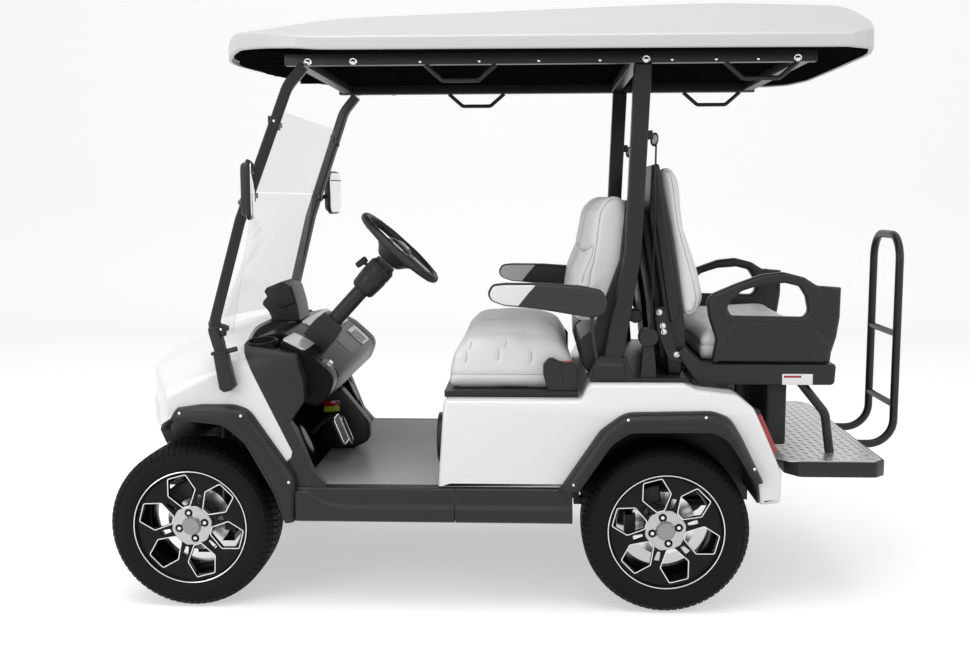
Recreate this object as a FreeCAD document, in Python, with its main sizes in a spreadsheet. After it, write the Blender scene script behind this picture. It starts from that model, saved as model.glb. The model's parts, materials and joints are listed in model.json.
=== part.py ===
"""Lifted four-seat electric golf cart: a parametric assembly of separate sub-parts.

Frame: +Z up, the cart faces -X, its left side is -Y. The origin lies on the ground under the
middle of the whole cart. All sizes are in millimetres and live in the sheet "sizes".
"""
import FreeCAD, Part
import math
import os
import re
import Sketcher
from FreeCAD import Placement, Rotation, Vector

doc = FreeCAD.newDocument("golf_cart")
sheet = doc.addObject("Spreadsheet::Sheet", "sizes")

# Driving sizes: name, value, what it is. "x" places of the front half are from the front axle,
# those of the rear half from the rear axle, and heights are from the ground.
SIZES = [
    # running gear
    ("front_axle_x", -1155, "front axle from the middle of the cart"),
    ("wheelbase", 1670, "front axle to rear axle"),
    ("tyre_radius", 292, "23 inch tyre, so also the height of the axles"),
    ("tyre_width", 230, "section width of a tyre"),
    ("tread_width", 176, "flat of the tread"),
    ("shoulder_drop", 12, "tyre shoulder under the tread"),
    ("half_track", 485, "middle of a wheel from the middle of the cart"),
    ("bead_radius", 180, "14 inch rim, where the tyre sits"),
    ("bead_width", 176, "between the rim's two flanges"),
    ("flange_height", 15, "rim flange over the bead"),
    ("flange_width", 12, "rim flange along the axle"),
    ("tyre_lip", 5, "tyre over the rim flange"),
    ("rim_wall", 10, "wall of the rim's barrel"),
    ("web_front", 80, "face of the spokes, out from the wheel's middle"),
    ("web_thickness", 22, "spokes along the axle"),
    ("hub_radius", 64, "raised hub on the spokes"),
    ("hub_neck_radius", 45, "hub between the spokes and the brake disc"),
    ("bore_radius", 16, "hub bore"),
    ("bore_depth", 60, "hub bore, out from the wheel's middle"),
    ("petal_count", 6, "windows between the spokes"),
    ("petal_inner", 72, "inner corners of a window, from the axle"),
    ("petal_middle", 120, "widest corners of a window, from the axle"),
    ("petal_outer", 164, "outer corners of a window, from the axle"),
    ("petal_inner_half", 12, "half width at the inner corners"),
    ("petal_middle_half", 46, "half width at the widest corners"),
    ("petal_outer_half", 30, "half width at the outer corners"),
    ("petal_turn", 15, "first window, from straight up, degrees"),
    ("disc_radius", 115, "brake disc"),
    ("disc_thickness", 8, "brake disc"),
    ("disc_offset", 2, "outer face of the brake disc, in from the wheel's middle"),
    ("pad_gap", 6, "brake disc to caliper"),
    ("caliper_wall", 14, "cheek of a caliper"),
    ("caliper_height", 70, "caliper along the disc's edge"),
    ("caliper_depth", 38, "caliper along the disc's radius"),
    ("kingpin_y", 420, "steering axis of a front wheel"),
    ("kingpin_radius", 20, "kingpin"),
    ("kingpin_reach", 116, "kingpin above and below the axle"),
    ("pin_gap", 0.5, "running gap at a spindle or ball joint"),
    ("arm_thickness", 24, "suspension arms"),
    ("arm_width", 44, "outer half of a suspension arm"),
    ("arm_root_width", 150, "inner half of a suspension arm"),
    ("hanger_thickness", 25, "hangers of the front arms"),
    ("axle_tube_radius", 35, "rear axle tube"),
    ("axle_end_gap", 8, "rear axle tube to brake disc"),
    ("motor_radius", 88, "drive motor"),
    ("motor_length", 205, "drive motor"),
    ("gearcase_radius", 105, "gear case on the rear axle"),
    ("gearcase_width", 120, "gear case on the rear axle"),
    ("spring_y", 285, "middle of a leaf spring"),
    ("spring_width", 50, "leaf spring"),
    ("spring_length", 620, "leaf spring"),
    ("spring_thickness", 18, "leaf spring"),
    # chassis
    ("rail_y", 190, "middle of a chassis rail"),
    ("rail_width", 60, "chassis rail"),
    ("rail_bottom", 345, "underside of the chassis rails"),
    ("floor_bottom", 425, "top of the rails, which carries the floor"),
    ("floor_thickness", 20, "floor pan"),
    ("floor_half_width", 590, "floor pan from the middle"),
    ("rail_front", -205, "front end of the rails, where the bumper bolts on"),
    ("rail_rear", 420, "rear end of the rails, where the footplate bolts on"),
    ("cross_width", 50, "cross members"),
    ("shock_y", 280, "middle of a front shock absorber"),
    ("shock_x", 50, "front shock absorber, behind the axle"),
    ("shock_radius", 22, "shock absorber"),
    ("tower_bottom", 600, "underside of the front spring tower"),
    ("tower_height", 40, "front spring tower"),
    ("post_width", 40, "upright posts of the chassis"),
    ("seat_post_x", 320, "posts under the rear seat"),
    # body
    ("body_half_width", 600, "white panels from the middle"),
    ("panel_wall", 12, "wall of a body panel"),
    ("flare_out", 48, "flare past the white panels"),
    ("liner_wall", 6, "wheel liners"),
    ("liner_inner", 235, "inner edge of the front liners, clear of the steered tyres"),
    ("rear_liner_y", 330, "inner wall of the rear wheel wells"),
    ("nose_radius", 1000, "plan curve of the nose"),
    ("nose_x", -250, "front of the nose"),
    ("bumper_thickness", 45, "front bumper at its middle"),
    ("bumper_bottom", 480, "underside of the front bumper"),
    ("bumper_top", 585, "top of the front bumper, where the nose starts"),
    ("bumper_end", -120, "rear ends of the front bumper"),
    ("bumper_low_half", 240, "front bumper from the middle, at its underside"),
    ("bumper_half", 330, "front bumper from the middle"),
    ("bumper_ends_z", 540, "underside of the front bumper's ends"),
    ("rocker_half_width", 624, "outer face of the rockers"),
    ("rocker_bottom", 325, "underside of the rockers"),
    ("seat_deck", 754, "top of the front seat box"),
    ("rear_deck", 808, "top of the rear fenders"),
    ("hatch_half", 440, "battery hatch under the front seat, from the middle"),
    ("hatch_ledge", 50, "ledge of the seat box that carries the seat lid"),
    ("foot_well_wall", 55, "foot well in from the body's side"),
    ("dash_inset", 170, "dashboard in from the body's side"),
    ("pod_bottom", 800, "underside of the cup holder pods"),
    ("cup_radius", 42, "cup holder"),
    ("cup_depth", 90, "cup holder"),
    ("cup_x", 250, "cup holder"),
    ("cup_inset", 100, "cup holder in from the body's side"),
    # seats
    ("seat_half_width", 540, "front seat base from the middle"),
    ("base_height", 21, "black base under the front cushion"),
    ("lid_gap", 0.5, "front seat base over the seat box"),
    ("back_inner", 20, "backrests from the middle"),
    ("back_outer", 462, "backrests from the middle"),
    ("armrest_inner", 548, "front armrests from the middle"),
    ("armrest_outer", 600, "front armrests from the middle"),
    ("tray_half_width", 490, "rear seat tray from the middle"),
    ("tray_bottom", 793, "underside of the rear seat tray"),
    ("tray_top", 868, "top of the rear seat tray"),
    ("tray_wall", 14, "rim and top of the rear seat tray"),
    ("rear_arm_width", 55, "rear armrests"),
    ("cushion_gap", 4, "rear cushion to the armrests"),
    ("rear_cushion_height", 130, "rear cushion"),
    # roof
    ("roof_rail_y", 520, "middle of a roof rail"),
    ("roof_rail_width", 40, "roof rail"),
    ("roof_rail_bottom", 1893, "underside of the roof rails"),
    ("roof_rail_height", 37, "roof rail"),
    ("canopy_half_width", 650, "canopy from the middle"),
    ("canopy_wall", 14, "wall of the canopy"),
    ("liner_thickness", 12, "black underside of the canopy"),
    ("strut_width", 38, "square tube of the struts"),
    ("strut_bend", 120, "bend radius of the struts"),
    ("glass_thickness", 6, "windshield"),
    ("pillar_y", 500, "middle of a centre pillar"),
    ("pillar_width", 50, "centre pillar across the cart"),
    ("boot_margin", 12, "pillar boot around the pillar, across the cart"),
    ("trim_thickness", 14, "black trim on the rear deck"),
    # rear step
    ("step_half_width", 570, "footplate from the middle"),
    ("step_top", 538, "top of the footplate"),
    ("step_thickness", 52, "footplate"),
    ("step_front", 415, "front edge of the footplate"),
    ("step_rear", 755, "rear edge of the footplate"),
    ("grab_y", 155, "middle of a leg of the grab bar"),
    ("grab_x", 902, "legs of the grab bar"),
    ("grab_top", 1302, "top of the grab bar"),
    ("grab_radius", 15, "tube of the grab bar"),
    ("grab_bend", 95, "bend radius of the grab bar"),
    ("brace_y", 420, "struts from the seat tray to the footplate"),
    ("brace_radius", 16, "struts from the seat tray to the footplate"),
    # steering
    ("steer_y", -300, "steering wheel from the middle"),
    ("steer_hub_x", 720, "centre of the steering wheel"),
    ("steer_hub_z", 1264, "centre of the steering wheel"),
    ("steer_tilt", 47.3, "steering column from level, degrees"),
    ("steer_radius", 168, "rim of the steering wheel"),
    ("steer_grip", 15, "radius of the rim's grip"),
    ("column_radius", 24, "steering column"),
    ("column_length", 470, "steering column"),
    ("shroud_radius", 46, "shroud on the column"),
    ("shroud_length", 150, "shroud on the column"),
    ("column_gap", 14, "shroud to steering wheel"),
    ("steer_hub_depth", 34, "steering wheel hub under the rim's plane"),
    ("steer_hub_radius", 44, "steering wheel hub"),
    ("steer_cap", 10, "hub above the rim's plane"),
    ("spoke_width", 46, "spokes of the steering wheel"),
    ("spoke_thickness", 14, "spokes of the steering wheel"),
    ("boot_radius", 60, "boot at the column's foot"),
    ("boot_length", 110, "boot at the column's foot"),
    ("pod_half", 105, "display pod"),
    ("pedal_x", 500, "foot of the pedals' pads"),
    ("pedal_thickness", 12, "pedals"),
    ("pedal_lean", 45, "pads lean forward"),
    ("pedal_height", 110, "pads"),
    ("pedal_arm", 18, "pedal arms"),
    ("pedal_pivot", 760, "top of the pedal arms"),
    ("brake_y", -260, "brake pedal"),
    ("brake_half", 50, "brake pedal"),
    ("brake_low", 520, "foot of the brake pad"),
    ("accel_y", -130, "accelerator"),
    ("accel_half", 32, "accelerator"),
    ("accel_low", 490, "foot of the accelerator pad"),
    ("storage_front", 372, "storage box under the rear tray"),
    ("storage_rear", 443, "storage box under the rear tray"),
    ("storage_half", 400, "storage box under the rear tray"),
    ("storage_bottom", 561, "storage box under the rear tray"),
    ("mirror_x", 273, "mirrors"),
    ("mirror_y", 770, "mirrors from the middle"),
    ("mirror_z", 1472, "mirrors"),
    ("mirror_arm_z", 1408, "arms of the mirrors"),
    ("mirror_width", 130, "mirrors"),
    ("mirror_height", 200, "mirrors"),
    ("mirror_thickness", 34, "mirrors"),
    ("lamp_depth", 8, "headlamp lenses"),
    ("speaker_y", 300, "speakers from the middle"),
    ("speaker_z", 560, "speakers"),
    ("speaker_radius", 92, "speakers"),
    ("speaker_depth", 22, "speakers stand out"),
    ("belt_top", 1637, "upper belt anchors"),
    ("belt_reel_z", 930, "belt reels"),
    ("glass_gap", 6, "between the two panes"),
    ("liner_rise", 24, "front of the canopy liner"),
    ("rail_end", 480, "rear end of the roof rails, behind the rear axle"),
    ("cushion_half_width", 512, "front cushion from the middle"),
    ("guard_rear", -309, "buckle guards on the front seat base"),
    ("guard_front", -432, "buckle guards on the front seat base"),
    ("guard_top", 893, "buckle guards on the front seat base"),
    ("glass_bow", 180, "lower windshield bowed out ahead of the struts"),
    ("glass_split", 1462, "between the upper and lower windshield"),
    ("glass_low", 972, "lower edge of the windshield"),
    ("upper_pane", 274, "upper windshield, lower to upper edge"),
    ("glass_half", 500, "windshield from the middle"),
    ("handle_drop", 52, "grab handles under the rails"),
    ("handle_radius", 8, "grab handles"),
    ("handle_front", 840, "front grab handles, from the front axle"),
    ("handle_rear", 1850, "rear grab handles, from the front axle"),
    ("handle_length", 240, "grab handles"),
    ("lamp_y", 430, "headlamps from the middle"),
    ("lamp_half", 85, "headlamps"),
    ("lamp_bottom", 640, "headlamps"),
    ("lamp_height", 80, "headlamps"),
    ("tail_y", 545, "tail lamps from the middle"),
    ("tail_half", 28, "tail lamps"),
    # rounding: corners are those of the side outline, rims its two faces' edges
    ("front_flare_rim", 12, "front flares, outer rim"),
    ("rear_flare_rim", 8, "rear flares, outer rim"),
    ("flare_corner", 16, "flares, corners"),
    ("panel_corner", 24, "white panels, corners"),
    ("panel_rim", 12, "seat box and fenders, rims"),
    ("shoulder_cut", 24, "hood, from each long edge to the start of its rounding"),
    ("arm_corner", 22, "armrests, corners"),
    ("arm_rim", 11, "front armrests, rims"),
    ("rear_arm_corner", 16, "rear armrests, corners"),
    ("rear_arm_rim", 8, "rear armrests, rims"),
    ("pad_corner", 24, "backrests and cushions, corners"),
    ("pad_rim", 14, "backrests and cushions, rims"),
    ("shell_corner", 12, "seat shells, corners"),
    ("shell_rim", 6, "seat shells, rims"),
    ("bar_rim", 5, "square tubes, long edges"),
    ("dash_corner", 10, "dashboard, display and storage box, corners"),
    ("dash_rim", 8, "display, rims"),
    ("mirror_corner", 14, "mirrors, long edges"),
    ("plate_corner", 25, "footplate, corners seen from above"),
    ("boot_rim", 6, "shroud and boot of the steering column"),
    ("battery_front", 720, "batteries ahead of the rear axle, front face"),
    ("battery_rear", 400, "batteries ahead of the rear axle, rear face"),
    ("battery_half", 300, "batteries from the middle"),
    ("box_cut_low", 300, "height where the tools that hollow the rear body start"),
    ("pedal_out", 60, "pedal arms out from the firewall's top"),
    ("loop_low", 150, "side loop of the grab bar, over the bar's foot"),
    ("loop_high", 420, "top of that loop, over the bar's foot"),
    ("canopy_rim_low", 1900, "height where the trim of the canopy's skin starts"),
    ("canopy_hollow_low", 1850, "height where the hollow of the canopy starts, under its rim"),
    ("sky", 2200, "over the whole cart"),
    ("canopy_corner", 80, "canopy, corners seen from above"),
    ("canopy_cut", 12, "canopy, rim to the start of its rounding"),
]

# Side outlines: (corner, along, up). A number is a cell of its own, text is an expression.
# Along is from the axle that the outline's datum names.
FRONT = "front_axle_x"
REAR = "(front_axle_x + wheelbase)"
FLOOR = "(floor_bottom + floor_thickness)"
OUTLINES = {
    "cowl": (FRONT, [
        ("nose_low", "nose_x - 20", "bumper_top"),
        ("nose_top", "nose_x - 20", 1100),
        ("back_top", 120, 1100),
        ("seam_top", 195, 938),
        ("tail_tip", 377, 560),
        ("tail_low", 318, 508),
        ("arch_rear", 220, 665),
        ("arch_top", 158, 700),
        ("arch_front", -43, 690),
        ("nose_rise", -170, 612),
    ]),
    "side": (FRONT, [
        ("seam_top", "cowl_seam_top_x", "cowl_seam_top_z"),
        ("tail_tip", "cowl_tail_tip_x", "cowl_tail_tip_z"),
        ("tail_low", "cowl_tail_low_x", "cowl_tail_low_z"),
        ("foot_front", 358, FLOOR),
        ("foot_rear", 484, FLOOR),
        ("kick", 438, 499),
        ("knee_low", 382, 642),
        ("knee", 363, 670),
        ("chin", 417, 750),
        ("brow", 415, 817),
        ("top_rear", 384, 906),
        ("top", 328, 918),
    ]),
    "firewall": (FRONT, [
        ("top_front", 200, 925),
        ("top_rear", 222, 925),
        ("foot_rear", 392, FLOOR),
        ("foot_front", 370, FLOOR),
    ]),
    "dash": (FRONT, [
        ("front_low", "firewall_top_front_x", "firewall_top_front_z"),
        ("front_top", 205, 945),
        ("crest", 300, 968),
        ("rear_top", 420, 905),
        ("rear", 515, 818),
        ("rear_low", 470, 700),
        ("low", 430, 665),
        ("low_front", 395, 690),
        ("inner", 440, 800),
        ("inner_top", 330, 890),
        ("front_inner", "firewall_top_rear_x", "firewall_top_rear_z"),
    ]),
    "pod": (FRONT, [
        ("front_low", 190, "dash_crest_z"),
        ("rear_low", "dash_crest_x", "dash_crest_z"),
        ("rear_top", 262, 1105),
        ("front_top", 228, 1125),
        ("front", 160, 1010),
    ]),
    "front_flare": (FRONT, [
        ("tip", -43, 685), ("tip_top", -24, 724), ("top", 175, 736), ("bend", 226, 719),
        ("rear", 391, 478), ("foot", 380, 325), ("foot_inner", 349, 325),
        ("rear_inner", 316, 424), ("bend_inner", 216, 607), ("top_inner", 141, 669),
    ]),
    "front_liner": (FRONT, [
        ("front", "cowl_arch_front_x", "cowl_arch_front_z"),
        ("top", "cowl_arch_top_x", "cowl_arch_top_z"),
        ("bend", "cowl_arch_rear_x", "cowl_arch_rear_z"),
        ("tail", "cowl_tail_low_x", "cowl_tail_low_z"),
        ("rear", "side_foot_front_x", FLOOR),
        ("foot", 368, "rocker_bottom"),
        ("foot_inner", "front_liner_foot_x - liner_wall", "rocker_bottom"),
        ("rear_inner", "side_foot_front_x - liner_wall", FLOOR),
        ("tail_inner", "cowl_tail_low_x - liner_wall", "cowl_tail_low_z - liner_wall"),
        ("bend_inner", "cowl_arch_rear_x - liner_wall", "cowl_arch_rear_z - liner_wall"),
        ("top_inner", "cowl_arch_top_x", "cowl_arch_top_z - liner_wall"),
        ("front_inner", "cowl_arch_front_x", "cowl_arch_front_z - liner_wall"),
    ]),
    "rocker": (FRONT, [
        ("front_low", "front_flare_foot_x", "rocker_bottom"),
        ("front_top", 389, FLOOR),
        ("rear_top", "wheelbase + box_arch_foot_x", FLOOR),
        ("rear_low", "wheelbase + box_arch_foot_x + 16", "rocker_bottom + 14"),
        ("rear_foot", "wheelbase + box_arch_foot_x", "rocker_bottom"),
    ]),
    "box": (REAR, [
        ("front_low", -791, FLOOR),
        ("front_top", -771, "seat_deck"),
        ("rear_top", -295, "seat_deck"),
        ("fender_front", -268, "rear_deck"),
        ("fender_top", 57, "rear_deck"),
        ("step", 100, 788),
        ("fender_rear", 236, 772),
        ("corner", 291, 729),
        ("tail", 334, 633),
        ("tail_low", 391, 501),
        ("bottom_rear", 388, 399),
        ("bottom", 317, 392),
        ("arch_end", 307, 478),
        ("arch_rear", 204, 660),
        ("arch_top_rear", 148, 688),
        ("arch_top", -147, 680),
        ("arch_front", -213, 632),
        ("arch_foot", -337, FLOOR),
    ]),
    "rear_flare": (REAR, [
        ("foot", -372, FLOOR), ("front", -231, 654), ("front_bend", -161, 706),
        ("top_front", -134, 716), ("top_rear", 148, 722), ("rear_bend", 208, 701),
        ("rear", 250, 630), ("end", 324, 478), ("end_inner", 290, 478),
        ("rear_inner", 200, 622), ("top_rear_inner", 149, 653), ("top_inner", -133, 651),
        ("front_inner", -194, 609), ("foot_inner", -304, FLOOR),
    ]),
    "rear_liner": (REAR, [
        ("front", "box_arch_foot_x", FLOOR), ("bend", "box_arch_front_x", "box_arch_front_z"),
        ("top", "box_arch_top_x", "box_arch_top_z"),
        ("top_rear", "box_arch_top_rear_x", "box_arch_top_rear_z"),
        ("rear", "box_arch_rear_x", "box_arch_rear_z"), ("end", "box_arch_end_x", "box_arch_end_z"),
        ("end_low", "box_arch_end_x", 400), ("low", "box_arch_foot_x + panel_wall", 400),
    ]),
    "cushion": (REAR, [
        ("front_low", -772, "seat_deck + lid_gap + base_height"),
        ("front", -752, 905),
        ("front_top", -690, 965),
        ("rear_top", -368, 948),
        ("rear_low", -306, "seat_deck + lid_gap + base_height"),
    ]),
    "front_back": (REAR, [
        ("low_front", -327, 1010), ("middle", -290, 1230), ("top_front", -232, 1450),
        ("top", -196, 1470), ("top_rear", -162, 1440), ("rear", -188, 1230),
        ("low_rear", -252, 990),
    ]),
    "front_shell": (REAR, [
        ("foot_front", -285, "rear_deck + trim_thickness"),
        ("low", -292, 960),
        ("low_seat", "front_back_low_rear_x", "front_back_low_rear_z"),
        ("middle", "front_back_rear_x", "front_back_rear_z"),
        ("top", "front_back_top_rear_x", "front_back_top_rear_z"),
        ("top_rear", -150, 1425),
        ("middle_rear", -165, 1225),
        ("low_rear", -222, 985),
        ("foot_rear", -230, "rear_deck + trim_thickness"),
    ]),
    "armrest": (REAR, [
        ("tip_low", -619, 1100), ("tip", -602, 1147), ("top", -436, 1156),
        ("rear_top", -237, 1134), ("rear", -206, 1083), ("rear_low", -243, 1039),
        ("low", -541, 1073),
    ]),
    "pillar": (REAR, [
        ("foot_front", -229, "rear_deck + trim_thickness"),
        ("knee_front", -187, 1270),
        ("top_front", -144, "roof_rail_bottom"),
        ("top_rear", -76, "roof_rail_bottom"),
        ("knee_rear", -119, 1255),
        ("foot_rear", -152, "rear_deck + trim_thickness"),
    ]),
    "boot": (REAR, [
        ("front_low", -275, "rear_deck + trim_thickness"), ("front_top", -240, 893),
        ("rear_top", -136, 893), ("rear_low", -112, "rear_deck + trim_thickness"),
    ]),
    "rear_shell": (REAR, [
        ("top", -53, 1563), ("top_rear", -28, 1560), ("middle_rear", 30, 1248),
        ("low_rear", 68, 1010), ("foot_rear", 68, "rear_deck + trim_thickness"),
        ("foot_front", 14, "rear_deck + trim_thickness"), ("low", -7, 1070),
        ("middle", -57, 1385),
    ]),
    "rear_back": (REAR, [
        ("low_front", "rear_shell_low_rear_x", "rear_shell_low_rear_z"),
        ("middle_front", "rear_shell_middle_rear_x", "rear_shell_middle_rear_z"),
        ("top_front", "rear_shell_top_rear_x", "rear_shell_top_rear_z"),
        ("top", 20, 1556), ("top_rear", 39, 1503), ("rear", 60, 1346),
        ("bulge", 117, 1181), ("low_rear", 140, 1083), ("low", 118, 1030),
    ]),
    "rear_arm": (REAR, [
        ("front_low", 161, "tray_top"), ("rear_low", 574, "tray_top"), ("rear_top", 603, 1133),
        ("notch", 517, 1139), ("top", 407, 1188), ("front_top", 167, 1104),
        ("front", 140, 1084), ("front_foot", 157, 890),
    ]),
    "rear_loop": (REAR, [
        ("front", 205, 1091), ("low_front", 223, 1028), ("low_rear", 487, 1028),
        ("rear", 466, 1146), ("top", 354, 1146),
    ]),
    "tail_lamp": (REAR, [
        ("top", 290, 713), ("middle", "box_tail_x - 5", "box_tail_z"), ("low", 352, 568),
        ("low_rear", 378, 575), ("middle_rear", 350, 638), ("top_rear", 311, 722),
    ]),
    "tray_arm": (REAR, [
        ("foot", 118, "tray_bottom"), ("heel", 90, 826), ("knee", 60, 870), ("tip", 46, 905),
        ("tip_top", 58, 920), ("tip_rear", 78, 912), ("crook", 104, 878), ("root", 130, "tray_top"),
    ]),
    "arm_stub": (REAR, [
        ("low_front", -262, 1070), ("low_rear", -236, 1070), ("rear", -232, 1104), ("front", -258, 1104),
    ]),
    "brace": (REAR, [
        ("top", 484, "tray_bottom"), ("knee", 574, 681), ("foot", 594, "step_top"),
    ]),
}

# Sections across the cart, from the front axle. Each number is a cell of its own.
SECTION_TABLES = {
    "hood": ("x", "side_z", "shoulder_y", "shoulder_z", "crown_y", "crown_z"),
    "canopy": ("x", "low", "rim", "crown_y", "crown_z"),
    "roof": ("x", "y"),
    "strut": ("x", "y", "z"),
    "clamp": ("x", "z"),
}
SECTIONS = {
    "hood": {
        "nose": (-250, 700, 560, 755, 300, 800),
        "brow": (-120, 750, 560, 822, 300, 905),
        "screen": (128, 880, 560, 928, 300, 975),
        "back": (520, 905, 560, 950, 300, 990),
    },
    "canopy": {
        "tip": (20, 1963, 1994, 380, 2002),
        "brow": (498, 1930, 1972, 420, 2072),
        "middle": (1801, 1926, 1970, 440, 2109),
        "rear": (2272, 1924, 1968, 440, 2092),
        "end": (2365, 1926, 1970, 420, 2035),
    },
    "roof": {
        "nose": (35, 60), "brow": (109, 300), "cheek": (191, 500), "corner": (290, 592),
        "side": (420, 650), "rear_side": (2230, 650), "rear_corner": (2318, 592),
        "rear": (2362, 420),
    },
    "strut": {
        "foot": (167, 619, 800), "bend": (151, 619, 936), "knee": (205, 592, 1368),
        "top": (401, 546, 1893),
    },
    "clamp": {"low": (150, 990), "split": (236, 1458), "high": (322, 1700)},
}

names = set()
row = 0


def add_size(name, value, note=""):
    """One named cell of the sheet."""
    global row
    row += 1
    sheet.set(f"A{row}", name)
    sheet.set(f"B{row}", str(value))
    sheet.set(f"C{row}", note)
    sheet.setAlias(f"B{row}", name)
    names.add(name)


def linked(text):
    """The expression text with each size name pointed at the sheet."""
    point = lambda word: "sizes." + word[0] if word[0] in names else word[0]
    return re.sub(r"[a-z][a-z_0-9]*", point, str(text))


def number(text):
    """The value of an expression on the sheet's names."""
    value = sheet.evalExpression(linked(text))
    return float(getattr(value, "Value", value))


for size_name, size_value, size_note in SIZES:
    add_size(size_name, size_value, size_note)
for table, (datum, corners) in OUTLINES.items():
    for corner, along, up in corners:
        if not isinstance(along, str):
            add_size(f"{table}_{corner}_x", along, f"{table} outline, along the cart")
        if not isinstance(up, str):
            add_size(f"{table}_{corner}_z", up, f"{table} outline, height")
for table, columns in SECTION_TABLES.items():
    for section, values in SECTIONS[table].items():
        for column, value in zip(columns, values):
            add_size(f"{table}_{section}_{column}", value, f"{table} section {section}")
doc.recompute()


def side_outline(table):
    """The corners of a named outline as expressions in the cart's frame."""
    datum, corners = OUTLINES[table]
    placed = []
    for corner, along, up in corners:
        along = along if isinstance(along, str) else f"{table}_{corner}_x"
        up = up if isinstance(up, str) else f"{table}_{corner}_z"
        placed.append((f"{datum} + {along}", up))
    return placed


# ---------------------------------------------------------------- helpers on features
PLANE_OF = {"side": "XZ_Plane", "plan": "XY_Plane", "front": "YZ_Plane"}
made = {}


def bind(thing, prop, text):
    thing.setExpression(prop, linked(text))


def keep(thing, label):
    """Marks a finished sub-part: its label names the node and the file."""
    thing.Label = label
    made[label] = thing
    return thing


def new_body(name):
    body = doc.addObject("PartDesign::Body", name)
    body.AllowCompound = True
    return body


def origin_of(body, role):
    return next(feature for feature in body.Origin.OriginFeatures if feature.Role == role)


def sketch_on(body, view, offset="0"):
    sketch = body.newObject("Sketcher::SketchObject", f"{body.Name}_sketch")
    sketch.AttachmentSupport = [(origin_of(body, PLANE_OF[view]), "")]
    sketch.MapMode = "FlatFace"
    bind(sketch, "AttachmentOffset.Base.z", offset)
    return sketch


def outline(body, view, corners, offset="0"):
    """A closed polygon on an origin plane. Each corner is (across, up) as expressions."""
    sketch = sketch_on(body, view, offset)
    points = [Vector(number(across), number(up), 0) for across, up in corners]
    count = len(points)
    for index in range(count):
        sketch.addGeometry(Part.LineSegment(points[index], points[(index + 1) % count]))
    for index in range(count):
        joint = Sketcher.Constraint("Coincident", index, 2, (index + 1) % count, 1)
        sketch.addConstraint(joint)
    for index, (across, up) in enumerate(corners):
        for kind, value, text in (("DistanceX", points[index].x, across),
                                  ("DistanceY", points[index].y, up)):
            held = sketch.addConstraint(Sketcher.Constraint(kind, -1, 1, index, 1, value))
            sketch.setExpression(f"Constraints[{held}]", linked(text))
    return sketch


def extrude(body, kind, sketch, length, both_ways=True):
    """A pad or pocket. A pad goes along the sketch's normal, a pocket against it."""
    feature = body.newObject(f"PartDesign::{kind}", f"{body.Name}_{kind.lower()}")
    feature.Profile = sketch
    if both_ways:
        feature.SideType = "Symmetric"
    bind(feature, "Length", length)
    return feature


def across(body, kind, corners, half_width):
    """A side outline extruded to both sides of the cart's middle."""
    return extrude(body, kind, outline(body, "side", corners), f"2 * ({half_width})")


def pair(body, kind, corners, inner, outer):
    """A side outline extruded from inner to outer on the left, and mirrored to the right."""
    feature = extrude(body, kind, outline(body, "side", corners, inner),
                      f"({outer}) - ({inner})", both_ways=False)
    if kind == "Pocket":
        feature.Reversed = True
    mirror(body, [feature])
    return feature


def mirror(body, features):
    feature = body.newObject("PartDesign::Mirrored", f"{body.Name}_mirror")
    feature.Originals = features
    feature.MirrorPlane = (origin_of(body, "XZ_Plane"), [""])
    body.Tip = feature
    return feature


def box(name, x_range, y_range, z_range):
    """A box between two places along each axis, all expressions."""
    solid = doc.addObject("Part::Box", name)
    for axis, size, (low, high) in zip("xyz", ("Length", "Width", "Height"),
                                       (x_range, y_range, z_range)):
        bind(solid, f"Placement.Base.{axis}", low)
        bind(solid, size, f"({high}) - ({low})")
    return solid


TURN = {"x": (0, 1, 0, 90), "y": (1, 0, 0, -90), "z": (0, 0, 1, 0)}


def cylinder(name, axis, centre, radius, length):
    """A cylinder from its centre, an expression triple, along +x, +y or +z."""
    solid = doc.addObject("Part::Cylinder", name)
    *direction, angle = TURN[axis]
    solid.Placement = Placement(Vector(), Rotation(Vector(*direction), angle))
    for letter, place in zip("xyz", centre):
        bind(solid, f"Placement.Base.{letter}", place)
    bind(solid, "Radius", radius)
    bind(solid, "Height", length)
    return solid


def fuse(name, shapes):
    joined = doc.addObject("Part::MultiFuse", name)
    joined.Shapes = shapes
    joined.Refine = True
    return joined


def boolean(kind, name, base, tool):
    result = doc.addObject(f"Part::{kind}", name)
    result.Base = base
    result.Tool = tool
    result.Refine = True
    return result


def compound(name, shapes):
    group = doc.addObject("Part::Compound", name)
    group.Links = shapes
    return group


def both_sides(make):
    """The same solid on the left and the right: make(sign, tag) for each."""
    return [make(sign, tag) for sign, tag in (("-1", "left"), ("1", "right"))]


def span(sign, inner, outer):
    """The y range between two distances from the middle, on the side that sign names."""
    return (f"-({outer})", f"-({inner})") if sign == "-1" else (inner, outer)


def bent_wire(points, bend):
    """Straight runs through the points, joined by tangent arcs of the bend radius."""
    edges = []
    start = points[0]
    for before, corner, after in zip(points, points[1:], points[2:]):
        inward = (before - corner).normalize()
        onward = (after - corner).normalize()
        half = inward.getAngle(onward) / 2
        reach = bend / math.tan(half)
        first, last = corner + inward * reach, corner + onward * reach
        middle_way = (inward + onward).normalize()
        middle = corner + middle_way * (bend / math.sin(half) - bend)
        edges.append(Part.LineSegment(start, first).toShape())
        edges.append(Part.Arc(first, middle, last).toShape())
        start = last
    edges.append(Part.LineSegment(start, points[-1]).toShape())
    return Part.Wire(edges)


def tube(points, bend, radius):
    """A round bar swept along bent runs."""
    path = bent_wire(points, bend)
    start_way = (points[1] - points[0]).normalize()
    ring = Part.Wire(Part.makeCircle(radius, points[0], start_way))
    return path.makePipeShell([ring], True, False)


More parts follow.
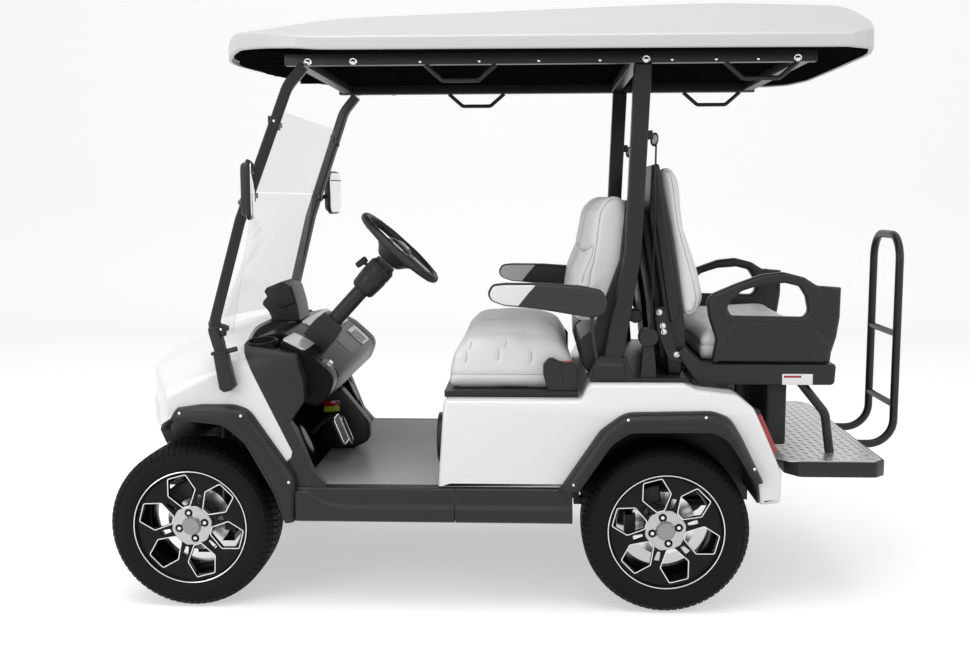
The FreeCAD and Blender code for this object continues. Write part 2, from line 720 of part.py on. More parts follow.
def square_tube(points, bend, width):
    """A square bar swept along bent runs in a plane of constant y."""
    path = bent_wire(points, bend)
    way = (points[1] - points[0]).normalize()
    over = Vector(0, 1, 0)
    side = way.cross(over)
    corners = [points[0] + (over * a + side * b) * (width / 2)
               for a, b in ((1, 1), (-1, 1), (-1, -1), (1, -1), (1, 1))]
    return path.makePipeShell([Part.makePolygon(corners)], True, False)


REACH = 3000     # past the cart's ends and sides, for tools that only cut by height


def slab(low, high):
    """All the space between two heights."""
    return Part.makeBox(2 * REACH, 2 * REACH, high - low, Vector(-REACH, -REACH, low))


def overrun(points, extra):
    """The same route with its first and last runs longer, to be cut flat."""
    first = points[0] + (points[0] - points[1]).normalize() * extra
    last = points[-1] + (points[-1] - points[-2]).normalize() * extra
    return [first] + points[1:-1] + [last]


def free_shape(name, shape):
    """A sub-part whose shape comes straight from Part's functions."""
    solid = doc.addObject("Part::Feature", name)
    solid.Shape = shape
    return solid


def point(along, sideways, up):
    return Vector(number(along), number(sideways), number(up))


# ---------------------------------------------------------------- rounding
SIDEWAYS = Vector(0, 1, 0)
UPRIGHT = Vector(0, 0, 1)


def corner_edges(way, above="0", least=15, outer_only=False):
    """Picks straight edges along one way where two flat faces meet at more than least degrees.

    The radius of each is at most what fits beside its neighbours. With outer_only, hollow
    corners are left sharp, for a part that lies against another there."""
    lowest = number(above)

    def pick(shape, radius):
        found = []
        for index, edge in enumerate(shape.Edges, 1):
            if not isinstance(edge.Curve, Part.Line) or edge.BoundBox.ZMin < lowest:
                continue
            if abs(edge.tangentAt(edge.FirstParameter).dot(way)) < 0.999:
                continue
            faces = shape.ancestorsOfType(edge, Part.Face)
            across_edge = faces[1].CenterOfMass - edge.CenterOfMass
            if outer_only and across_edge.dot(faces[0].normalAt(0, 0)) > 0:
                continue
            turn = faces[0].normalAt(0, 0).getAngle(faces[1].normalAt(0, 0))
            if math.degrees(turn) > least:
                beside = min(face.Area for face in faces) / edge.Length
                found.append((index, min(radius, 0.45 * beside / math.tan(turn / 2))))
        return found
    return pick


def rim_edges(distances, above="0"):
    """Picks the edges that lie in upright planes at these distances from the middle."""
    lowest, planes = number(above), [number(distance) for distance in distances]

    def pick(shape, radius):
        found = []
        for index, edge in enumerate(shape.Edges, 1):
            room = edge.BoundBox
            near = any(abs(abs(room.YMin) - distance) < 0.05 for distance in planes)
            if room.YLength < 0.01 and near and room.ZMin > lowest:
                found.append((index, radius))
        return found
    return pick


def face_edges(shape, radius):
    """Picks the edges round a solid's front and rear faces."""
    return [(index, radius) for index, edge in enumerate(shape.Edges, 1) if edge.BoundBox.XLength < 0.01]


def ring_edges(shape, radius):
    """Picks a cylinder's two end circles."""
    return [(index, radius) for index, edge in enumerate(shape.Edges, 1) if edge.isClosed()]


def rounded(name, base, steps):
    """Rounds a solid's edges in turn. steps: (what picks the edges, the radius as an expression)."""
    for turn, (pick, radius) in enumerate(steps):
        doc.recompute()
        fillet = doc.addObject("Part::Fillet", f"{name}_rounded_{turn}")
        fillet.Base = base
        fillet.Edges = [(index, value, value) for index, value in pick(base.Shape, number(radius))]
        base = fillet
    return base


def cut_corner(before, corner, after, reach):
    """Two points in place of a corner, each at a distance from it along its side."""
    result = []
    for other in (before, after):
        away = math.hypot(number(other[0]) - number(corner[0]), number(other[1]) - number(corner[1]))
        share = min(0.45, number(reach) / away)
        result.append(tuple(f"({a}) + {share:.4f} * (({b}) - ({a}))" for a, b in zip(corner, other)))
    return result


# ---------------------------------------------------------------- wheels
WHEELS = [
    # name, axle, side
    ("front_left", FRONT, -1),
    ("front_right", FRONT, 1),
    ("rear_left", REAR, -1),
    ("rear_right", REAR, 1),
]


def revolve(body, corners):
    """A profile of (along the axle, radius) turned round the Y axis."""
    feature = body.newObject("PartDesign::Revolution", f"{body.Name}_turn")
    feature.Profile = outline(body, "front", corners)
    feature.ReferenceAxis = (origin_of(body, "Y_Axis"), [""])
    feature.Angle = 360
    return feature


def place_wheel(body, axle, side):
    """Puts a left wheel on its axle end. Turned half round, it is a right wheel."""
    if side > 0:
        body.Placement = Placement(Vector(), Rotation(Vector(0, 0, 1), 180))
    bind(body, "Placement.Base.x", axle)
    bind(body, "Placement.Base.y", "half_track" if side > 0 else "-half_track")
    bind(body, "Placement.Base.z", "tyre_radius")


def tyre(name, axle, side):
    body = new_body(f"tyre_{name}")
    half = [
        ("bead_width / 2", "bead_radius"),
        ("bead_width / 2 + flange_width", "bead_radius + flange_height + tyre_lip"),
        ("tyre_width / 2", "bead_radius + 55"),
        ("tyre_width / 2 - 2", "tyre_radius - 34"),
        ("tread_width / 2 + 14", "tyre_radius - shoulder_drop"),
        ("tread_width / 2 - 8", "tyre_radius"),
    ]
    revolve(body, half + [(f"-({along})", radius) for along, radius in reversed(half)])
    place_wheel(body, axle, side)
    keep(body, body.Name)


def wheel(name, axle, side):
    """Rim, spokes, hub and brake disc in one turned piece, with the windows cut through."""
    body = new_body(f"wheel_{name}")
    back = "-(web_front - web_thickness)"
    bead_side = "bead_width / 2 + flange_width * flange_height / (flange_height + tyre_lip)"
    revolve(body, [
        ("-(bead_width / 2 + flange_width)", "bead_radius + flange_height"),
        (f"-({bead_side})", "bead_radius + flange_height"),
        ("-bead_width / 2", "bead_radius"),
        ("bead_width / 2", "bead_radius"),
        (bead_side, "bead_radius + flange_height"),
        ("bead_width / 2 + flange_width", "bead_radius + flange_height"),
        ("bead_width / 2 + flange_width", "bead_radius + 6"),
        ("bead_width / 2", "bead_radius - rim_wall"),
        (back, "bead_radius - rim_wall"),
        (back, "hub_radius"),
        (f"{back} + 30", "hub_neck_radius"),
        ("disc_offset", "hub_neck_radius"),
        ("disc_offset", "disc_radius"),
        ("disc_offset + disc_thickness", "disc_radius"),
        ("disc_offset + disc_thickness", "bore_radius"),
        ("-bore_depth", "bore_radius"),
        ("-bore_depth", "0"),
        ("-(web_front + 4)", "0"),
        ("-(web_front + 4)", "hub_radius / 2"),
        ("-web_front", "hub_radius"),
        ("-(web_front + 6)", "bead_radius - rim_wall"),
    ])
    corners = [(f"petal_{ring}_half", f"petal_{ring}") for ring in ("inner", "middle", "outer")]
    corners += [(f"-{half}", out) for half, out in reversed(corners)]
    window = outline(body, "side", [
        (f"({half}) * cos(petal_turn) - {out} * sin(petal_turn)",
         f"({half}) * sin(petal_turn) + {out} * cos(petal_turn)") for half, out in corners
    ], "web_front + 20")
    cut = extrude(body, "Pocket", window, "web_thickness + 21", both_ways=False)
    pattern = body.newObject("PartDesign::PolarPattern", f"{body.Name}_windows")
    pattern.Originals = [cut]
    pattern.Axis = (origin_of(body, "Y_Axis"), [""])
    pattern.Angle = 360
    bind(pattern, "Occurrences", "petal_count")
    body.Tip = pattern
    place_wheel(body, axle, side)
    keep(body, body.Name)


for wheel_name, wheel_axle, wheel_side in WHEELS:
    tyre(wheel_name, wheel_axle, wheel_side)
    wheel(wheel_name, wheel_axle, wheel_side)


# ---------------------------------------------------------------- axles and suspension
def caliper(name, sign, along):
    """A block that straddles the brake disc's edge. along: its middle from the axle."""
    outer_face = "(half_track - disc_offset + pad_gap)"
    inner_face = "(half_track - disc_offset - disc_thickness - pad_gap)"
    block = box(f"{name}_block",
                (f"{along} - caliper_depth / 2", f"{along} + caliper_depth / 2"),
                span(sign, f"{inner_face} - caliper_wall", f"{outer_face} + caliper_wall"),
                ("tyre_radius - caliper_height / 2", "tyre_radius + caliper_height / 2"))
    return block, (outer_face, inner_face)


def knuckle(sign, tag):
    """Kingpin, spindle and brake caliper, which turn together when the cart is steered."""
    name = f"knuckle_{tag}"
    side_y = f"{sign} * kingpin_y"
    pin = cylinder(f"{name}_kingpin", "z", (FRONT, side_y, "tyre_radius - kingpin_reach"),
                   "kingpin_radius", "2 * kingpin_reach")
    end = "half_track + bore_depth - 2"
    spindle_y = span(sign, "kingpin_y", end)[0]
    spindle = cylinder(f"{name}_spindle", "y", (FRONT, spindle_y, "tyre_radius"),
                       "bore_radius - pin_gap", f"{end} - kingpin_y")
    along = f"{FRONT} + disc_radius + 2"
    block, (outer_face, inner_face) = caliper(name, sign, along)
    slot = cylinder(f"{name}_slot", "y", (FRONT, span(sign, inner_face, outer_face)[0],
                                         "tyre_radius"),
                    "disc_radius + pad_gap", f"{outer_face} - {inner_face}")
    clamp = boolean("Cut", f"{name}_clamp", block, slot)
    bracket = box(f"{name}_bracket", (FRONT, f"{along} - 4"),
                  span(sign, "kingpin_y + 8", f"{inner_face} - caliper_wall / 3"),
                  ("tyre_radius - 22", "tyre_radius + 22"))
    keep(fuse(name, [pin, spindle, clamp, bracket]), name)


both_sides(knuckle)


def front_suspension():
    """Lower and upper arms, their cross member and hangers, and the shock absorbers."""
    low = ("tyre_radius - kingpin_reach - pin_gap - arm_thickness",
           "tyre_radius - kingpin_reach - pin_gap")
    high = ("tyre_radius + kingpin_reach + pin_gap",
            "tyre_radius + kingpin_reach + pin_gap + 16")
    rail_side = "rail_y + rail_width / 2"
    root = (f"{FRONT} - arm_root_width / 2", f"{FRONT} + arm_root_width / 2")
    tip = (f"{FRONT} - arm_width / 2", f"{FRONT} + arm_width / 2")
    pieces = [box("lower_root", root, ("-(shock_y + 22)", "shock_y + 22"), low),
              box("lower_tips", tip, ("-(kingpin_y + kingpin_radius)",
                                      "kingpin_y + kingpin_radius"), low)]

    def side(sign, tag):
        hanger = box(f"hanger_{tag}", root, span(sign, "rail_y", "rail_y + hanger_thickness"),
                     (low[1], "rail_bottom"))
        upper = box(f"upper_arm_{tag}", tip,
                    span(sign, rail_side, "kingpin_y + kingpin_radius"), high)
        shock = cylinder(f"shock_{tag}", "z",
                         (f"{FRONT} + shock_x", f"{sign} * shock_y", low[1]),
                         "shock_radius", f"tower_bottom - ({low[1]})")
        return [hanger, shock, upper]

    for sides in both_sides(side):
        pieces += sides
    keep(fuse("front_suspension", pieces), "front_suspension")


def rear_axle():
    """Axle tube with gear case, motor, stub shafts, calipers and leaf springs."""
    tube_end = "(half_track - disc_offset - disc_thickness - axle_end_gap)"
    shaft_end = "(half_track + bore_depth - 2)"
    pieces = [
        cylinder("axle_tube", "y", (REAR, f"-{tube_end}", "tyre_radius"),
                 "axle_tube_radius", f"2 * {tube_end}"),
        cylinder("stub_shafts", "y", (REAR, f"-{shaft_end}", "tyre_radius"),
                 "bore_radius - pin_gap", f"2 * {shaft_end}"),
        cylinder("gearcase", "y", (REAR, "-gearcase_width / 2", "tyre_radius"),
                 "gearcase_radius", "gearcase_width"),
        cylinder("motor", "y", (f"{REAR} + gearcase_radius + motor_radius - 60",
                                "-gearcase_width / 2", "tyre_radius"),
                 "motor_radius", "motor_length"),
    ]

    def side(sign, tag):
        along = f"{REAR} - disc_radius - 2"
        block, (outer_face, inner_face) = caliper(f"rear_caliper_{tag}", sign, along)
        slot = cylinder(f"rear_slot_{tag}", "y",
                        (REAR, span(sign, inner_face, outer_face)[0], "tyre_radius"),
                        "disc_radius + pad_gap", f"{outer_face} - {inner_face}")
        clamp = boolean("Cut", f"rear_clamp_{tag}", block, slot)
        arm = box(f"caliper_arm_{tag}", (f"{along} + 4", REAR),
                  span(sign, f"{inner_face} - caliper_wall", f"{inner_face} - caliper_wall / 3"),
                  ("tyre_radius - 22", "tyre_radius + 22"))
        return [clamp, arm]

    for sides in both_sides(side):
        pieces += sides
    return fuse("rear_axle", pieces)


def leaf_springs():
    """Flat springs on the axle tube, held by a shackle to each end of the rail's hangers."""
    low = "tyre_radius + axle_tube_radius - spring_thickness"
    pieces = []

    def side(sign, tag):
        leaf = box(f"leaf_{tag}", (f"{REAR} - spring_length / 2", f"{REAR} + spring_length / 2"),
                   span(sign, "spring_y - spring_width / 2", "spring_y + spring_width / 2"),
                   (low, f"{low} + spring_thickness + 6"))
        eyes = [box(f"shackle_{end}_{tag}",
                    (f"{REAR} {shift} spring_length / 2 - 20", f"{REAR} {shift} spring_length / 2 + 20"),
                    span(sign, "rail_y + rail_width / 2", "spring_y + spring_width / 2"),
                    (f"{low} + spring_thickness + 6", "rail_bottom + 50"))
                for end, shift in (("front", "-"), ("rear", "+"))]
        return [leaf] + eyes

    for sides in both_sides(side):
        pieces += sides
    return pieces


front_suspension()
axle = rear_axle()
keep(fuse("rear_axle_and_springs", [axle] + leaf_springs()), "rear_axle")


# ---------------------------------------------------------------- chassis
def chassis_frame():
    rail = ("rail_bottom", "floor_bottom")
    inside = ("-(rail_y - rail_width / 2)", "rail_y - rail_width / 2")
    front_end = f"{FRONT} + rail_front"
    rear_end = f"{REAR} + rail_rear"

    def side(sign, tag):
        long_rail = box(f"rail_{tag}", (front_end, rear_end),
                        span(sign, "rail_y - rail_width / 2", "rail_y + rail_width / 2"), rail)
        posts = [box(f"post_{index}_{tag}", (f"{middle} - post_width / 2", f"{middle} + post_width / 2"),
                     span(sign, "rail_y - post_width / 2", "rail_y + post_width / 2"),
                     ("floor_bottom", top))
                 for index, (middle, top) in enumerate([(f"{FRONT} + shock_x", "tower_bottom"),
                                                        (f"{REAR} + seat_post_x", "tray_bottom")])]
        return [long_rail] + posts

    crosses = [box(f"cross_{index}", (f"{middle} - cross_width / 2", f"{middle} + cross_width / 2"),
                   inside, rail)
               for index, middle in enumerate([f"{front_end} + cross_width / 2",
                                               f"{FRONT} + 260", f"{FRONT} + 700",
                                               f"{REAR} - 420", f"{REAR} + seat_post_x",
                                               f"{rear_end} - cross_width / 2"])]
    tower = box("tower", (f"{FRONT} + shock_x - 28", f"{FRONT} + shock_x + 28"),
                ("-(shock_y + shock_radius + 6)", "shock_y + shock_radius + 6"),
                ("tower_bottom", "tower_bottom + tower_height"))
    pieces = crosses + [tower]
    for sides in both_sides(side):
        pieces += sides
    keep(fuse("chassis_frame", pieces), "chassis_frame")


def battery_pack():
    """A heavy block under the front seat, on the floor between the rails."""
    keep(box("battery_pack", (f"{REAR} - battery_front", f"{REAR} - battery_rear"),
             ("-battery_half", "battery_half"),
             (FLOOR, f"{FLOOR} + 230")), "battery_pack")


def floor_pan():
    keep(box("floor_pan", (f"{FRONT} + firewall_foot_front_x", f"{REAR} + box_arch_foot_x"),
             ("-floor_half_width", "floor_half_width"), ("floor_bottom", FLOOR)), "floor_pan")


chassis_frame()
battery_pack()
floor_pan()


# ---------------------------------------------------------------- body panels
def nose_cylinder(name, inset, low, high):
    """The plan curve of the nose, as an upright cylinder."""
    return cylinder(name, "z", (f"{FRONT} + nose_x + nose_radius", "0", low),
                    f"nose_radius - ({inset})", f"({high}) - ({low})")


def hood_loft(name, wall):
    """Straight skins between the hood's sections, drawn in by the wall."""
    body = new_body(name)
    sketches = []
    for section in SECTIONS["hood"]:
        low, side, shoulder, crown, middle = [
            (f"body_half_width - {wall}", "bumper_top - 200"),
            (f"body_half_width - {wall}", f"hood_{section}_side_z - 0.4 * {wall}"),
            (f"hood_{section}_shoulder_y - 0.8 * {wall}", f"hood_{section}_shoulder_z - 0.8 * {wall}"),
            (f"hood_{section}_crown_y", f"hood_{section}_crown_z - {wall}"),
            ("0", f"hood_{section}_crown_z - {wall}")]
        right = ([low] + cut_corner(low, side, shoulder, "shoulder_cut")
                 + cut_corner(side, shoulder, crown, "shoulder_cut")
                 + cut_corner(shoulder, crown, middle, "2 * shoulder_cut"))
        left = [(f"-({sideways})", up) for sideways, up in reversed(right)]
        sketches.append(outline(body, "front", right + left, f"{FRONT} + hood_{section}_x"))
    loft = body.newObject("PartDesign::AdditiveLoft", f"{name}_loft")
    loft.Profile = sketches[0]
    loft.Sections = sketches[1:]
    loft.Ruled = True
    return body


def front_cowl():
    """The white hood and front fenders: a hollow shell, open below and behind."""
    outer = boolean("Common", "hood_outer", hood_loft("hood_loft_outer", "0"),
                    nose_cylinder("nose_outer", "0", "bumper_top - 220", "1100"))
    inner = boolean("Common", "hood_inner", hood_loft("hood_loft_inner", "panel_wall"),
                    nose_cylinder("nose_inner", "panel_wall", "bumper_top - 240", "1090"))
    shell = boolean("Cut", "hood_shell", outer, inner)
    keep_side = new_body("hood_side")
    across(keep_side, "Pad", side_outline("cowl"), "body_half_width + 20")
    trimmed = rounded("hood_side", keep_side, [
        (corner_edges(SIDEWAYS, outer_only=True), "panel_corner")])
    keep(boolean("Common", "front_cowl", shell, trimmed), "front_cowl")


def front_bumper():
    """A black strip that follows the nose, flat behind where the rails bolt on."""
    strip = nose_cylinder("bumper_curve", "8", "bumper_bottom", "bumper_top")
    front = new_body("bumper_face")
    right = [("bumper_half", "bumper_top"), ("bumper_half", "bumper_ends_z"),
             ("bumper_low_half", "bumper_bottom")]
    left = [(f"-{sideways}", up) for sideways, up in reversed(right)]
    extrude(front, "Pad", outline(front, "front", right + left, f"{FRONT} + nose_x - 20"),
            "bumper_end - nose_x + 20", both_ways=False)
    solid = boolean("Common", "bumper_solid", strip, front)
    inner = nose_cylinder("bumper_inner", "bumper_thickness", "bumper_bottom - 5", "bumper_top + 5")
    back = box("bumper_back", (f"{FRONT} + rail_front", f"{FRONT} + bumper_end + 20"),
               ("-body_half_width", "body_half_width"), ("bumper_bottom - 5", "bumper_top + 5"))
    hollow = boolean("Common", "bumper_hollow", inner, back)
    skin = boolean("Cut", "bumper_skin", solid, hollow)
    horns = box("bumper_horns", (f"{FRONT} + rail_front - 30", f"{FRONT} + rail_front"),
                ("-(rail_y + rail_width / 2)", "rail_y + rail_width / 2"),
                ("rail_bottom", "bumper_bottom"))
    keep(fuse("front_bumper", [skin, horns]), "front_bumper")


def inner_cowl():
    """Dark side panels with cup holders on top, and the firewall between them."""
    body = new_body("inner_cowl_block")
    across(body, "Pad", side_outline("side"), "body_half_width")
    across(body, "Pad", side_outline("firewall"), "body_half_width - panel_wall")
    back = f"{FRONT} + side_foot_rear_x + 60"
    low = [(f"{FRONT} + firewall_top_rear_x + 45", "pod_bottom"),
           (f"{FRONT} + firewall_foot_rear_x", FLOOR), (f"{FRONT} + firewall_foot_rear_x", f"{FLOOR} - 40"),
           (back, f"{FLOOR} - 40"), (back, "pod_bottom")]
    across(body, "Pocket", low, "(body_half_width - foot_well_wall)")
    high = [(f"{FRONT} + firewall_top_rear_x + 45", "pod_bottom - 2"),
            (f"{FRONT} + firewall_top_rear_x", "firewall_top_rear_z"),
            (f"{FRONT} + firewall_top_front_x - 30", "firewall_top_rear_z"),
            (f"{FRONT} + firewall_top_front_x - 30", "1100"), (back, "1100"),
            (back, "pod_bottom - 2")]
    across(body, "Pocket", high, "(body_half_width - dash_inset)")
    cups = [cylinder(f"cup_{tag}", "z", (f"{FRONT} + cup_x", f"{sign} * (body_half_width - cup_inset)",
                                         "side_top_z - cup_depth"), "cup_radius", "cup_depth + 60")
            for sign, tag in (("-1", "left"), ("1", "right"))]
    bored = boolean("Cut", "inner_cowl_bored", body, compound("cups", cups))
    under_hood = boolean("Common", "inner_cowl_shaped", bored, doc.getObject("hood_loft_outer"))
    keep(boolean("Cut", "inner_cowl", under_hood, made["front_cowl"]), "inner_cowl")


front_cowl()
front_bumper()
inner_cowl()


def column_cylinder(name, radius, start, length):
    """A cylinder on the steering axis. start: its lower end, down the axis from the wheel."""
    solid = doc.addObject("Part::Cylinder", name)
    solid.Placement = Placement(Vector(), Rotation(Vector(0, 1, 0), 90))
    bind(solid, "Placement.Rotation.Angle", "90 - steer_tilt")
    bind(solid, "Placement.Base.x", f"{FRONT} + steer_hub_x - ({start}) * cos(steer_tilt)")
    bind(solid, "Placement.Base.y", "steer_y")
    bind(solid, "Placement.Base.z", f"steer_hub_z - ({start}) * sin(steer_tilt)")
    bind(solid, "Radius", radius)
    bind(solid, "Height", length)
    return solid


def steering_column():
    """Column from the dashboard, its shroud and the boot at its foot."""
    column = column_cylinder("column", "column_radius", "column_length",
                             "column_length - steer_hub_depth - pin_gap")
    sleeves = [column_cylinder("shroud", "shroud_radius",
                               "steer_hub_depth + column_gap + shroud_length", "shroud_length"),
               column_cylinder("column_boot", "boot_radius", "column_length", "boot_length")]
    sleeves = [rounded(sleeve.Name, sleeve, [(ring_edges, "boot_rim")]) for sleeve in sleeves]
    keep(fuse("steering_column", [column] + sleeves), "steering_column")


def steering_wheel():
    """Rim, three spokes and hub, drawn round the upright axis and then tilted."""
    body = new_body("steering_wheel")
    ring = sketch_on(body, "front")
    ring.addGeometry(Part.Circle(Vector(number("steer_radius"), 0, 0), Vector(0, 0, 1),
                                 number("steer_grip")))
    ring.addConstraint(Sketcher.Constraint("DistanceX", -1, 1, 0, 3, number("steer_radius")))
    ring.addConstraint(Sketcher.Constraint("PointOnObject", 0, 3, -1))
    ring.addConstraint(Sketcher.Constraint("Radius", 0, number("steer_grip")))
    ring.setExpression("Constraints[0]", linked("steer_radius"))
    ring.setExpression("Constraints[2]", linked("steer_grip"))
    turned = body.newObject("PartDesign::Revolution", "steering_rim")
    turned.Profile = ring
    turned.ReferenceAxis = (origin_of(body, "Z_Axis"), [""])
    turned.Angle = 360
    hub = boss(body, "-steer_hub_depth", "steer_hub_depth + steer_cap", "steer_hub_radius")
    half = "spoke_width / 2"
    end = "steer_radius - steer_grip / 2"
    spokes = outline(body, "plan", [
        ("-" + half, f"-({end})"), (half, f"-({end})"), (half, "-" + half), (end, "-" + half),
        (end, half), (half, half), (half, end), ("-" + half, end),
    ], "-spoke_thickness / 2")
    extrude(body, "Pad", spokes, "spoke_thickness", both_ways=False)
    body.Placement = Placement(Vector(), Rotation(Vector(0, 1, 0), 90))
    bind(body, "Placement.Rotation.Angle", "90 - steer_tilt")
    bind(body, "Placement.Base.x", f"{FRONT} + steer_hub_x")
    bind(body, "Placement.Base.y", "steer_y")
    bind(body, "Placement.Base.z", "steer_hub_z")
    keep(body, "steering_wheel")


def boss(body, low, height, radius):
    """A round boss on the body's own upright axis."""
    sketch = sketch_on(body, "plan", low)
    sketch.addGeometry(Part.Circle(Vector(), Vector(0, 0, 1), number(radius)))
    sketch.addConstraint(Sketcher.Constraint("Coincident", 0, 3, -1, 1))
    held = sketch.addConstraint(Sketcher.Constraint("Radius", 0, number(radius)))
    sketch.setExpression(f"Constraints[{held}]", linked(radius))
    return extrude(body, "Pad", sketch, height, both_ways=False)


def dashboard():
    """The bent shell of the dashboard between the side panels, bored for the column."""
    body = new_body("dash_shell")
    across(body, "Pad", side_outline("dash"), "(body_half_width - dash_inset)")
    shell = rounded("dash_shell", body, [(corner_edges(SIDEWAYS, outer_only=True), "dash_corner")])
    bore = column_cylinder("column_bore", "boot_radius", "column_length", "column_length")
    keep(boolean("Cut", "dashboard", shell, bore), "dashboard")


def display_pod():
    body = new_body("display_pod")
    across(body, "Pad", side_outline("pod"), "pod_half")
    keep(rounded("display_pod", body, [
        (corner_edges(SIDEWAYS, above="dash_crest_z + 2"), "dash_corner"),
        (rim_edges(["pod_half"], above="dash_crest_z + 1"), "dash_rim")]), "display_pod")


def pedals():
    """Brake and accelerator: an arm from the firewall down to a pad each."""
    pieces = []
    for tag, middle, half, low in (("brake", "brake_y", "brake_half", "brake_low"),
                                   ("accelerator", "accel_y", "accel_half", "accel_low")):
        body = new_body(f"{tag}_pedal")
        pad_face = [(f"{FRONT} + pedal_x", low), (f"{FRONT} + pedal_x + pedal_thickness", low),
                    (f"{FRONT} + pedal_x + pedal_thickness - pedal_lean", f"{low} + pedal_height"),
                    (f"{FRONT} + pedal_x - pedal_lean", f"{low} + pedal_height")]
        extrude(body, "Pad", outline(body, "side", pad_face, f"-({middle})"), f"2 * {half}")
        arm_low = f"{low} + pedal_height / 2"
        arm = [(f"{FRONT} + firewall_top_rear_x + pedal_out", "pedal_pivot"),
               (f"{FRONT} + firewall_top_rear_x + pedal_out", "pedal_pivot - pedal_arm"),
               (f"{FRONT} + pedal_x - pedal_lean / 2", arm_low),
               (f"{FRONT} + pedal_x - pedal_lean / 2 + 6", f"{arm_low} + pedal_arm"),]
        extrude(body, "Pad", outline(body, "side", arm, f"-({middle})"), "pedal_arm")
        pieces.append(body)
    keep(boolean("Cut", "pedals", compound("pedal_pair", pieces), made["inner_cowl"]), "pedals")


steering_column()
steering_wheel()
dashboard()
display_pod()
pedals()


# ---------------------------------------------------------------- flares, rockers, liners
def side_pair(name, table, inner, outer, steps):
    """A side outline from inner to outer on both sides, with its edges rounded in steps."""
    body = new_body(name)
    pair(body, "Pad", side_outline(table), inner, outer)
    keep(rounded(name, body, steps), name)


flare_outer = "body_half_width + flare_out"
for end in ("front", "rear"):
    side_pair(f"{end}_fender_flares", f"{end}_flare", "body_half_width", flare_outer,
              [(corner_edges(SIDEWAYS), "flare_corner"), (rim_edges([flare_outer]), f"{end}_flare_rim")])
side_pair("rocker_panels", "rocker", "floor_half_width", "rocker_half_width",
          [(rim_edges(["rocker_half_width"]), "panel_rim")])


def wheel_liners():
    """Front: bent sheets over the steered wheels. Rear: flat walls inside the arches."""
    body = new_body("wheel_liners")
    front = extrude(body, "Pad", outline(body, "side", side_outline("front_liner"), "liner_inner"),
                    "body_half_width - liner_inner", both_ways=False)
    rear = extrude(body, "Pad", outline(body, "side", side_outline("rear_liner"),
                                        "rear_liner_y - liner_wall"),
                   "liner_wall", both_ways=False)
    mirror(body, [front, rear])
    keep(body, "wheel_liners")


wheel_liners()


def rear_body():
    """The white seat box and rear fenders: hollow, with a closed arch over each rear wheel."""
    outer = new_body("box_outer")
    across(outer, "Pad", side_outline("box"), "body_half_width")
    soft = rounded("box", outer, [
        (corner_edges(SIDEWAYS, above=f"{FLOOR} + 5", outer_only=True), "panel_corner"),
        (rim_edges(["body_half_width"]), "panel_rim")])
    section = new_body("box_section")
    half = "body_half_width"
    extrude(section, "Pad", outline(section, "front", [
        (f"-{half}", "box_cut_low"), (half, "box_cut_low"), (half, "seat_deck - 50"),
        (f"{half} - 38", "rear_deck + 1"), (f"-({half} - 38)", "rear_deck + 1"),
        (f"-{half}", "seat_deck - 50")], REAR), f"{REACH}")
    skin = boolean("Common", "box_skin", soft, section)
    sketch = next(o for o in outer.Group if o.TypeId == "Sketcher::SketchObject")
    drawn_in = doc.addObject("Part::Offset2D", "box_offset")
    drawn_in.Source = sketch
    bind(drawn_in, "Value", "-panel_wall")
    drawn_in.Join = 0
    core = doc.addObject("Part::Extrusion", "box_core")
    core.Base = drawn_in
    core.DirMode = "Custom"
    core.Dir = Vector(0, 1, 0)
    core.Solid = True
    core.Symmetric = True
    bind(core, "LengthFwd", "2 * (body_half_width - 1.8 * panel_wall)")
    shell = boolean("Cut", "box_shell", skin, core)
    under = box("box_under", (f"{REAR} + box_front_low_x + panel_wall", f"{REAR} + box_tail_low_x + 20"),
                ("-(rear_liner_y - liner_wall)", "rear_liner_y - liner_wall"),
                ("box_cut_low", "box_corner_z"))
    mouth = box("box_mouth", (f"{REAR} + box_front_low_x + panel_wall", f"{REAR} + box_arch_foot_x - 10"),
                ("-(body_half_width - 1.8 * panel_wall)", "body_half_width - 1.8 * panel_wall"),
                ("floor_bottom", f"{FLOOR} + panel_wall + 1"))
    back = box("box_back", (f"{REAR} + box_step_x", f"{REAR} + box_tail_low_x + 20"),
               ("-(rear_liner_y - liner_wall)", "rear_liner_y - liner_wall"),
               ("box_cut_low", "rear_deck + 1"))
    hatch = box("box_hatch", (f"{REAR} + box_front_top_x + hatch_ledge",
                              f"{REAR} + box_rear_top_x - hatch_ledge"),
                ("-hatch_half", "hatch_half"), ("seat_deck - 3 * panel_wall", "seat_deck + 1"))
    keep(boolean("Cut", "rear_body", shell, compound("box_cuts", [under, mouth, back, hatch])),
         "rear_body")


rear_body()


# ---------------------------------------------------------------- seats
DECK_PLANE = "rear_deck + trim_thickness"
PAD_STEPS = [(corner_edges(SIDEWAYS), "pad_corner"), (rim_edges(["back_inner", "back_outer"]), "pad_rim")]
SHELL_STEPS = [(corner_edges(SIDEWAYS, above=f"{DECK_PLANE} + 8"), "shell_corner"),
               (rim_edges(["back_outer"], above=f"{DECK_PLANE} + 1"), "shell_rim")]


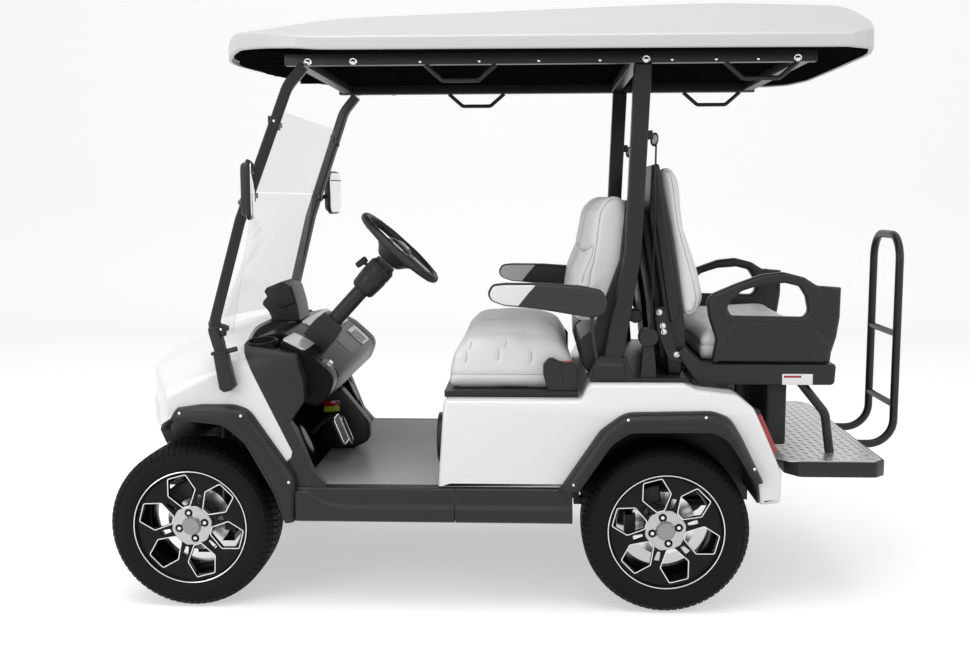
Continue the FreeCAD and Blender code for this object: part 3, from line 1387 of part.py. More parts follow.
def front_seat():
    base = box("seat_base", (f"{REAR} + box_front_top_x", f"{REAR} + box_rear_top_x - 10"),
               ("-seat_half_width", "seat_half_width"),
               ("seat_deck + lid_gap", "seat_deck + lid_gap + base_height"))
    guards = [box(f"buckle_guard_{tag}", (f"{REAR} + guard_front", f"{REAR} + guard_rear"),
                  span(sign, "cushion_half_width", "seat_half_width"),
                  ("seat_deck + lid_gap + base_height", "guard_top"))
              for sign, tag in (("-1", "left"), ("1", "right"))]
    keep(fuse("seat_base_and_guards", [base] + guards), "front_seat_base")
    body = new_body("front_cushion")
    across(body, "Pad", side_outline("cushion"), "cushion_half_width")
    seat_plane = "seat_deck + lid_gap + base_height"
    keep(rounded("front_cushion", body, [
        (corner_edges(SIDEWAYS, above=f"{seat_plane} + 2"), "pad_corner"),
        (rim_edges(["cushion_half_width"], above=f"{seat_plane} + 1"), "pad_rim")]), "front_cushion")
    side_pair("front_backrests", "front_back", "back_inner", "back_outer", PAD_STEPS)
    side_pair("front_seat_shells", "front_shell", "back_inner", "back_outer", SHELL_STEPS)
    arms = new_body("arm_pads")
    pair(arms, "Pad", side_outline("armrest"), "armrest_inner", "armrest_outer")
    soft = rounded("arm_pads", arms, [(corner_edges(SIDEWAYS), "arm_corner"),
                                      (rim_edges(["armrest_inner", "armrest_outer"]), "arm_rim")])
    stubs = new_body("arm_stubs")
    pair(stubs, "Pad", side_outline("arm_stub"), "back_outer", "armrest_inner + arm_rim")
    keep(fuse("front_armrests", [soft, stubs]), "front_armrests")


def deck_trim():
    """Black moulding on the rear deck with a boot round the foot of each pillar."""
    body = new_body("deck_trim")
    across(body, "Pad", [(f"{REAR} + box_fender_front_x + 4", "rear_deck"),
                         (f"{REAR} + box_fender_top_x + 20", "rear_deck"),
                         (f"{REAR} + box_fender_top_x + 20", "rear_deck + trim_thickness"),
                         (f"{REAR} + box_fender_front_x + 4", "rear_deck + trim_thickness")],
           "pillar_y + pillar_width / 2 + boot_margin")
    inner = "pillar_y - pillar_width / 2"
    outer = "pillar_y + pillar_width / 2"
    boots = extrude(body, "Pad", outline(body, "side", side_outline("boot"), f"{inner} - boot_margin"),
                    "pillar_width + 2 * boot_margin", both_ways=False)
    mirror(body, [boots])
    pillar_hole = extrude(body, "Pocket", outline(body, "side", side_outline("pillar"), outer),
                          "pillar_width", both_ways=False)
    mirror(body, [pillar_hole])
    keep(body, "deck_trim")


def rear_seat():
    side_pair("rear_seat_shells", "rear_shell", "back_inner", "back_outer", SHELL_STEPS)
    side_pair("rear_backrests", "rear_back", "back_inner", "back_outer", PAD_STEPS)
    tray = new_body("rear_tray")
    across(tray, "Pad", [(f"{REAR} + 85", "tray_top"), (f"{REAR} + 110", "tray_bottom"),
                         (f"{REAR} + 590", "tray_bottom"), (f"{REAR} + 586", "tray_top")],
           "tray_half_width")
    across(tray, "Pocket", [(f"{REAR} + 110 + tray_wall", "tray_bottom - 1"),
                            (f"{REAR} + 574 - tray_wall", "tray_bottom - 1"),
                            (f"{REAR} + 574 - tray_wall", "tray_top - tray_wall"),
                            (f"{REAR} + 110 + tray_wall", "tray_top - tray_wall")],
           "rail_y - post_width / 2 - 6")
    pair(tray, "Pad", side_outline("tray_arm"), "back_outer + 2", "tray_half_width")
    keep(tray, "rear_tray")
    inner = "tray_half_width - rear_arm_width"
    arms = new_body("rear_armrests")
    pair(arms, "Pad", side_outline("rear_arm"), inner, "tray_half_width")
    pair(arms, "Pocket", side_outline("rear_loop"), inner, "tray_half_width")
    keep(rounded("rear_armrests", arms, [
        (corner_edges(SIDEWAYS, above="tray_top + 1"), "rear_arm_corner"),
        (rim_edges([inner, "tray_half_width"], above="tray_top + 1"), "rear_arm_rim")]), "rear_armrests")
    reach = f"({inner} - cushion_gap)"
    cushion = box("rear_pad", (f"{REAR} + 120", f"{REAR} + 560"), (f"-{reach}", reach),
                  ("tray_top", "tray_top + rear_cushion_height"))
    keep(rounded("rear_cushion", cushion, [
        (corner_edges(SIDEWAYS, above="tray_top + 1"), "pad_corner"),
        (rim_edges([reach], above="tray_top + 1"), "pad_rim")]), "rear_cushion")
    storage = box("storage_bin", (f"{REAR} + storage_front", f"{REAR} + storage_rear"),
                  ("-storage_half", "storage_half"), ("storage_bottom", "tray_bottom"))
    keep(rounded("storage_box", storage, [(corner_edges(UPRIGHT), "dash_corner")]), "storage_box")


front_seat()
deck_trim()
rear_seat()


# ---------------------------------------------------------------- rear step
def footplate():
    body = new_body("footplate")
    front, rear = f"{REAR} + step_front", f"{REAR} + step_rear"
    plate = outline(body, "plan", [
        (front, "-(step_half_width - 60)"), (f"{front} + 40", "-step_half_width"),
        (f"{rear} - 40", "-step_half_width"), (rear, "-(step_half_width - 40)"),
        (rear, "step_half_width - 40"), (f"{rear} - 40", "step_half_width"),
        (f"{front} + 40", "step_half_width"), (front, "step_half_width - 60"),
    ], "step_top - step_thickness")
    extrude(body, "Pad", plate, "step_thickness", both_ways=False)
    soft = rounded("plate", body, [(corner_edges(UPRIGHT), "plate_corner")])
    well = box("plate_well", (f"{front} + 26", f"{rear} - 26"),
               ("-(step_half_width - 26)", "step_half_width - 26"),
               ("step_top - step_thickness - 1", "step_top - 12"))
    hollow = boolean("Cut", "plate_shell", soft, well)
    arms = [box(f"step_arm_{tag}", (f"{REAR} + rail_rear - 60", f"{REAR} + rail_rear"),
                span(sign, "rail_y - rail_width / 2", "rail_y + rail_width / 2"),
                ("floor_bottom", "step_top - 4"))
            for sign, tag in (("-1", "left"), ("1", "right"))]
    keep(fuse("footplate_on_arms", [hollow] + arms), "footplate")


def grab_bar():
    """One bent hoop on the footplate's rear edge, with cross bars."""
    foot_x, leg_x = number(f"{REAR} + step_rear"), number(f"{REAR} + grab_x")
    low, top, side = number("step_top - step_thickness / 2"), number("grab_top"), number("grab_y")
    radius, bend = number("grab_radius"), number("grab_bend")
    hoop = tube([Vector(foot_x, -side, low), Vector(leg_x, -side, low), Vector(leg_x, -side, top),
                 Vector(leg_x, side, top), Vector(leg_x, side, low), Vector(foot_x, side, low)],
                bend, radius)
    bars = [Part.makeCylinder(radius * 0.8, 2 * side, Vector(leg_x, -side, height), Vector(0, 1, 0))
            for height in (low + number("loop_low"), low + number("loop_high"))]
    solid = hoop.fuse(bars)
    keep(free_shape("grab_bar", solid), "grab_bar")


def step_braces():
    """Bent struts from the seat tray down to the footplate."""
    names_of = [(f"brace_{corner}_x", up if isinstance(up, str) else f"brace_{corner}_z")
                for corner, along, up in OUTLINES["brace"][1]]
    solids = []
    for side in (-1, 1):
        points = [Vector(number(f"{REAR} + {along}"), side * number("brace_y"), number(up))
                  for along, up in names_of]
        bar = tube(overrun(points, 40), 60, number("brace_radius"))
        solids.append(bar.common(slab(number("step_top"), number("tray_bottom"))))
    keep(free_shape("step_braces", Part.makeCompound(solids)), "step_braces")


footplate()
grab_bar()
step_braces()


# ---------------------------------------------------------------- roof and its struts


def canopy_plan(name, inset, low, high):
    """The canopy's outline from above, drawn in by the inset, as an upright block."""
    body = new_body(name)
    count = len(SECTIONS["roof"])
    right = [(f"{FRONT} + roof_{corner}_x {'+' if index < count / 2 else '-'} {inset}",
              f"roof_{corner}_y - {inset}")
             for index, corner in enumerate(SECTIONS["roof"])]
    left = [(along, f"-({sideways})") for along, sideways in reversed(right)]
    extrude(body, "Pad", outline(body, "plan", right + left, low), f"({high}) - ({low})",
            both_ways=False)
    return body


def canopy_loft(name, wall, drop):
    """Straight skins between the canopy's sections, drawn in by the wall, open below by drop."""
    body = new_body(name)
    sketches = []
    for section in SECTIONS["canopy"]:
        own = f"canopy_{section}"
        low, rim, crown, middle = [(f"canopy_half_width - {wall}", f"{own}_low - {drop}"),
                                   (f"canopy_half_width - {wall}", f"{own}_rim - {wall}"),
                                   (f"{own}_crown_y", f"{own}_crown_z - {wall}"),
                                   ("0", f"{own}_crown_z - {wall}")]
        right = ([low] + cut_corner(low, rim, crown, "canopy_cut")
                 + cut_corner(rim, crown, middle, "8 * canopy_cut"))
        left = [(f"-({sideways})", up) for sideways, up in reversed(right)]
        sketches.append(outline(body, "front", right + left, f"{FRONT} + {own}_x"))
    loft = body.newObject("PartDesign::AdditiveLoft", f"{name}_loft")
    loft.Profile = sketches[0]
    loft.Sections = sketches[1:]
    loft.Ruled = True
    return body


def canopy():
    """A hollow moulding with a rim, over a black liner."""
    plan = rounded("canopy_rim", canopy_plan("canopy_rim", "0", "canopy_rim_low", "sky"),
                   [(corner_edges(UPRIGHT, least=5), "canopy_corner")])
    outer = boolean("Common", "canopy_outer", canopy_loft("canopy_skin", "0", "0"), plan)
    inner = boolean("Common", "canopy_inner", canopy_loft("canopy_core", "canopy_wall", "40"),
                    canopy_plan("canopy_hollow", "canopy_wall", "canopy_hollow_low", "sky"))
    keep(boolean("Cut", "canopy_shell", outer, inner), "canopy")
    rail_top = "roof_rail_bottom + roof_rail_height"
    lining = new_body("lining")
    front = f"{FRONT} + roof_brow_x"
    bend = f"{FRONT} + canopy_brow_x"
    back = f"{FRONT} + canopy_end_x"
    across(lining, "Pad", [(front, f"{rail_top} + liner_rise"), (bend, rail_top), (back, rail_top),
                           (back, f"{rail_top} + liner_thickness"),
                           (bend, f"{rail_top} + liner_thickness"),
                           (front, f"{rail_top} + liner_rise + liner_thickness")], "canopy_half_width")
    keep(boolean("Common", "canopy_liner", lining,
                 canopy_plan("liner_plan", "canopy_wall", "canopy_hollow_low", "sky")), "canopy_liner")


def roof_frame():
    """Two rails and three cross bars, with grab handles under the rails."""
    handles = []
    for place, sides in (("handle_front", (-1, 1)), ("handle_rear", (-1, 1))):
        for side in sides:
            start = number(f"{FRONT} + {place}")
            length, drop = number("handle_length"), number("handle_drop")
            level, y = number("roof_rail_bottom"), side * number("roof_rail_y")
            handles.append(tube([Vector(start, y, level), Vector(start + length / 4, y, level - drop),
                                 Vector(start + length * 3 / 4, y, level - drop),
                                 Vector(start + length, y, level)], 20, number("handle_radius")))
    rails = [box(f"roof_rail_{tag}", (f"{FRONT} + strut_top_x - strut_width", f"{REAR} + rail_end"),
                 span(sign, "roof_rail_y - roof_rail_width / 2", "roof_rail_y + roof_rail_width / 2"),
                 ("roof_rail_bottom", "roof_rail_bottom + roof_rail_height"))
             for sign, tag in (("-1", "left"), ("1", "right"))]
    crosses = [box(f"roof_cross_{index}", (f"{place} - 20", f"{place} + 20"),
                   ("-roof_rail_y", "roof_rail_y"),
                   ("roof_rail_bottom + 5", "roof_rail_bottom + roof_rail_height"))
               for index, place in enumerate([f"{FRONT} + strut_top_x", f"{REAR} - 110",
                                              f"{REAR} + rail_end - 30"])]
    keep(fuse("roof_frame", rails + crosses + [free_shape("grab_handles",
                                                          Part.makeCompound(handles))]), "roof_frame")


def struts():
    solids = []
    for side in (-1, 1):
        points = [Vector(number(f"{FRONT} + strut_{corner}_x"), side * number(f"strut_{corner}_y"),
                         number(f"strut_{corner}_z")) for corner in SECTIONS["strut"]]
        bar = square_tube(overrun(points, 40), number("strut_bend"), number("strut_width"))
        long_edges = [edge for edge in bar.Edges if edge.Length > 1.5 * number("strut_width")]
        bar = bar.makeFillet(number("bar_rim"), long_edges)
        solids.append(bar.common(slab(number("strut_foot_z"), number("roof_rail_bottom"))))
    return keep(free_shape("windshield_struts", Part.makeCompound(solids)), "windshield_struts")


def glass_x(height):
    """The plane of the struts above their knee, along from the front axle."""
    slope = "(strut_top_x - strut_knee_x) / (strut_top_z - strut_knee_z)"
    return f"{FRONT} + strut_knee_x + ({height} - strut_knee_z) * {slope}"


def windshield():
    """A flat upper pane and a lower pane that bows out ahead of the struts at its foot."""
    upper = new_body("windshield_upper")
    low, high = "(glass_split + glass_gap)", "(glass_split + glass_gap + upper_pane)"
    across(upper, "Pad", [(glass_x(low), low), (f"{glass_x(low)} - glass_thickness", low),
                          (f"{glass_x(high)} - glass_thickness", high), (glass_x(high), high)],
           "glass_half")
    keep(upper, "windshield_upper")
    lower = new_body("windshield_lower")
    shares = [-1, -0.75, -0.5, -0.25, 0, 0.25, 0.5, 0.75, 1]

    def pane(base, bow, level):
        inner = [(f"{base} - {bow} * {1 - share * share}", f"glass_half * {share}") for share in shares]
        outer = [(f"{along} - glass_thickness", sideways) for along, sideways in reversed(inner)]
        return outline(lower, "plan", inner + outer, level)

    loft = lower.newObject("PartDesign::AdditiveLoft", "windshield_loft")
    loft.Profile = pane(f"{FRONT} + strut_bend_x", "glass_bow", "glass_low")
    loft.Sections = [pane(glass_x("glass_split"), "4", "glass_split")]
    loft.Ruled = True
    keep(lower, "windshield_lower")


def clamps(struts_made):
    """Blocks that hold the panes' edges to the struts."""
    blocks = []
    for name in SECTIONS["clamp"]:
        for sign, tag in (("-1", "left"), ("1", "right")):
            blocks.append(box(f"clamp_{name}_{tag}",
                              (f"{FRONT} + clamp_{name}_x - 18", f"{FRONT} + clamp_{name}_x + 26"),
                              span(sign, "glass_half", "strut_knee_y + 18"),
                              (f"clamp_{name}_z - 22", f"clamp_{name}_z + 22")))
    keep(boolean("Cut", "windshield_clamps", fuse("clamp_blocks", blocks), struts_made),
         "windshield_clamps")


def mirrors(struts_made):
    pieces = []
    for sign, tag in (("-1", "left"), ("1", "right")):
        head = box(f"mirror_{tag}", (f"{FRONT} + mirror_x - mirror_thickness / 2",
                                     f"{FRONT} + mirror_x + mirror_thickness / 2"),
                   span(sign, "mirror_y - mirror_width / 2", "mirror_y + mirror_width / 2"),
                   ("mirror_z - mirror_height / 2", "mirror_z + mirror_height / 2"))
        head = rounded(head.Name, head, [(corner_edges(Vector(1, 0, 0)), "2 * mirror_corner"),
                                         (face_edges, "mirror_corner / 2")])
        arm = box(f"mirror_arm_{tag}", (f"{glass_x('mirror_arm_z')} - 12",
                                        f"{FRONT} + mirror_x - mirror_thickness / 2 + 6"),
                  span(sign, "strut_knee_y - 14", "mirror_y - mirror_width / 2 + 10"),
                  ("mirror_arm_z - 11", "mirror_arm_z + 11"))
        pieces += [head, arm]
    keep(boolean("Cut", "mirror_pair", fuse("mirror_blocks", pieces), struts_made), "mirrors")


def lamps():
    """Headlamp lenses on the nose, tail lamps down the back edges of the fenders."""
    lens = boolean("Cut", "lens_skin", nose_cylinder("lens_outer", "-lamp_depth", "lamp_bottom",
                                                     "lamp_bottom + lamp_height"),
                   nose_cylinder("lens_inner", "0", "lamp_bottom - 5",
                                 "lamp_bottom + lamp_height + 5"))
    keep_boxes = [box(f"lens_{tag}", (f"{FRONT} + nose_x - 50", f"{FRONT} + bumper_end"),
                      span(sign, "lamp_y - lamp_half", "lamp_y + lamp_half"),
                      ("lamp_bottom", "lamp_bottom + lamp_height"))
                  for sign, tag in (("-1", "left"), ("1", "right"))]
    keep(boolean("Common", "headlamps", lens, compound("lens_boxes", keep_boxes)), "headlamps")
    tails = new_body("tail_blocks")
    pair(tails, "Pad", side_outline("tail_lamp"), "tail_y - tail_half", "tail_y + tail_half")
    keep(boolean("Cut", "tail_lamps", tails, doc.getObject("box_outer")), "tail_lamps")


def speakers():
    """Round black grilles on the front of the seat box."""
    rounds = [cylinder(f"speaker_{tag}", "x", (f"{REAR} + box_front_low_x - speaker_depth",
                                               f"{sign} * speaker_y", "speaker_z"),
                       "speaker_radius", "speaker_depth + 20")
              for sign, tag in (("-1", "left"), ("1", "right"))]
    keep(boolean("Cut", "speakers", compound("speaker_rounds", rounds),
                 doc.getObject("box_outer")), "speakers")


def seat_belts():
    """For each front seat: an anchor on the pillar, the strap, and the reel on the deck."""
    body = new_body("seat_belts")
    middle = "pillar_y"
    rear = f"{REAR} + pillar_top_rear_x - (pillar_top_rear_x - pillar_knee_rear_x) * 0.4"
    anchor = extrude(body, "Pad", outline(body, "side", [
        (rear, "belt_top - 30"), (f"{rear} + 30", "belt_top - 34"), (f"{rear} + 36", "belt_top + 24"),
        (f"{rear} + 2", "belt_top + 30")], f"{middle} - 20"), "40", both_ways=False)
    strap = extrude(body, "Pad", outline(body, "side", [
        (f"{rear} + 22", "belt_top - 30"), (f"{rear} + 26", "belt_top - 30"),
        (f"{REAR} - 60", "belt_reel_z + 60"), (f"{REAR} - 64", "belt_reel_z + 60")],
        f"{middle} - 23"), "46", both_ways=False)
    reel = extrude(body, "Pad", outline(body, "side", [
        (f"{REAR} - 100", "rear_deck + trim_thickness"), (f"{REAR} - 30", "rear_deck + trim_thickness"),
        (f"{REAR} - 30", "belt_reel_z + 60"), (f"{REAR} - 100", "belt_reel_z + 60")],
        f"{middle} - 24"), "48", both_ways=False)
    mirror(body, [anchor, strap, reel])
    keep(body, "seat_belts")


def pillars():
    inner, outer = "pillar_y - pillar_width / 2", "pillar_y + pillar_width / 2"
    side_pair("centre_pillars", "pillar", inner, outer, [(rim_edges([inner, outer]), "bar_rim")])


canopy()
roof_frame()
strut_pair = struts()
windshield()
clamps(strut_pair)
mirrors(strut_pair)
lamps()
speakers()
pillars()
seat_belts()


# ---------------------------------------------------------------- check and write
doc.recompute()
for thing in doc.Objects:
    if "Invalid" in thing.State or "Error" in thing.State:
        raise SystemExit(f"{thing.Name} failed: {thing.State}")
for label, thing in made.items():
    if thing.Shape.isNull() or not thing.Shape.isValid():
        raise SystemExit(f"{label} has no valid shape")
os.makedirs("parts", exist_ok=True)
for label, thing in made.items():
    thing.Shape.exportStep(f"parts/{label}.step")
print(len(made), "sub-parts")
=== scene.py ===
# %% [markdown]
# # A golf cart, dressed around its frame
# The frame is the cart as its maker would build it: plain solids at their real place and size.
# Each later cell gives one group of pieces its real surface. A piece that is right already keeps
# its solid and only gets a finish. A piece whose look depends on rounding, stitching or tread is
# modelled again in the same place, and rides on the same moving body.

import json
import math

import bmesh
import bpy
from mathutils import Matrix, Quaternion, Vector, bvhtree, kdtree, noise


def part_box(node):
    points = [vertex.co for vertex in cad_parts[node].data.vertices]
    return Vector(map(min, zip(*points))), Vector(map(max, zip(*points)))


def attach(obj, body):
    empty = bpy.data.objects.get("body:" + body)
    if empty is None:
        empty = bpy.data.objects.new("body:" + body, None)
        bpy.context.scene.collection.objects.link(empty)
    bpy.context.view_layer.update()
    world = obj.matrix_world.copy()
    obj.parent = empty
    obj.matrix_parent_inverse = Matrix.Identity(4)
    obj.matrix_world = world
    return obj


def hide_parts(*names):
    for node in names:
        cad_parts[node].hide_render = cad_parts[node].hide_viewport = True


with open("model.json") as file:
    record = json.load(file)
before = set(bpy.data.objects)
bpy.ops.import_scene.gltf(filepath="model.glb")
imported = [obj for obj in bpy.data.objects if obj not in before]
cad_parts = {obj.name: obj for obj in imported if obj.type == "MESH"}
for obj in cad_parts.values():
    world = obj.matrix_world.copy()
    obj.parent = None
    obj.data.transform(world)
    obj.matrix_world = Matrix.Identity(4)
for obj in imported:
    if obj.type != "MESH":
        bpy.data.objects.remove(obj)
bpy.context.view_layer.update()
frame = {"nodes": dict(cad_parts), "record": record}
nodes = frame["nodes"]
bodies_of = {node: body for body, members in frame["record"]["behaviour"]["bodies"].items()
             for node in members}
slots_of = {part["node"]: part["material_slot"] for part in frame["record"]["subparts"]}

# %% [markdown]
# ## The camera
# The cart is seen from its left side, from a little above the seats and about two and a half cart
# widths away. A lens of about 40 mm gives the mild perspective that shows some of the far side.

# %% Camera
SENSOR_WIDTH = 36.0
camera_data = bpy.data.cameras.new("camera")
camera_data.sensor_width = SENSOR_WIDTH
camera_data.lens = 40.27
camera_data.clip_end = 60.0
camera = bpy.data.objects.new("camera", camera_data)
bpy.context.scene.collection.objects.link(camera)
camera.location = (0.0563, -4.2646, 1.4389)
YAW, PITCH, ROLL = math.radians(2.608), math.radians(6.524), math.radians(-0.166)
forward = Vector((-math.sin(YAW) * math.cos(PITCH), math.cos(YAW) * math.cos(PITCH), -math.sin(PITCH)))
camera.rotation_mode = "QUATERNION"
camera.rotation_quaternion = forward.to_track_quat("-Z", "Y") @ Quaternion((0, 0, 1), ROLL)
bpy.context.scene.camera = camera

# %% [markdown]
# ## The studio
# A product picture of a white vehicle needs a pale room: a floor that runs up into the backdrop,
# a soft overhead light for the roof and the hood, and a weaker one from the side to draw the edges.
# The background's white comes from what the camera sees, and not from more light on the cart, so
# that white panels keep their shading.

# %% Studio
scene = bpy.context.scene
scene.view_settings.view_transform = "Standard"


def tree_of(holder):
    """The empty node tree of a material or world."""
    holder.use_nodes = True
    holder.node_tree.nodes.clear()
    return holder.node_tree


def add_node(tree, kind, **settings):
    """A node of a tree, with its settings and the plain values of its sockets."""
    node = tree.nodes.new(kind)
    for key, value in settings.items():
        if key in node.inputs:
            node.inputs[key].default_value = value
        else:
            setattr(node, key, value)
    return node


def seen_white(tree):
    """One where the camera, a reflection or a window looks straight at the background."""
    path = add_node(tree, "ShaderNodeLightPath")
    total = path.outputs["Is Camera Ray"]
    for ray in ("Is Glossy Ray", "Is Transmission Ray"):
        added = add_node(tree, "ShaderNodeMath", operation="MAXIMUM")
        tree.links.new(total, added.inputs[0])
        tree.links.new(path.outputs[ray], added.inputs[1])
        total = added.outputs[0]
    return total


WORLD_STRENGTH = 0.62
world = bpy.data.worlds.new("studio")
scene.world = world
tree = tree_of(world)
room = add_node(tree, "ShaderNodeBackground", Color=(1, 1, 1, 1), Strength=WORLD_STRENGTH)
seen = add_node(tree, "ShaderNodeBackground", Color=(1, 1, 1, 1), Strength=1.0)
choice = add_node(tree, "ShaderNodeMixShader")
tree.links.new(seen_white(tree), choice.inputs["Fac"])
tree.links.new(room.outputs[0], choice.inputs[1])
tree.links.new(seen.outputs[0], choice.inputs[2])
tree.links.new(choice.outputs[0], add_node(tree, "ShaderNodeOutputWorld").inputs[0])


def softbox(name, place, target, width, height, power):
    """A large area lamp that points at a target."""
    lamp = bpy.data.lights.new(name, "AREA")
    lamp.shape = "RECTANGLE"
    lamp.size, lamp.size_y = width, height
    lamp.energy = power
    holder = bpy.data.objects.new(name, lamp)
    scene.collection.objects.link(holder)
    holder.location = place
    holder.rotation_euler = (Vector(target) - Vector(place)).to_track_quat("-Z", "Y").to_euler()
    return holder


softbox("overhead", (-0.6, -1.2, 5.2), (0, 0, 0.6), 5.0, 4.0, 150)
softbox("front_side", (-4.2, -4.2, 2.6), (-0.2, 0, 0.8), 2.6, 2.6, 70)
softbox("tail_side", (4.6, -2.6, 2.4), (0.4, 0, 0.8), 2.2, 2.2, 35)

floor_mesh = bpy.data.meshes.new("floor")
reach, bend, wall = 9.0, 1.5, 5.0
profile = [(-reach, 0.0), (reach - bend, 0.0)]
profile += [(reach - bend + bend * math.sin(math.radians(angle)), bend - bend * math.cos(math.radians(angle)))
            for angle in range(10, 91, 10)]
profile += [(reach, wall)]
points = [(x, y, z) for y, z in profile for x in (-2 * reach, 2 * reach)]
faces = [(2 * row, 2 * row + 1, 2 * row + 3, 2 * row + 2) for row in range(len(profile) - 1)]
floor_mesh.from_pydata(points, [], faces)
floor_mesh.shade_smooth()
floor = bpy.data.objects.new("floor", floor_mesh)
scene.collection.objects.link(floor)
paper = bpy.data.materials.new("paper")
tree = tree_of(paper)
lit = add_node(tree, "ShaderNodeBsdfDiffuse", Color=(0.72, 0.72, 0.72, 1))
glow = add_node(tree, "ShaderNodeEmission", Color=(1, 1, 1, 1), Strength=0.48)
both = add_node(tree, "ShaderNodeAddShader")
choice = add_node(tree, "ShaderNodeMixShader")
tree.links.new(lit.outputs[0], both.inputs[0])
tree.links.new(glow.outputs[0], both.inputs[1])
tree.links.new(seen_white(tree), choice.inputs["Fac"])
tree.links.new(lit.outputs[0], choice.inputs[1])
tree.links.new(both.outputs[0], choice.inputs[2])
tree.links.new(choice.outputs[0], add_node(tree, "ShaderNodeOutputMaterial").inputs[0])
floor_mesh.materials.append(paper)

# %% [markdown]
# ## Shared surface effects
# Three effects come back in many finishes: the fine grain of moulded plastic, the pebbled grain of
# vinyl and leather, and broad uneven gloss from handling. Each is a node group, built once, with
# its own values wherever it is placed.


# %% Shader node groups
def noise_in(group, entry, place, scale_socket, detail):
    texture = add_node(group, "ShaderNodeTexNoise", Detail=detail, Roughness=0.55)
    group.links.new(place, texture.inputs["Vector"])
    group.links.new(entry.outputs[scale_socket], texture.inputs["Scale"])
    return texture.outputs["Fac"]


def surface_group(name, scale, patch, low, high, detail, relief):
    """A node group whose height comes from relief(...) and whose roughness drifts from low to high."""
    group = bpy.data.node_groups.new(name, "ShaderNodeTree")
    for socket, value in (("Scale", scale), ("Patch Scale", patch), ("Low", low), ("High", high)):
        made = group.interface.new_socket(name=socket, in_out="INPUT", socket_type="NodeSocketFloat")
        made.default_value = value
    for socket in ("Height", "Roughness"):
        group.interface.new_socket(name=socket, in_out="OUTPUT", socket_type="NodeSocketFloat")
    entry, result = add_node(group, "NodeGroupInput"), add_node(group, "NodeGroupOutput")
    place = add_node(group, "ShaderNodeTexCoord").outputs["Object"]
    group.links.new(relief(group, entry, place), result.inputs["Height"])
    spread = add_node(group, "ShaderNodeMapRange")
    group.links.new(noise_in(group, entry, place, "Patch Scale", detail), spread.inputs["Value"])
    group.links.new(entry.outputs["Low"], spread.inputs["To Min"])
    group.links.new(entry.outputs["High"], spread.inputs["To Max"])
    group.links.new(spread.outputs[0], result.inputs["Roughness"])
    return group


def fine_grain(group, entry, place):
    return noise_in(group, entry, place, "Scale", 3.0)


def pebbles(group, entry, place):
    cells = add_node(group, "ShaderNodeTexVoronoi", feature="SMOOTH_F1")
    group.links.new(place, cells.inputs["Vector"])
    group.links.new(entry.outputs["Scale"], cells.inputs["Scale"])
    return cells.outputs["Distance"]


def crossed_threads(group, entry, place):
    crossing = add_node(group, "ShaderNodeMath", operation="MAXIMUM")
    for index, direction in enumerate(("X", "Z")):
        wave = add_node(group, "ShaderNodeTexWave", bands_direction=direction)
        group.links.new(place, wave.inputs["Vector"])
        group.links.new(entry.outputs["Scale"], wave.inputs["Scale"])
        group.links.new(wave.outputs["Fac"], crossing.inputs[index])
    return crossing.outputs[0]


grain_group = surface_group("moulded_grain", 900.0, 6.0, 0.4, 0.5, 4.0, fine_grain)
hide_group = surface_group("pebbled_hide", 420.0, 5.0, 0.4, 0.55, 4.0, pebbles)
weave_group = surface_group("webbing_weave", 260.0, 8.0, 0.7, 0.85, 2.0, crossed_threads)
print("shader groups:", [group.name for group in bpy.data.node_groups])

# %% [markdown]
# ## The finishes
# Every finish is one Principled shader. Its base colour is the paint's or the plastic's own colour,
# a slow noise shifts that colour and the roughness a little, and a group's grain goes through a
# Bump node. What is the same all over, such as the coat or the metal, is set on the shader.


# %% Finishes
def finish(name, colour, group, grain_scale, depth, rough, tint=0.04, **plain):
    """A finish: colour, grain group and size, bump depth in metres, roughness low and high."""
    material = bpy.data.materials.new(name)
    tree = tree_of(material)
    shader = add_node(tree, "ShaderNodeBsdfPrincipled")
    for socket, value in plain.items():
        shader.inputs[socket.replace("_", " ")].default_value = value
    surface = add_node(tree, "ShaderNodeGroup", node_tree=group)
    surface.inputs["Scale"].default_value = grain_scale
    surface.inputs["Low"].default_value, surface.inputs["High"].default_value = rough
    tree.links.new(surface.outputs["Roughness"], shader.inputs["Roughness"])
    bump = add_node(tree, "ShaderNodeBump", Strength=0.5, Distance=depth)
    tree.links.new(surface.outputs["Height"], bump.inputs["Height"])
    tree.links.new(bump.outputs["Normal"], shader.inputs["Normal"])
    place = add_node(tree, "ShaderNodeTexCoord")
    drift = add_node(tree, "ShaderNodeTexNoise", Scale=3.0, Detail=3.0)
    tree.links.new(place.outputs["Object"], drift.inputs["Vector"])
    shades = add_node(tree, "ShaderNodeMix", data_type="RGBA")
    shades.inputs["A"].default_value = (*[part * (1 - tint) for part in colour], 1)
    shades.inputs["B"].default_value = (*[part * (1 + tint) for part in colour], 1)
    tree.links.new(drift.outputs["Fac"], shades.inputs["Factor"])
    tree.links.new(shades.outputs["Result"], shader.inputs["Base Color"])
    tree.links.new(shader.outputs[0], add_node(tree, "ShaderNodeOutputMaterial").inputs[0])
    return material


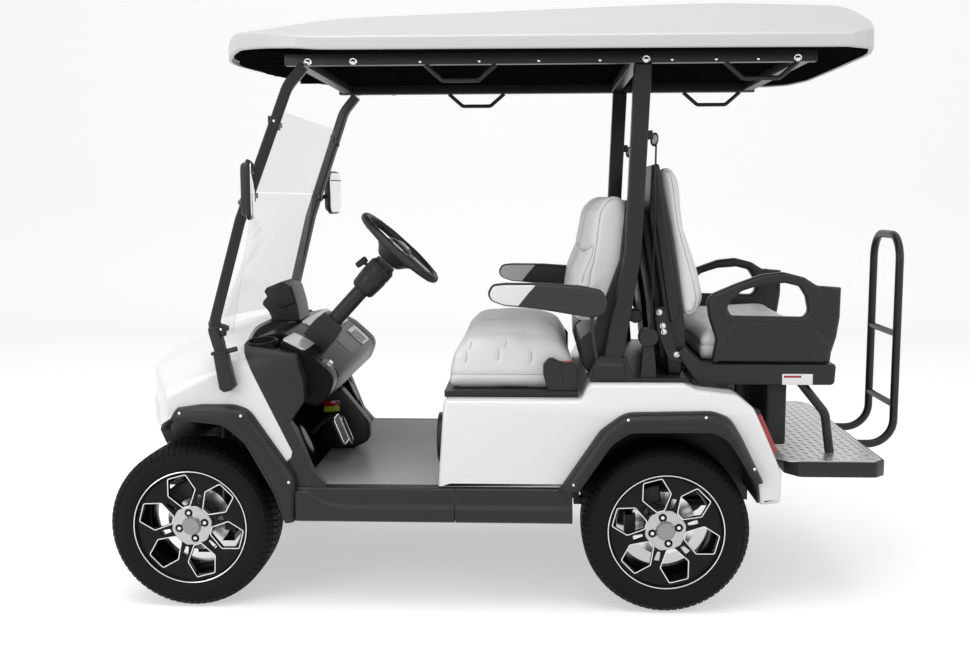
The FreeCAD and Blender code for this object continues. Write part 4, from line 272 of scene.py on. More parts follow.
white_gloss = finish("white_gloss", (0.80, 0.80, 0.80), grain_group, 60, 0.0001, (0.16, 0.24),
                     tint=0.01, Coat_Weight=0.4, Coat_Roughness=0.06)
dark_plastic = finish("dark_plastic", (0.017, 0.0175, 0.019), grain_group, 900, 0.0004, (0.34, 0.44),
                      Specular_IOR_Level=0.3)
piano_black = finish("piano_black", (0.007, 0.007, 0.008), grain_group, 100, 0.00005, (0.24, 0.34),
                     Specular_IOR_Level=0.05)
matt_black = finish("matt_black", (0.006, 0.006, 0.0065), grain_group, 500, 0.0003, (0.85, 0.95),
                    Specular_IOR_Level=0.0)
black_coat = finish("black_coat", (0.012, 0.012, 0.013), grain_group, 500, 0.0002, (0.30, 0.40),
                    Specular_IOR_Level=0.35)
wheel_black = finish("wheel_black", (0.005, 0.005, 0.0055), grain_group, 300, 0.00005, (0.16, 0.24),
                     Specular_IOR_Level=0.15)
cast_dark = finish("cast_dark", (0.035, 0.035, 0.038), grain_group, 250, 0.0006, (0.5, 0.62),
                   Metallic=0.6)
tyre_rubber = finish("tyre_rubber", (0.0055, 0.0055, 0.006), grain_group, 500, 0.0003, (0.6, 0.75),
                     Specular_IOR_Level=0.15)
pale_vinyl = finish("pale_vinyl", (0.78, 0.775, 0.765), hide_group, 420, 0.0006, (0.36, 0.48),
                    tint=0.02)
grained_black = finish("grained_black", (0.012, 0.012, 0.013), hide_group, 500, 0.0008, (0.42, 0.55))
canopy_grey = finish("canopy_grey", (0.60, 0.605, 0.615), grain_group, 200, 0.0002, (0.3, 0.4),
                     tint=0.01)

# The roof's upward faces are painted a darker grey: painted shade on the top, which the overhead lamp lights
# most.
tree = canopy_grey.node_tree
upward = add_node(tree, "ShaderNodeSeparateXYZ")
tree.links.new(add_node(tree, "ShaderNodeNewGeometry").outputs["Normal"], upward.inputs["Vector"])
painted_top_shade_mask = add_node(tree, "ShaderNodeMapRange", **{"From Min": 0.55, "From Max": 1.0})
tree.links.new(upward.outputs["Z"], painted_top_shade_mask.inputs["Value"])
painted_top_shade_mix = add_node(tree, "ShaderNodeMix", data_type="RGBA")
painted_top_shade_mix.inputs["B"].default_value = (0.40, 0.402, 0.408, 1)
shader = next(node for node in tree.nodes if node.type == "BSDF_PRINCIPLED")
tree.links.new(shader.inputs["Base Color"].links[0].from_socket, painted_top_shade_mix.inputs["A"])
tree.links.new(painted_top_shade_mask.outputs["Result"], painted_top_shade_mix.inputs["Factor"])
tree.links.new(painted_top_shade_mix.outputs["Result"], shader.inputs["Base Color"])

floor_rubber = finish("floor_rubber", (0.02, 0.02, 0.021), grain_group, 300, 0.0008, (0.5, 0.62))
tread_metal = finish("tread_metal", (0.60, 0.60, 0.61), grain_group, 200, 0.0003, (0.28, 0.42),
                     Metallic=0.9)
bright_metal = finish("bright_metal", (0.72, 0.72, 0.73), grain_group, 400, 0.0001, (0.2, 0.3),
                      Metallic=1.0)
machined_metal = finish("machined_metal", (0.46, 0.46, 0.47), grain_group, 700, 0.0001,
                        (0.24, 0.36), tint=0.12, Metallic=1.0)
webbing = finish("webbing", (0.012, 0.012, 0.013), weave_group, 260, 0.0006, (0.7, 0.85))
red_lens = finish("red_lens", (0.35, 0.008, 0.01), grain_group, 60, 0.0002, (0.08, 0.14),
                  Coat_Weight=0.6, Coat_Roughness=0.03)
thread_grey = finish("thread_grey", (0.34, 0.335, 0.325), grain_group, 900, 0.0002, (0.6, 0.7))
cap_grey = finish("cap_grey", (0.30, 0.30, 0.31), grain_group, 500, 0.0003, (0.45, 0.55), Metallic=0.5)
battery_case = finish("battery_case", (0.02, 0.02, 0.024), grain_group, 400, 0.0003, (0.4, 0.5))


def glass_finish(name, colour, alpha):
    """Thin clear glass: mostly see-through, with its own reflection."""
    material = bpy.data.materials.new(name)
    tree = tree_of(material)
    shader = add_node(tree, "ShaderNodeBsdfPrincipled", IOR=1.45, Roughness=0.03, Alpha=alpha)
    shader.inputs["Base Color"].default_value = (*colour, 1)
    tree.links.new(shader.outputs[0], add_node(tree, "ShaderNodeOutputMaterial").inputs[0])
    material.surface_render_method = "BLENDED"
    return material


window_glass = glass_finish("window_glass", (0.42, 0.44, 0.45), 0.15)
lamp_glass = glass_finish("lamp_glass", (0.85, 0.87, 0.9), 0.5)
mirror_glass = finish("mirror_glass", (0.8, 0.82, 0.83), grain_group, 20, 0.00001, (0.02, 0.04),
                      Metallic=1.0)

FINISH_OF_SLOT = {
    "white_panel": white_gloss, "dark_plastic": dark_plastic, "black_frame": black_coat,
    "wheel_black": wheel_black, "cast_steel": cast_dark, "tyre_rubber": tyre_rubber,
    "pale_vinyl": pale_vinyl, "wheel_leather": grained_black, "canopy_grey": canopy_grey,
    "floor_rubber": floor_rubber, "tread_plate": tread_metal, "belt_webbing": webbing,
    "battery_case": battery_case, "red_lens": red_lens, "lamp_glass": lamp_glass,
    "window_glass": window_glass,
}
print("finishes:", len(bpy.data.materials) - 1)

# %% [markdown]
# ## Dressing a solid
# A solid out of a modeller has knife edges, and nothing real has: an edge is read by the thin
# highlight along it. So most solids are copied, their flat faces are joined again, and a bevel a
# few millimetres wide is put on every edge. The copy stands for the solid.


# %% Softened solids
def clean_copy(node):
    """A CAD node's mesh with its vertices welded and its flat faces whole."""
    mesh = nodes[node].data.copy()
    work = bmesh.new()
    work.from_mesh(mesh)
    bmesh.ops.remove_doubles(work, verts=work.verts, dist=1e-5)
    bmesh.ops.dissolve_limit(work, angle_limit=math.radians(0.6), use_dissolve_boundaries=False,
                             verts=work.verts, edges=work.edges)
    work.to_mesh(mesh)
    work.free()
    mesh.materials.clear()
    return mesh


def place_piece(name, shape, node, material, both=False, smooth=35, at=None):
    """Links a piece, rides it on its node's body and names its finish.

    shape is a mesh or a list of meshes to merge, both adds the mirror image, and at is a matrix that
    moves the whole. A piece that is named after its node, with _skin, stands for that node."""
    mesh = merged(name, shape, smooth) if isinstance(shape, list) else shape
    if both:
        mesh = merged(name, [mesh, other_side(mesh)], smooth)
    if at is not None:
        mesh.transform(at)
    if not mesh.materials:
        mesh.materials.append(material)
    piece = bpy.data.objects.new(name, mesh)
    scene.collection.objects.link(piece)
    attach(piece, bodies_of[node])
    if name == f"{node}_skin":
        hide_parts(node)
    return piece


def settle(piece):
    """Applies a piece's modifiers, so that its mesh is final."""
    with bpy.context.temp_override(object=piece, active_object=piece, selected_objects=[piece]):
        for modifier in list(piece.modifiers):
            bpy.ops.object.modifier_apply(modifier=modifier.name)
    return piece


def modified(mesh, kind, **settings):
    """A mesh with one modifier applied."""
    holder = bpy.data.objects.new(mesh.name, mesh)
    scene.collection.objects.link(holder)
    modifier = holder.modifiers.new("step", kind)
    for key, value in settings.items():
        setattr(modifier, key, value)
    settle(holder)
    result = holder.data
    bpy.data.objects.remove(holder)
    return result


def soften(node, width, material=None, reshape=None):
    """A bevelled copy of a solid that stands for it, reshaped first where that is given."""
    mesh = clean_copy(node)
    mesh = reshape(mesh) if reshape else mesh
    mesh = modified(mesh, "BEVEL", width=width, segments=3, limit_method="ANGLE",
                    angle_limit=math.radians(28), miter_outer="MITER_ARC", use_clamp_overlap=True)
    return place_piece(f"{node}_skin", smoothed(mesh, 40), node, material or FINISH_OF_SLOT[slots_of[node]])


def darkened(piece, chosen):
    """Matt black, as painted shade, on the faces of a piece that a rule on middle and normal picks."""
    piece.data.materials.append(matt_black)
    for face in piece.data.polygons:
        if chosen(face.center, face.normal):
            face.material_index = 1


# %% [markdown]
# ## Finishes on the solids that stay
# Everything gets the finish of its slot first. The cells that follow replace what needs more.

# %% Slot finishes
for node, solid in nodes.items():
    solid.data.materials.clear()
    solid.data.materials.append(FINISH_OF_SLOT[slots_of[node]])
    solid.data.shade_smooth()
    solid.data.set_sharp_from_angle(angle=math.radians(30))

# %% [markdown]
# ## Shaping helpers
# A rounded outline is the start of most moulded parts: corners become arcs, the outline is filled
# as a flat curve with its holes, and the curve's own bevel rounds the rims. Turned parts, such as
# tyres and nuts, are a profile spun round an axis.


# %% Outlines, sheets and turned parts
def corner_arc(before, corner, after, radius, steps, most=0.48):
    """The arc that takes a corner's place, over no more than a share of the lines beside it."""
    back, ahead = before - corner, after - corner
    turn = math.pi - back.angle(ahead)
    if turn < 1e-3 or radius <= 0:
        return [corner]
    cut = min(radius * math.tan(turn / 2), most * back.length, most * ahead.length)
    start, end = corner + back.normalized() * cut, corner + ahead.normalized() * cut
    return [start.lerp(corner, step / steps).lerp(corner.lerp(end, step / steps), step / steps)
            for step in range(steps + 1)]


def rounded(corners, radius, steps=4):
    """A closed outline with arcs at its corners. radius is one value or one for each corner."""
    corners = [Vector(corner) for corner in corners]
    count = len(corners)
    radii = radius if isinstance(radius, (list, tuple)) else [radius] * count
    result = []
    for index, corner in enumerate(corners):
        before, after = corners[index - 1], corners[(index + 1) % count]
        if min((before - corner).length, (after - corner).length) > 1e-7:
            result += corner_arc(before, corner, after, radii[index], steps)
    return result


def arced(points, radius, steps=6, most=0.48):
    """An open line through points, with its corners as arcs."""
    points = [Vector(point) for point in points]
    line = [points[0]]
    for before, corner, after in zip(points, points[1:], points[2:]):
        line += corner_arc(before, corner, after, radius, steps, most)
    return line + [points[-1]]


def grown(corners, distance):
    """An outline moved outward by a distance, corners kept sharp. It runs counter-clockwise."""
    count = len(corners)
    result = []
    for index, corner in enumerate(corners):
        before = (Vector(corner) - Vector(corners[index - 1])).normalized()
        after = (Vector(corners[(index + 1) % count]) - Vector(corner)).normalized()
        out = Vector((before.y + after.y, -before.x - after.x)).normalized()
        reach = distance / max(0.3, math.sqrt((1 + before.dot(after)) / 2))
        result.append(Vector(corner) + out * reach)
    return result


def rectangle(width, depth):
    x, y = width / 2, depth / 2
    return [(-x, -y), (x, -y), (x, y), (-x, y)]


def circle(radius, steps=48, centre=(0, 0)):
    return [Vector((centre[0] + radius * math.cos(2 * math.pi * step / steps),
                    centre[1] + radius * math.sin(2 * math.pi * step / steps)))
            for step in range(steps)]


def mesh_from(curve):
    """The mesh of a curve, which is then dropped."""
    holder = bpy.data.objects.new(curve.name, curve)
    mesh = bpy.data.meshes.new_from_object(holder)
    bpy.data.objects.remove(holder)
    bpy.data.curves.remove(curve)
    return mesh


def sheet_mesh(name, outlines, low, high, bevel=0.0, resolution=2):
    """A sheet between two heights along local Z, filled between outlines, with rounded rims."""
    curve = bpy.data.curves.new(name, "CURVE")
    curve.dimensions = "2D"
    curve.fill_mode = "BOTH"
    for outline in outlines:
        spline = curve.splines.new("POLY")
        spline.points.add(len(outline) - 1)
        for point, place in zip(spline.points, outline):
            point.co = (place[0], place[1], 0, 1)
        spline.use_cyclic_u = True
    half = (high - low) / 2
    curve.extrude = max(half - bevel, 0.0)
    curve.bevel_depth = bevel
    curve.bevel_resolution = resolution
    curve.offset = -bevel
    mesh = mesh_from(curve)
    mesh.transform(Matrix.Translation((0, 0, (low + high) / 2)))
    return weld(mesh)


def weld(mesh, distance=2e-5):
    work = bmesh.new()
    work.from_mesh(mesh)
    bmesh.ops.remove_doubles(work, verts=work.verts, dist=distance)
    bmesh.ops.recalc_face_normals(work, faces=work.faces)
    work.to_mesh(mesh)
    work.free()
    return mesh


def mesh_of(name, points, faces, distance=2e-5):
    """A mesh from plain data, welded unless distance is None."""
    mesh = bpy.data.meshes.new(name)
    mesh.from_pydata(points, [], faces)
    return mesh if distance is None else weld(mesh, distance)


def ringed(name, rings, distance=2e-5, first_cap=True):
    """A skin over rings of as many points each, capped at its ends."""
    size = len(rings[0])
    points = [point for ring in rings for point in ring]
    last = len(points) - size
    faces = [(here + index, here + (index + 1) % size, here + size + (index + 1) % size, here + size + index)
             for here in range(0, last, size) for index in range(size)]
    if first_cap:
        faces.append(tuple(range(size)))
    faces.append(tuple(range(last, len(points))))
    return mesh_of(name, points, faces, distance)


def turned(name, profile, segments=96):
    """A profile of (radius, height) points spun round local Z, closed unless it meets the axis."""
    closed = min(profile[0][0], profile[-1][0]) > 0
    points, faces = [], []
    rows = len(profile)
    for step in range(segments):
        angle = 2 * math.pi * step / segments
        points += [(radius * math.cos(angle), radius * math.sin(angle), height)
                   for radius, height in profile]
    for step in range(segments):
        here, there = step * rows, (step + 1) % segments * rows
        for row in range(rows if closed else rows - 1):
            ahead = (row + 1) % rows
            faces.append((here + row, there + row, there + ahead, here + ahead))
    return mesh_of(name, points, faces)


def merged(name, meshes, smooth=35):
    """Several meshes, or (mesh, matrix) pairs, as one."""
    work = bmesh.new()
    for entry in meshes:
        mesh, matrix = entry if isinstance(entry, tuple) else (entry, None)
        if matrix is not None:
            mesh = mesh.copy()
            mesh.transform(matrix)
        work.from_mesh(mesh)
    result = bpy.data.meshes.new(name)
    work.to_mesh(result)
    work.free()
    return smoothed(result, smooth)


def smoothed(mesh, angle=35):
    mesh.shade_smooth()
    mesh.set_sharp_from_angle(angle=math.radians(angle))
    return mesh


def spun(count, start=0.0):
    """Equally spaced turns round local Z, in radians."""
    return [start + 2 * math.pi * index / count for index in range(count)]


# %% [markdown]
# ## Tyres
# A road tyre is a turned carcass with blocks of rubber moulded on it. The carcass is a profile spun
# round the axle: bead, bulged wall and the floor of the tread's grooves. Five rows of small
# chamfered blocks stand on that floor, and the outer rows bend down over the shoulder, which is
# what gives the tyre its toothed edge.

# %% Tyres
TYRE_LOW, TYRE_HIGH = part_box("tyre_front_left")
TYRE_RADIUS = (TYRE_HIGH.z - TYRE_LOW.z) / 2
TYRE_HALF = (TYRE_HIGH.y - TYRE_LOW.y) / 2
RIM_LOW, RIM_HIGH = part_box("wheel_front_left")
RIM_RADIUS = (RIM_HIGH.z - RIM_LOW.z) / 2
RIM_HALF = (RIM_HIGH.y - RIM_LOW.y) / 2
GROOVE_DEPTH = 0.009
TREAD_PITCHES = 76
BLOCK_LENGTH = 0.82  # in pitches


def crown(height):
    """Radius of the tread's surface at a height along the axle: a slight crown, then shoulders."""
    out = abs(height) / TYRE_HALF
    return TYRE_RADIUS - 0.004 * out ** 2 - 0.050 * max(0.0, out - 0.70) ** 1.6 / 0.3


wall = [(RIM_RADIUS - 0.008, 0.80), (RIM_RADIUS + 0.004, 0.885), (RIM_RADIUS + 0.010, 0.93),
        (RIM_RADIUS + 0.013, 0.935), (RIM_RADIUS + 0.018, 0.958), (RIM_RADIUS + 0.034, 0.99),
        (RIM_RADIUS + 0.050, 0.995), (RIM_RADIUS + 0.056, 0.975), (RIM_RADIUS + 0.059, 0.972),
        (RIM_RADIUS + 0.064, 0.955), (RIM_RADIUS + 0.070, 0.930)]
floor_line = [(crown(TYRE_HALF * share) - GROOVE_DEPTH * (1 if abs(share) < 0.6 else 0.3), share)
              for share in (0.88, 0.80, 0.65, 0.45, 0.2, 0, -0.2, -0.45, -0.65, -0.80, -0.88)]
section = ([(radius, share * TYRE_HALF) for radius, share in wall]
           + [(radius, share * TYRE_HALF) for radius, share in floor_line]
           + [(radius, -share * TYRE_HALF) for radius, share in reversed(wall)])
carcass = turned("tyre_carcass", section, segments=120)

TREAD_ROWS = [  # low and high edge as a share of the half width, skew and offset in pitches
    (-0.945, -0.64, 0.10, 0.0), (-0.60, -0.24, 0.34, 0.45), (-0.20, 0.20, -0.30, 0.2),
    (0.24, 0.60, 0.34, 0.55), (0.64, 0.945, 0.10, 0.1),
]


def tread_block(points, faces, low, high, start, end, skew):
    """One block: a foot on the groove floor, a full-size ring and an inset top."""
    levels = [(-GROOVE_DEPTH - 0.001, 0.0), (-0.0012, 0.0), (0.0, 0.0014)]
    sides = 3 if high - low > 0.25 and max(abs(low), abs(high)) > 0.9 else 1
    first = len(points)
    ring = [(low, start)] + [(low + (high - low) * step / sides, start) for step in range(1, sides)]
    ring += [(high, start), (high, end)]
    ring += [(low + (high - low) * step / sides, end) for step in range(sides - 1, 0, -1)]
    ring += [(low, end)]
    middle = (low + high) / 2
    pitch = 2 * math.pi / TREAD_PITCHES
    for rise, inset in levels:
        for share, turn in ring:
            height = share * TYRE_HALF
            side = math.copysign(inset, middle - share) if share in (low, high) else 0.0
            radius = crown(height) + rise
            angle = (turn + skew * (share - middle)) * pitch
            angle += math.copysign(inset / TYRE_RADIUS, (start + end) / 2 - turn)
            points.append((radius * math.cos(angle), radius * math.sin(angle), height + side))
    size = len(ring)
    for level in range(2):
        for index in range(size):
            ahead = (index + 1) % size
            base = first + level * size
            faces.append((base + index, base + ahead, base + size + ahead, base + size + index))
    top = first + 2 * size
    half = size // 2
    for step in range(half - 1):
        faces.append((top + step, top + step + 1, top + size - 2 - step, top + size - 1 - step))


points, faces = [], []
for low, high, skew, offset in TREAD_ROWS:
    for pitch in range(TREAD_PITCHES):
        tread_block(points, faces, low, high, pitch + offset, pitch + offset + BLOCK_LENGTH, skew * 2)
blocks = mesh_of("tread_blocks", points, faces, 1e-7)
tyre_mesh = merged("tyre_tread", [carcass, blocks], smooth=30)
tyre_mesh.materials.append(tyre_rubber)


def wheel_matrix(corner):
    """Wheel space, with local Z out of the cart, placed on one axle end."""
    low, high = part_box(f"tyre_{corner}")
    turn = Matrix.Rotation(math.radians(90), 4, "X")
    if "right" in corner:
        turn = Matrix.Rotation(math.pi, 4, "Z") @ turn
    return Matrix.Translation((low + high) / 2) @ turn


CORNERS = ("front_left", "front_right", "rear_left", "rear_right")


def on_each_wheel(name, shape, material, replaced=None, smooth=35):
    """The same mesh, or merged meshes, on the four wheels, riding on each wheel's body."""
    mesh = merged(name, shape, smooth) if isinstance(shape, list) else shape
    if not mesh.materials:
        mesh.materials.append(material)
    for corner in CORNERS:
        piece = bpy.data.objects.new(f"{name}_{corner}", mesh)
        scene.collection.objects.link(piece)
        piece.matrix_world = wheel_matrix(corner)
        node = f"{replaced or 'wheel'}_{corner}"
        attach(piece, bodies_of[node])
        if replaced:
            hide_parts(node)


on_each_wheel("tyre_tread", tyre_mesh, tyre_rubber, replaced="tyre")
print("tyre:", len(tyre_mesh.polygons), "faces")

# %% [markdown]
# ## Wheels
# The cast wheel is gloss black with thin machined lines round each window and a bright turned hub.
# The spoke face is one sheet with six kite-shaped windows and six narrow slots cut in it. The
# bright lines are separate thin frames on its face, because a clean line needs its own edge.

# %% Wheel spokes and rim
WINDOW_TURNS = spun(6, math.radians(45))
SPOKE_TURNS = spun(6, math.radians(15))
WINDOW = [(0.072, -0.013), (0.124, -0.049), (0.182, -0.032), (0.182, 0.032), (0.124, 0.049),
          (0.072, 0.013)]
SLOT = [(0.080, -0.0065), (0.116, -0.0105), (0.116, 0.0105), (0.080, 0.0065)]
FACE_RADIUS = 0.190
LIP = 0.93 * TYRE_HALF + 0.002
FACE_FRONT = 0.084
FACE_BACK = 0.062
LINE_WIDTH = 0.0034


def turned_outline(outline, angle):
    return [Matrix.Rotation(angle, 2) @ Vector(corner) for corner in outline]


def dished(mesh):
    """The spokes lean outward towards the rim."""
    for vertex in mesh.vertices:
        radius = math.hypot(vertex.co.x, vertex.co.y)
        vertex.co.z += 0.009 * max(0.0, radius - 0.062) / (FACE_RADIUS - 0.062)
    return mesh


windows = [rounded(turned_outline(WINDOW, angle), 0.007, 3) for angle in WINDOW_TURNS]
slots = [rounded(turned_outline(SLOT, angle), 0.005, 3) for angle in SPOKE_TURNS]
spokes = dished(sheet_mesh("spokes", [circle(FACE_RADIUS, 96)] + windows + slots,
                           FACE_BACK, FACE_FRONT, bevel=0.0022))
rim_profile = [
    (FACE_RADIUS - 0.002, FACE_BACK), (FACE_RADIUS - 0.001, FACE_FRONT + 0.006),
    (RIM_RADIUS + 0.001, LIP - 0.005), (RIM_RADIUS + 0.004, LIP), (RIM_RADIUS + 0.009, LIP),
    (RIM_RADIUS + 0.010, LIP - 0.004), (RIM_RADIUS, RIM_HALF - 0.010), (RIM_RADIUS - 0.013, RIM_HALF - 0.014),
    (RIM_RADIUS - 0.016, -RIM_HALF + 0.014), (RIM_RADIUS, -RIM_HALF + 0.008), (RIM_RADIUS, -RIM_HALF),
    (RIM_RADIUS - 0.010, -RIM_HALF + 0.004), (RIM_RADIUS - 0.022, -RIM_HALF + 0.030),
    (RIM_RADIUS - 0.030, -0.02), (RIM_RADIUS - 0.030, 0.02),
    (RIM_RADIUS - 0.022, FACE_BACK - 0.014),
]
rim = turned("rim", rim_profile, segments=120)
on_each_wheel("wheel_spokes", [spokes, rim], wheel_black, replaced="wheel")

# %% Machined lines, hub, cap and nuts
lines = []
for angle, window in zip(WINDOW_TURNS, windows):
    around = rounded(turned_outline(grown(WINDOW, LINE_WIDTH), angle), 0.009, 3)
    line = sheet_mesh("line", [around, window], FACE_FRONT - 0.001, FACE_FRONT + 0.0012, 0.0004, 1)
    lines.append(dished(line))
ring = turned("rim_line", [(RIM_RADIUS + 0.0035 + out, LIP + rise) for out, rise in (
    (0, -0.002), (0.0003, 0.0004), (0.0019, 0.0012), (0.0036, 0.0006), (0.0038, -0.002))], segments=120)
on_each_wheel("wheel_lines", lines + [ring], bright_metal)

NUT_TURNS = spun(4, math.radians(13))
NUT_CIRCLE = 0.047
lobes = []
for index in range(12):
    at_window = index % 2 == 0
    angle = math.radians(45 + 30 * index)
    reach = 0.070 if at_window else 0.073
    spread = 0.30 if at_window else 0.10
    for side in (-1, 1):
        lobes.append(Vector((math.cos(angle + side * spread / 2) * reach,
                             math.sin(angle + side * spread / 2) * reach)))
holes = [circle(0.0125, 20, (NUT_CIRCLE * math.cos(turn), NUT_CIRCLE * math.sin(turn)))
         for turn in NUT_TURNS]
hub = sheet_mesh("hub", [rounded(lobes, 0.006, 2)] + holes, FACE_BACK, FACE_FRONT + 0.003, 0.0025)
cone = turned("hub_cone", [(0.0, FACE_FRONT - 0.004), (0.036, FACE_FRONT - 0.002),
                           (0.035, FACE_FRONT + 0.003), (0.031, FACE_FRONT + 0.010),
                           (0.0, FACE_FRONT + 0.010)], 48)
on_each_wheel("wheel_hub", [hub, cone], machined_metal, smooth=40)
cap = turned("cap", [(0.0, FACE_FRONT + 0.008), (0.030, FACE_FRONT + 0.008), (0.030, FACE_FRONT + 0.015),
                     (0.0285, FACE_FRONT + 0.017), (0.0, FACE_FRONT + 0.0175)], 48)
on_each_wheel("wheel_cap", [cap], cap_grey, smooth=40)
nut = turned("nut", [(0.0, FACE_BACK + 0.004), (0.0085, FACE_BACK + 0.004), (0.0085, FACE_FRONT + 0.001),
                     (0.0065, FACE_FRONT + 0.004), (0.0, FACE_FRONT + 0.0045)], 6)
cup = turned("cup", [(0.0125, FACE_FRONT + 0.0035), (0.0142, FACE_FRONT + 0.004), (0.0142, FACE_FRONT),
                     (0.0122, FACE_FRONT - 0.004), (0.0118, FACE_BACK + 0.003), (0.0, FACE_BACK + 0.003)],
             24)
places = [Matrix.Translation((NUT_CIRCLE * math.cos(turn), NUT_CIRCLE * math.sin(turn), 0))
          for turn in NUT_TURNS]
on_each_wheel("wheel_nuts", [(nut, place) for place in places], bright_metal)
on_each_wheel("wheel_nut_cups", [(cup, place) for place in places], piano_black)

# %% Brake discs
disc = turned("disc", [(0.066, -0.010), (0.066, -0.003), (0.0665, -0.002), (0.1145, -0.002),
                       (0.115, -0.003), (0.115, -0.010)], 72)
on_each_wheel("brake_disc", [disc], bright_metal)
hat = turned("hat", [(0.0, 0.060), (0.044, 0.060), (0.052, 0.004), (0.067, -0.001), (0.067, -0.009),
                     (0.0, -0.009)], 48)
on_each_wheel("brake_hat", [hat], cast_dark)
arc = [Vector((radius * math.cos(math.radians(turn)), radius * math.sin(math.radians(turn))))
       for radius, turns in ((0.150, range(96, 156, 5)), (0.086, range(151, 91, -5))) for turn in turns]
caliper = sheet_mesh("caliper", [arc], -0.036, 0.030, 0.006)
caliper.materials.append(cast_dark)
for corner in CORNERS:
    node = corner.replace("front", "knuckle") if "front" in corner else "rear_axle"
    piece = place_piece(f"brake_caliper_{corner}", caliper, node, cast_dark)
    piece.matrix_world = wheel_matrix(corner)
print("wheels done")

# %% [markdown]
# ## Standing sheets up
# Most of a cart's side view is made of parts with one outline and an even thickness. A sheet drawn
# flat is stood up so that its thickness runs across the cart, and the right-hand part is the left
# one mirrored. All outlines below are from an axle, because the makers measure from there too.

# %% Sheets across the cart
FRONT_AXLE = (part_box("tyre_front_left")[0].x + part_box("tyre_front_left")[1].x) / 2
REAR_AXLE = (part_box("tyre_rear_left")[0].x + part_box("tyre_rear_left")[1].x) / 2


def from_axle(axle, corners):
    """Corners given in millimetres behind an axle and over the ground, in metres."""
    return [Vector((axle + along / 1000, up / 1000)) for along, up in corners]


def turned_left(outline):
    """The outline run counter-clockwise."""
    area = sum(a[0] * b[1] - b[0] * a[1] for a, b in zip(outline, outline[1:] + outline[:1]))
    return outline if area > 0 else outline[::-1]


def upright(mesh):
    """A flat sheet stood up. Its Z becomes the distance out to the left."""
    mesh.transform(Matrix(((1, 0, 0, 0), (0, 0, -1, 0), (0, 1, 0, 0), (0, 0, 0, 1))))
    return mesh


def side_sheet(name, outlines, inner, outer, bevel, resolution=3):
    """A sheet that stands between two distances out to the left."""
    return upright(sheet_mesh(name, outlines, inner, outer, bevel, resolution))


def moulding(name, axle, corners, radius, inner, outer, bevel, steps=4, resolution=3):
    """A standing sheet from one outline in millimetres from an axle, its corners rounded."""
    return side_sheet(name, [rounded(from_axle(axle, corners), radius, steps)], inner, outer, bevel,
                      resolution)


def other_side(mesh):
    copy = mesh.copy()
    copy.transform(Matrix.Scale(-1, 4, (0, 1, 0)))
    copy.flip_normals()
    return copy


def tube_mesh(name, points, radius, resolution=4, steps=8):
    """A round bar along a smooth line through the points' hull."""
    curve = bpy.data.curves.new(name, "CURVE")
    curve.dimensions = "3D"
    spline = curve.splines.new("NURBS")
    spline.points.add(len(points) - 1)
    for entry, place in zip(spline.points, points):
        entry.co = (*place, 1)
    spline.order_u = 3
    spline.use_endpoint_u = True
    spline.resolution_u = steps
    curve.bevel_depth = radius
    curve.bevel_resolution = resolution
    curve.use_fill_caps = True
    return weld(mesh_from(curve), 1e-6)


def deformed(mesh, move):
    """Each vertex moved by a function of its place."""
    for vertex in mesh.vertices:
        vertex.co = move(vertex.co)
    return mesh


# %% [markdown]
# ## Padded parts
# A cushion starts as a block with its side outline and rounded ends. It is cut into an even mesh,
# blown up a little by a cloth simulation so that its faces crown and its edges soften, and how far
# each point may travel is capped. Seams are sewn afterwards: the surface is pulled in along a line,
# and a thread lies in the groove.

# %% Cushion blocks and inflation
def padded_block(name, corners, low, high, edge, radius):
    """A side outline with rounded corners between two distances out, its ends rounded by edge."""
    radius = radius if isinstance(radius, list) else [radius] * len(corners)
    rings = []
    for step in range(5):
        turn = math.radians(90 * step / 4)
        inset, along = edge * (1 - math.sin(turn)), edge * (1 - math.cos(turn))
        ring = rounded(grown(corners, -inset), [max(0.006, r - inset) for r in radius], 5)
        rings.append((along, ring))
    stations = [(low + along, ring) for along, ring in rings]
    stations += [(high - along, ring) for along, ring in reversed(rings)]
    return ringed(name, [[(place[0], -out, place[1]) for place in ring] for out, ring in stations])


def inflated(mesh, voxel, cap, pressure=4.0, frames=20):
    """The block as an even skin, blown up as cloth with its travel capped."""
    mesh = modified(modified(mesh, "REMESH", mode="VOXEL", voxel_size=voxel), "SMOOTH", iterations=4)
    holder = bpy.data.objects.new("pad", mesh)
    scene.collection.objects.link(holder)
    start = [vertex.co.copy() for vertex in holder.data.vertices]
    cloth = holder.modifiers.new("cloth", "CLOTH")
    cloth.settings.quality = 5
    cloth.settings.use_pressure = True
    cloth.settings.uniform_pressure_force = pressure
    cloth.settings.effector_weights.gravity = 0
    for frame_number in range(1, frames + 1):
        scene.frame_set(frame_number)
    settle(holder)
    for vertex, before in zip(holder.data.vertices, start):
        travel = vertex.co - before
        if travel.length > cap:
            vertex.co = before + travel * (cap / travel.length)
    scene.frame_set(1)
    mesh = holder.data
    bpy.data.objects.remove(holder)
    mesh = modified(modified(mesh, "SMOOTH", iterations=3), "SUBSURF", levels=1)
    mesh.shade_smooth()
    return mesh


def resampled(points, step):
    """Points spaced evenly along a polyline."""
    result = [Vector(points[0])]
    for start, end in zip(points, points[1:]):
        start, end = Vector(start), Vector(end)
        count = max(1, round((end - start).length / step))
        result += [start.lerp(end, index / count) for index in range(1, count + 1)]
    return result


def smooth_line(points, step=0.006):
    """A smooth curve near the points, as evenly spaced places."""
    line = [Vector(point) for point in points]
    for _ in range(3):
        fine = [line[0]]
        for start, end in zip(line, line[1:]):
            fine += [start.lerp(end, 0.25), start.lerp(end, 0.75)]
        line = fine + [line[-1]]
    return resampled(line, step)


def rear_line(y, corners):
    """A smooth line at a distance to the side, from corners in millimetres behind the rear axle."""
    return smooth_line([(REAR_AXLE + along / 1000, y, up / 1000) for along, up in corners])


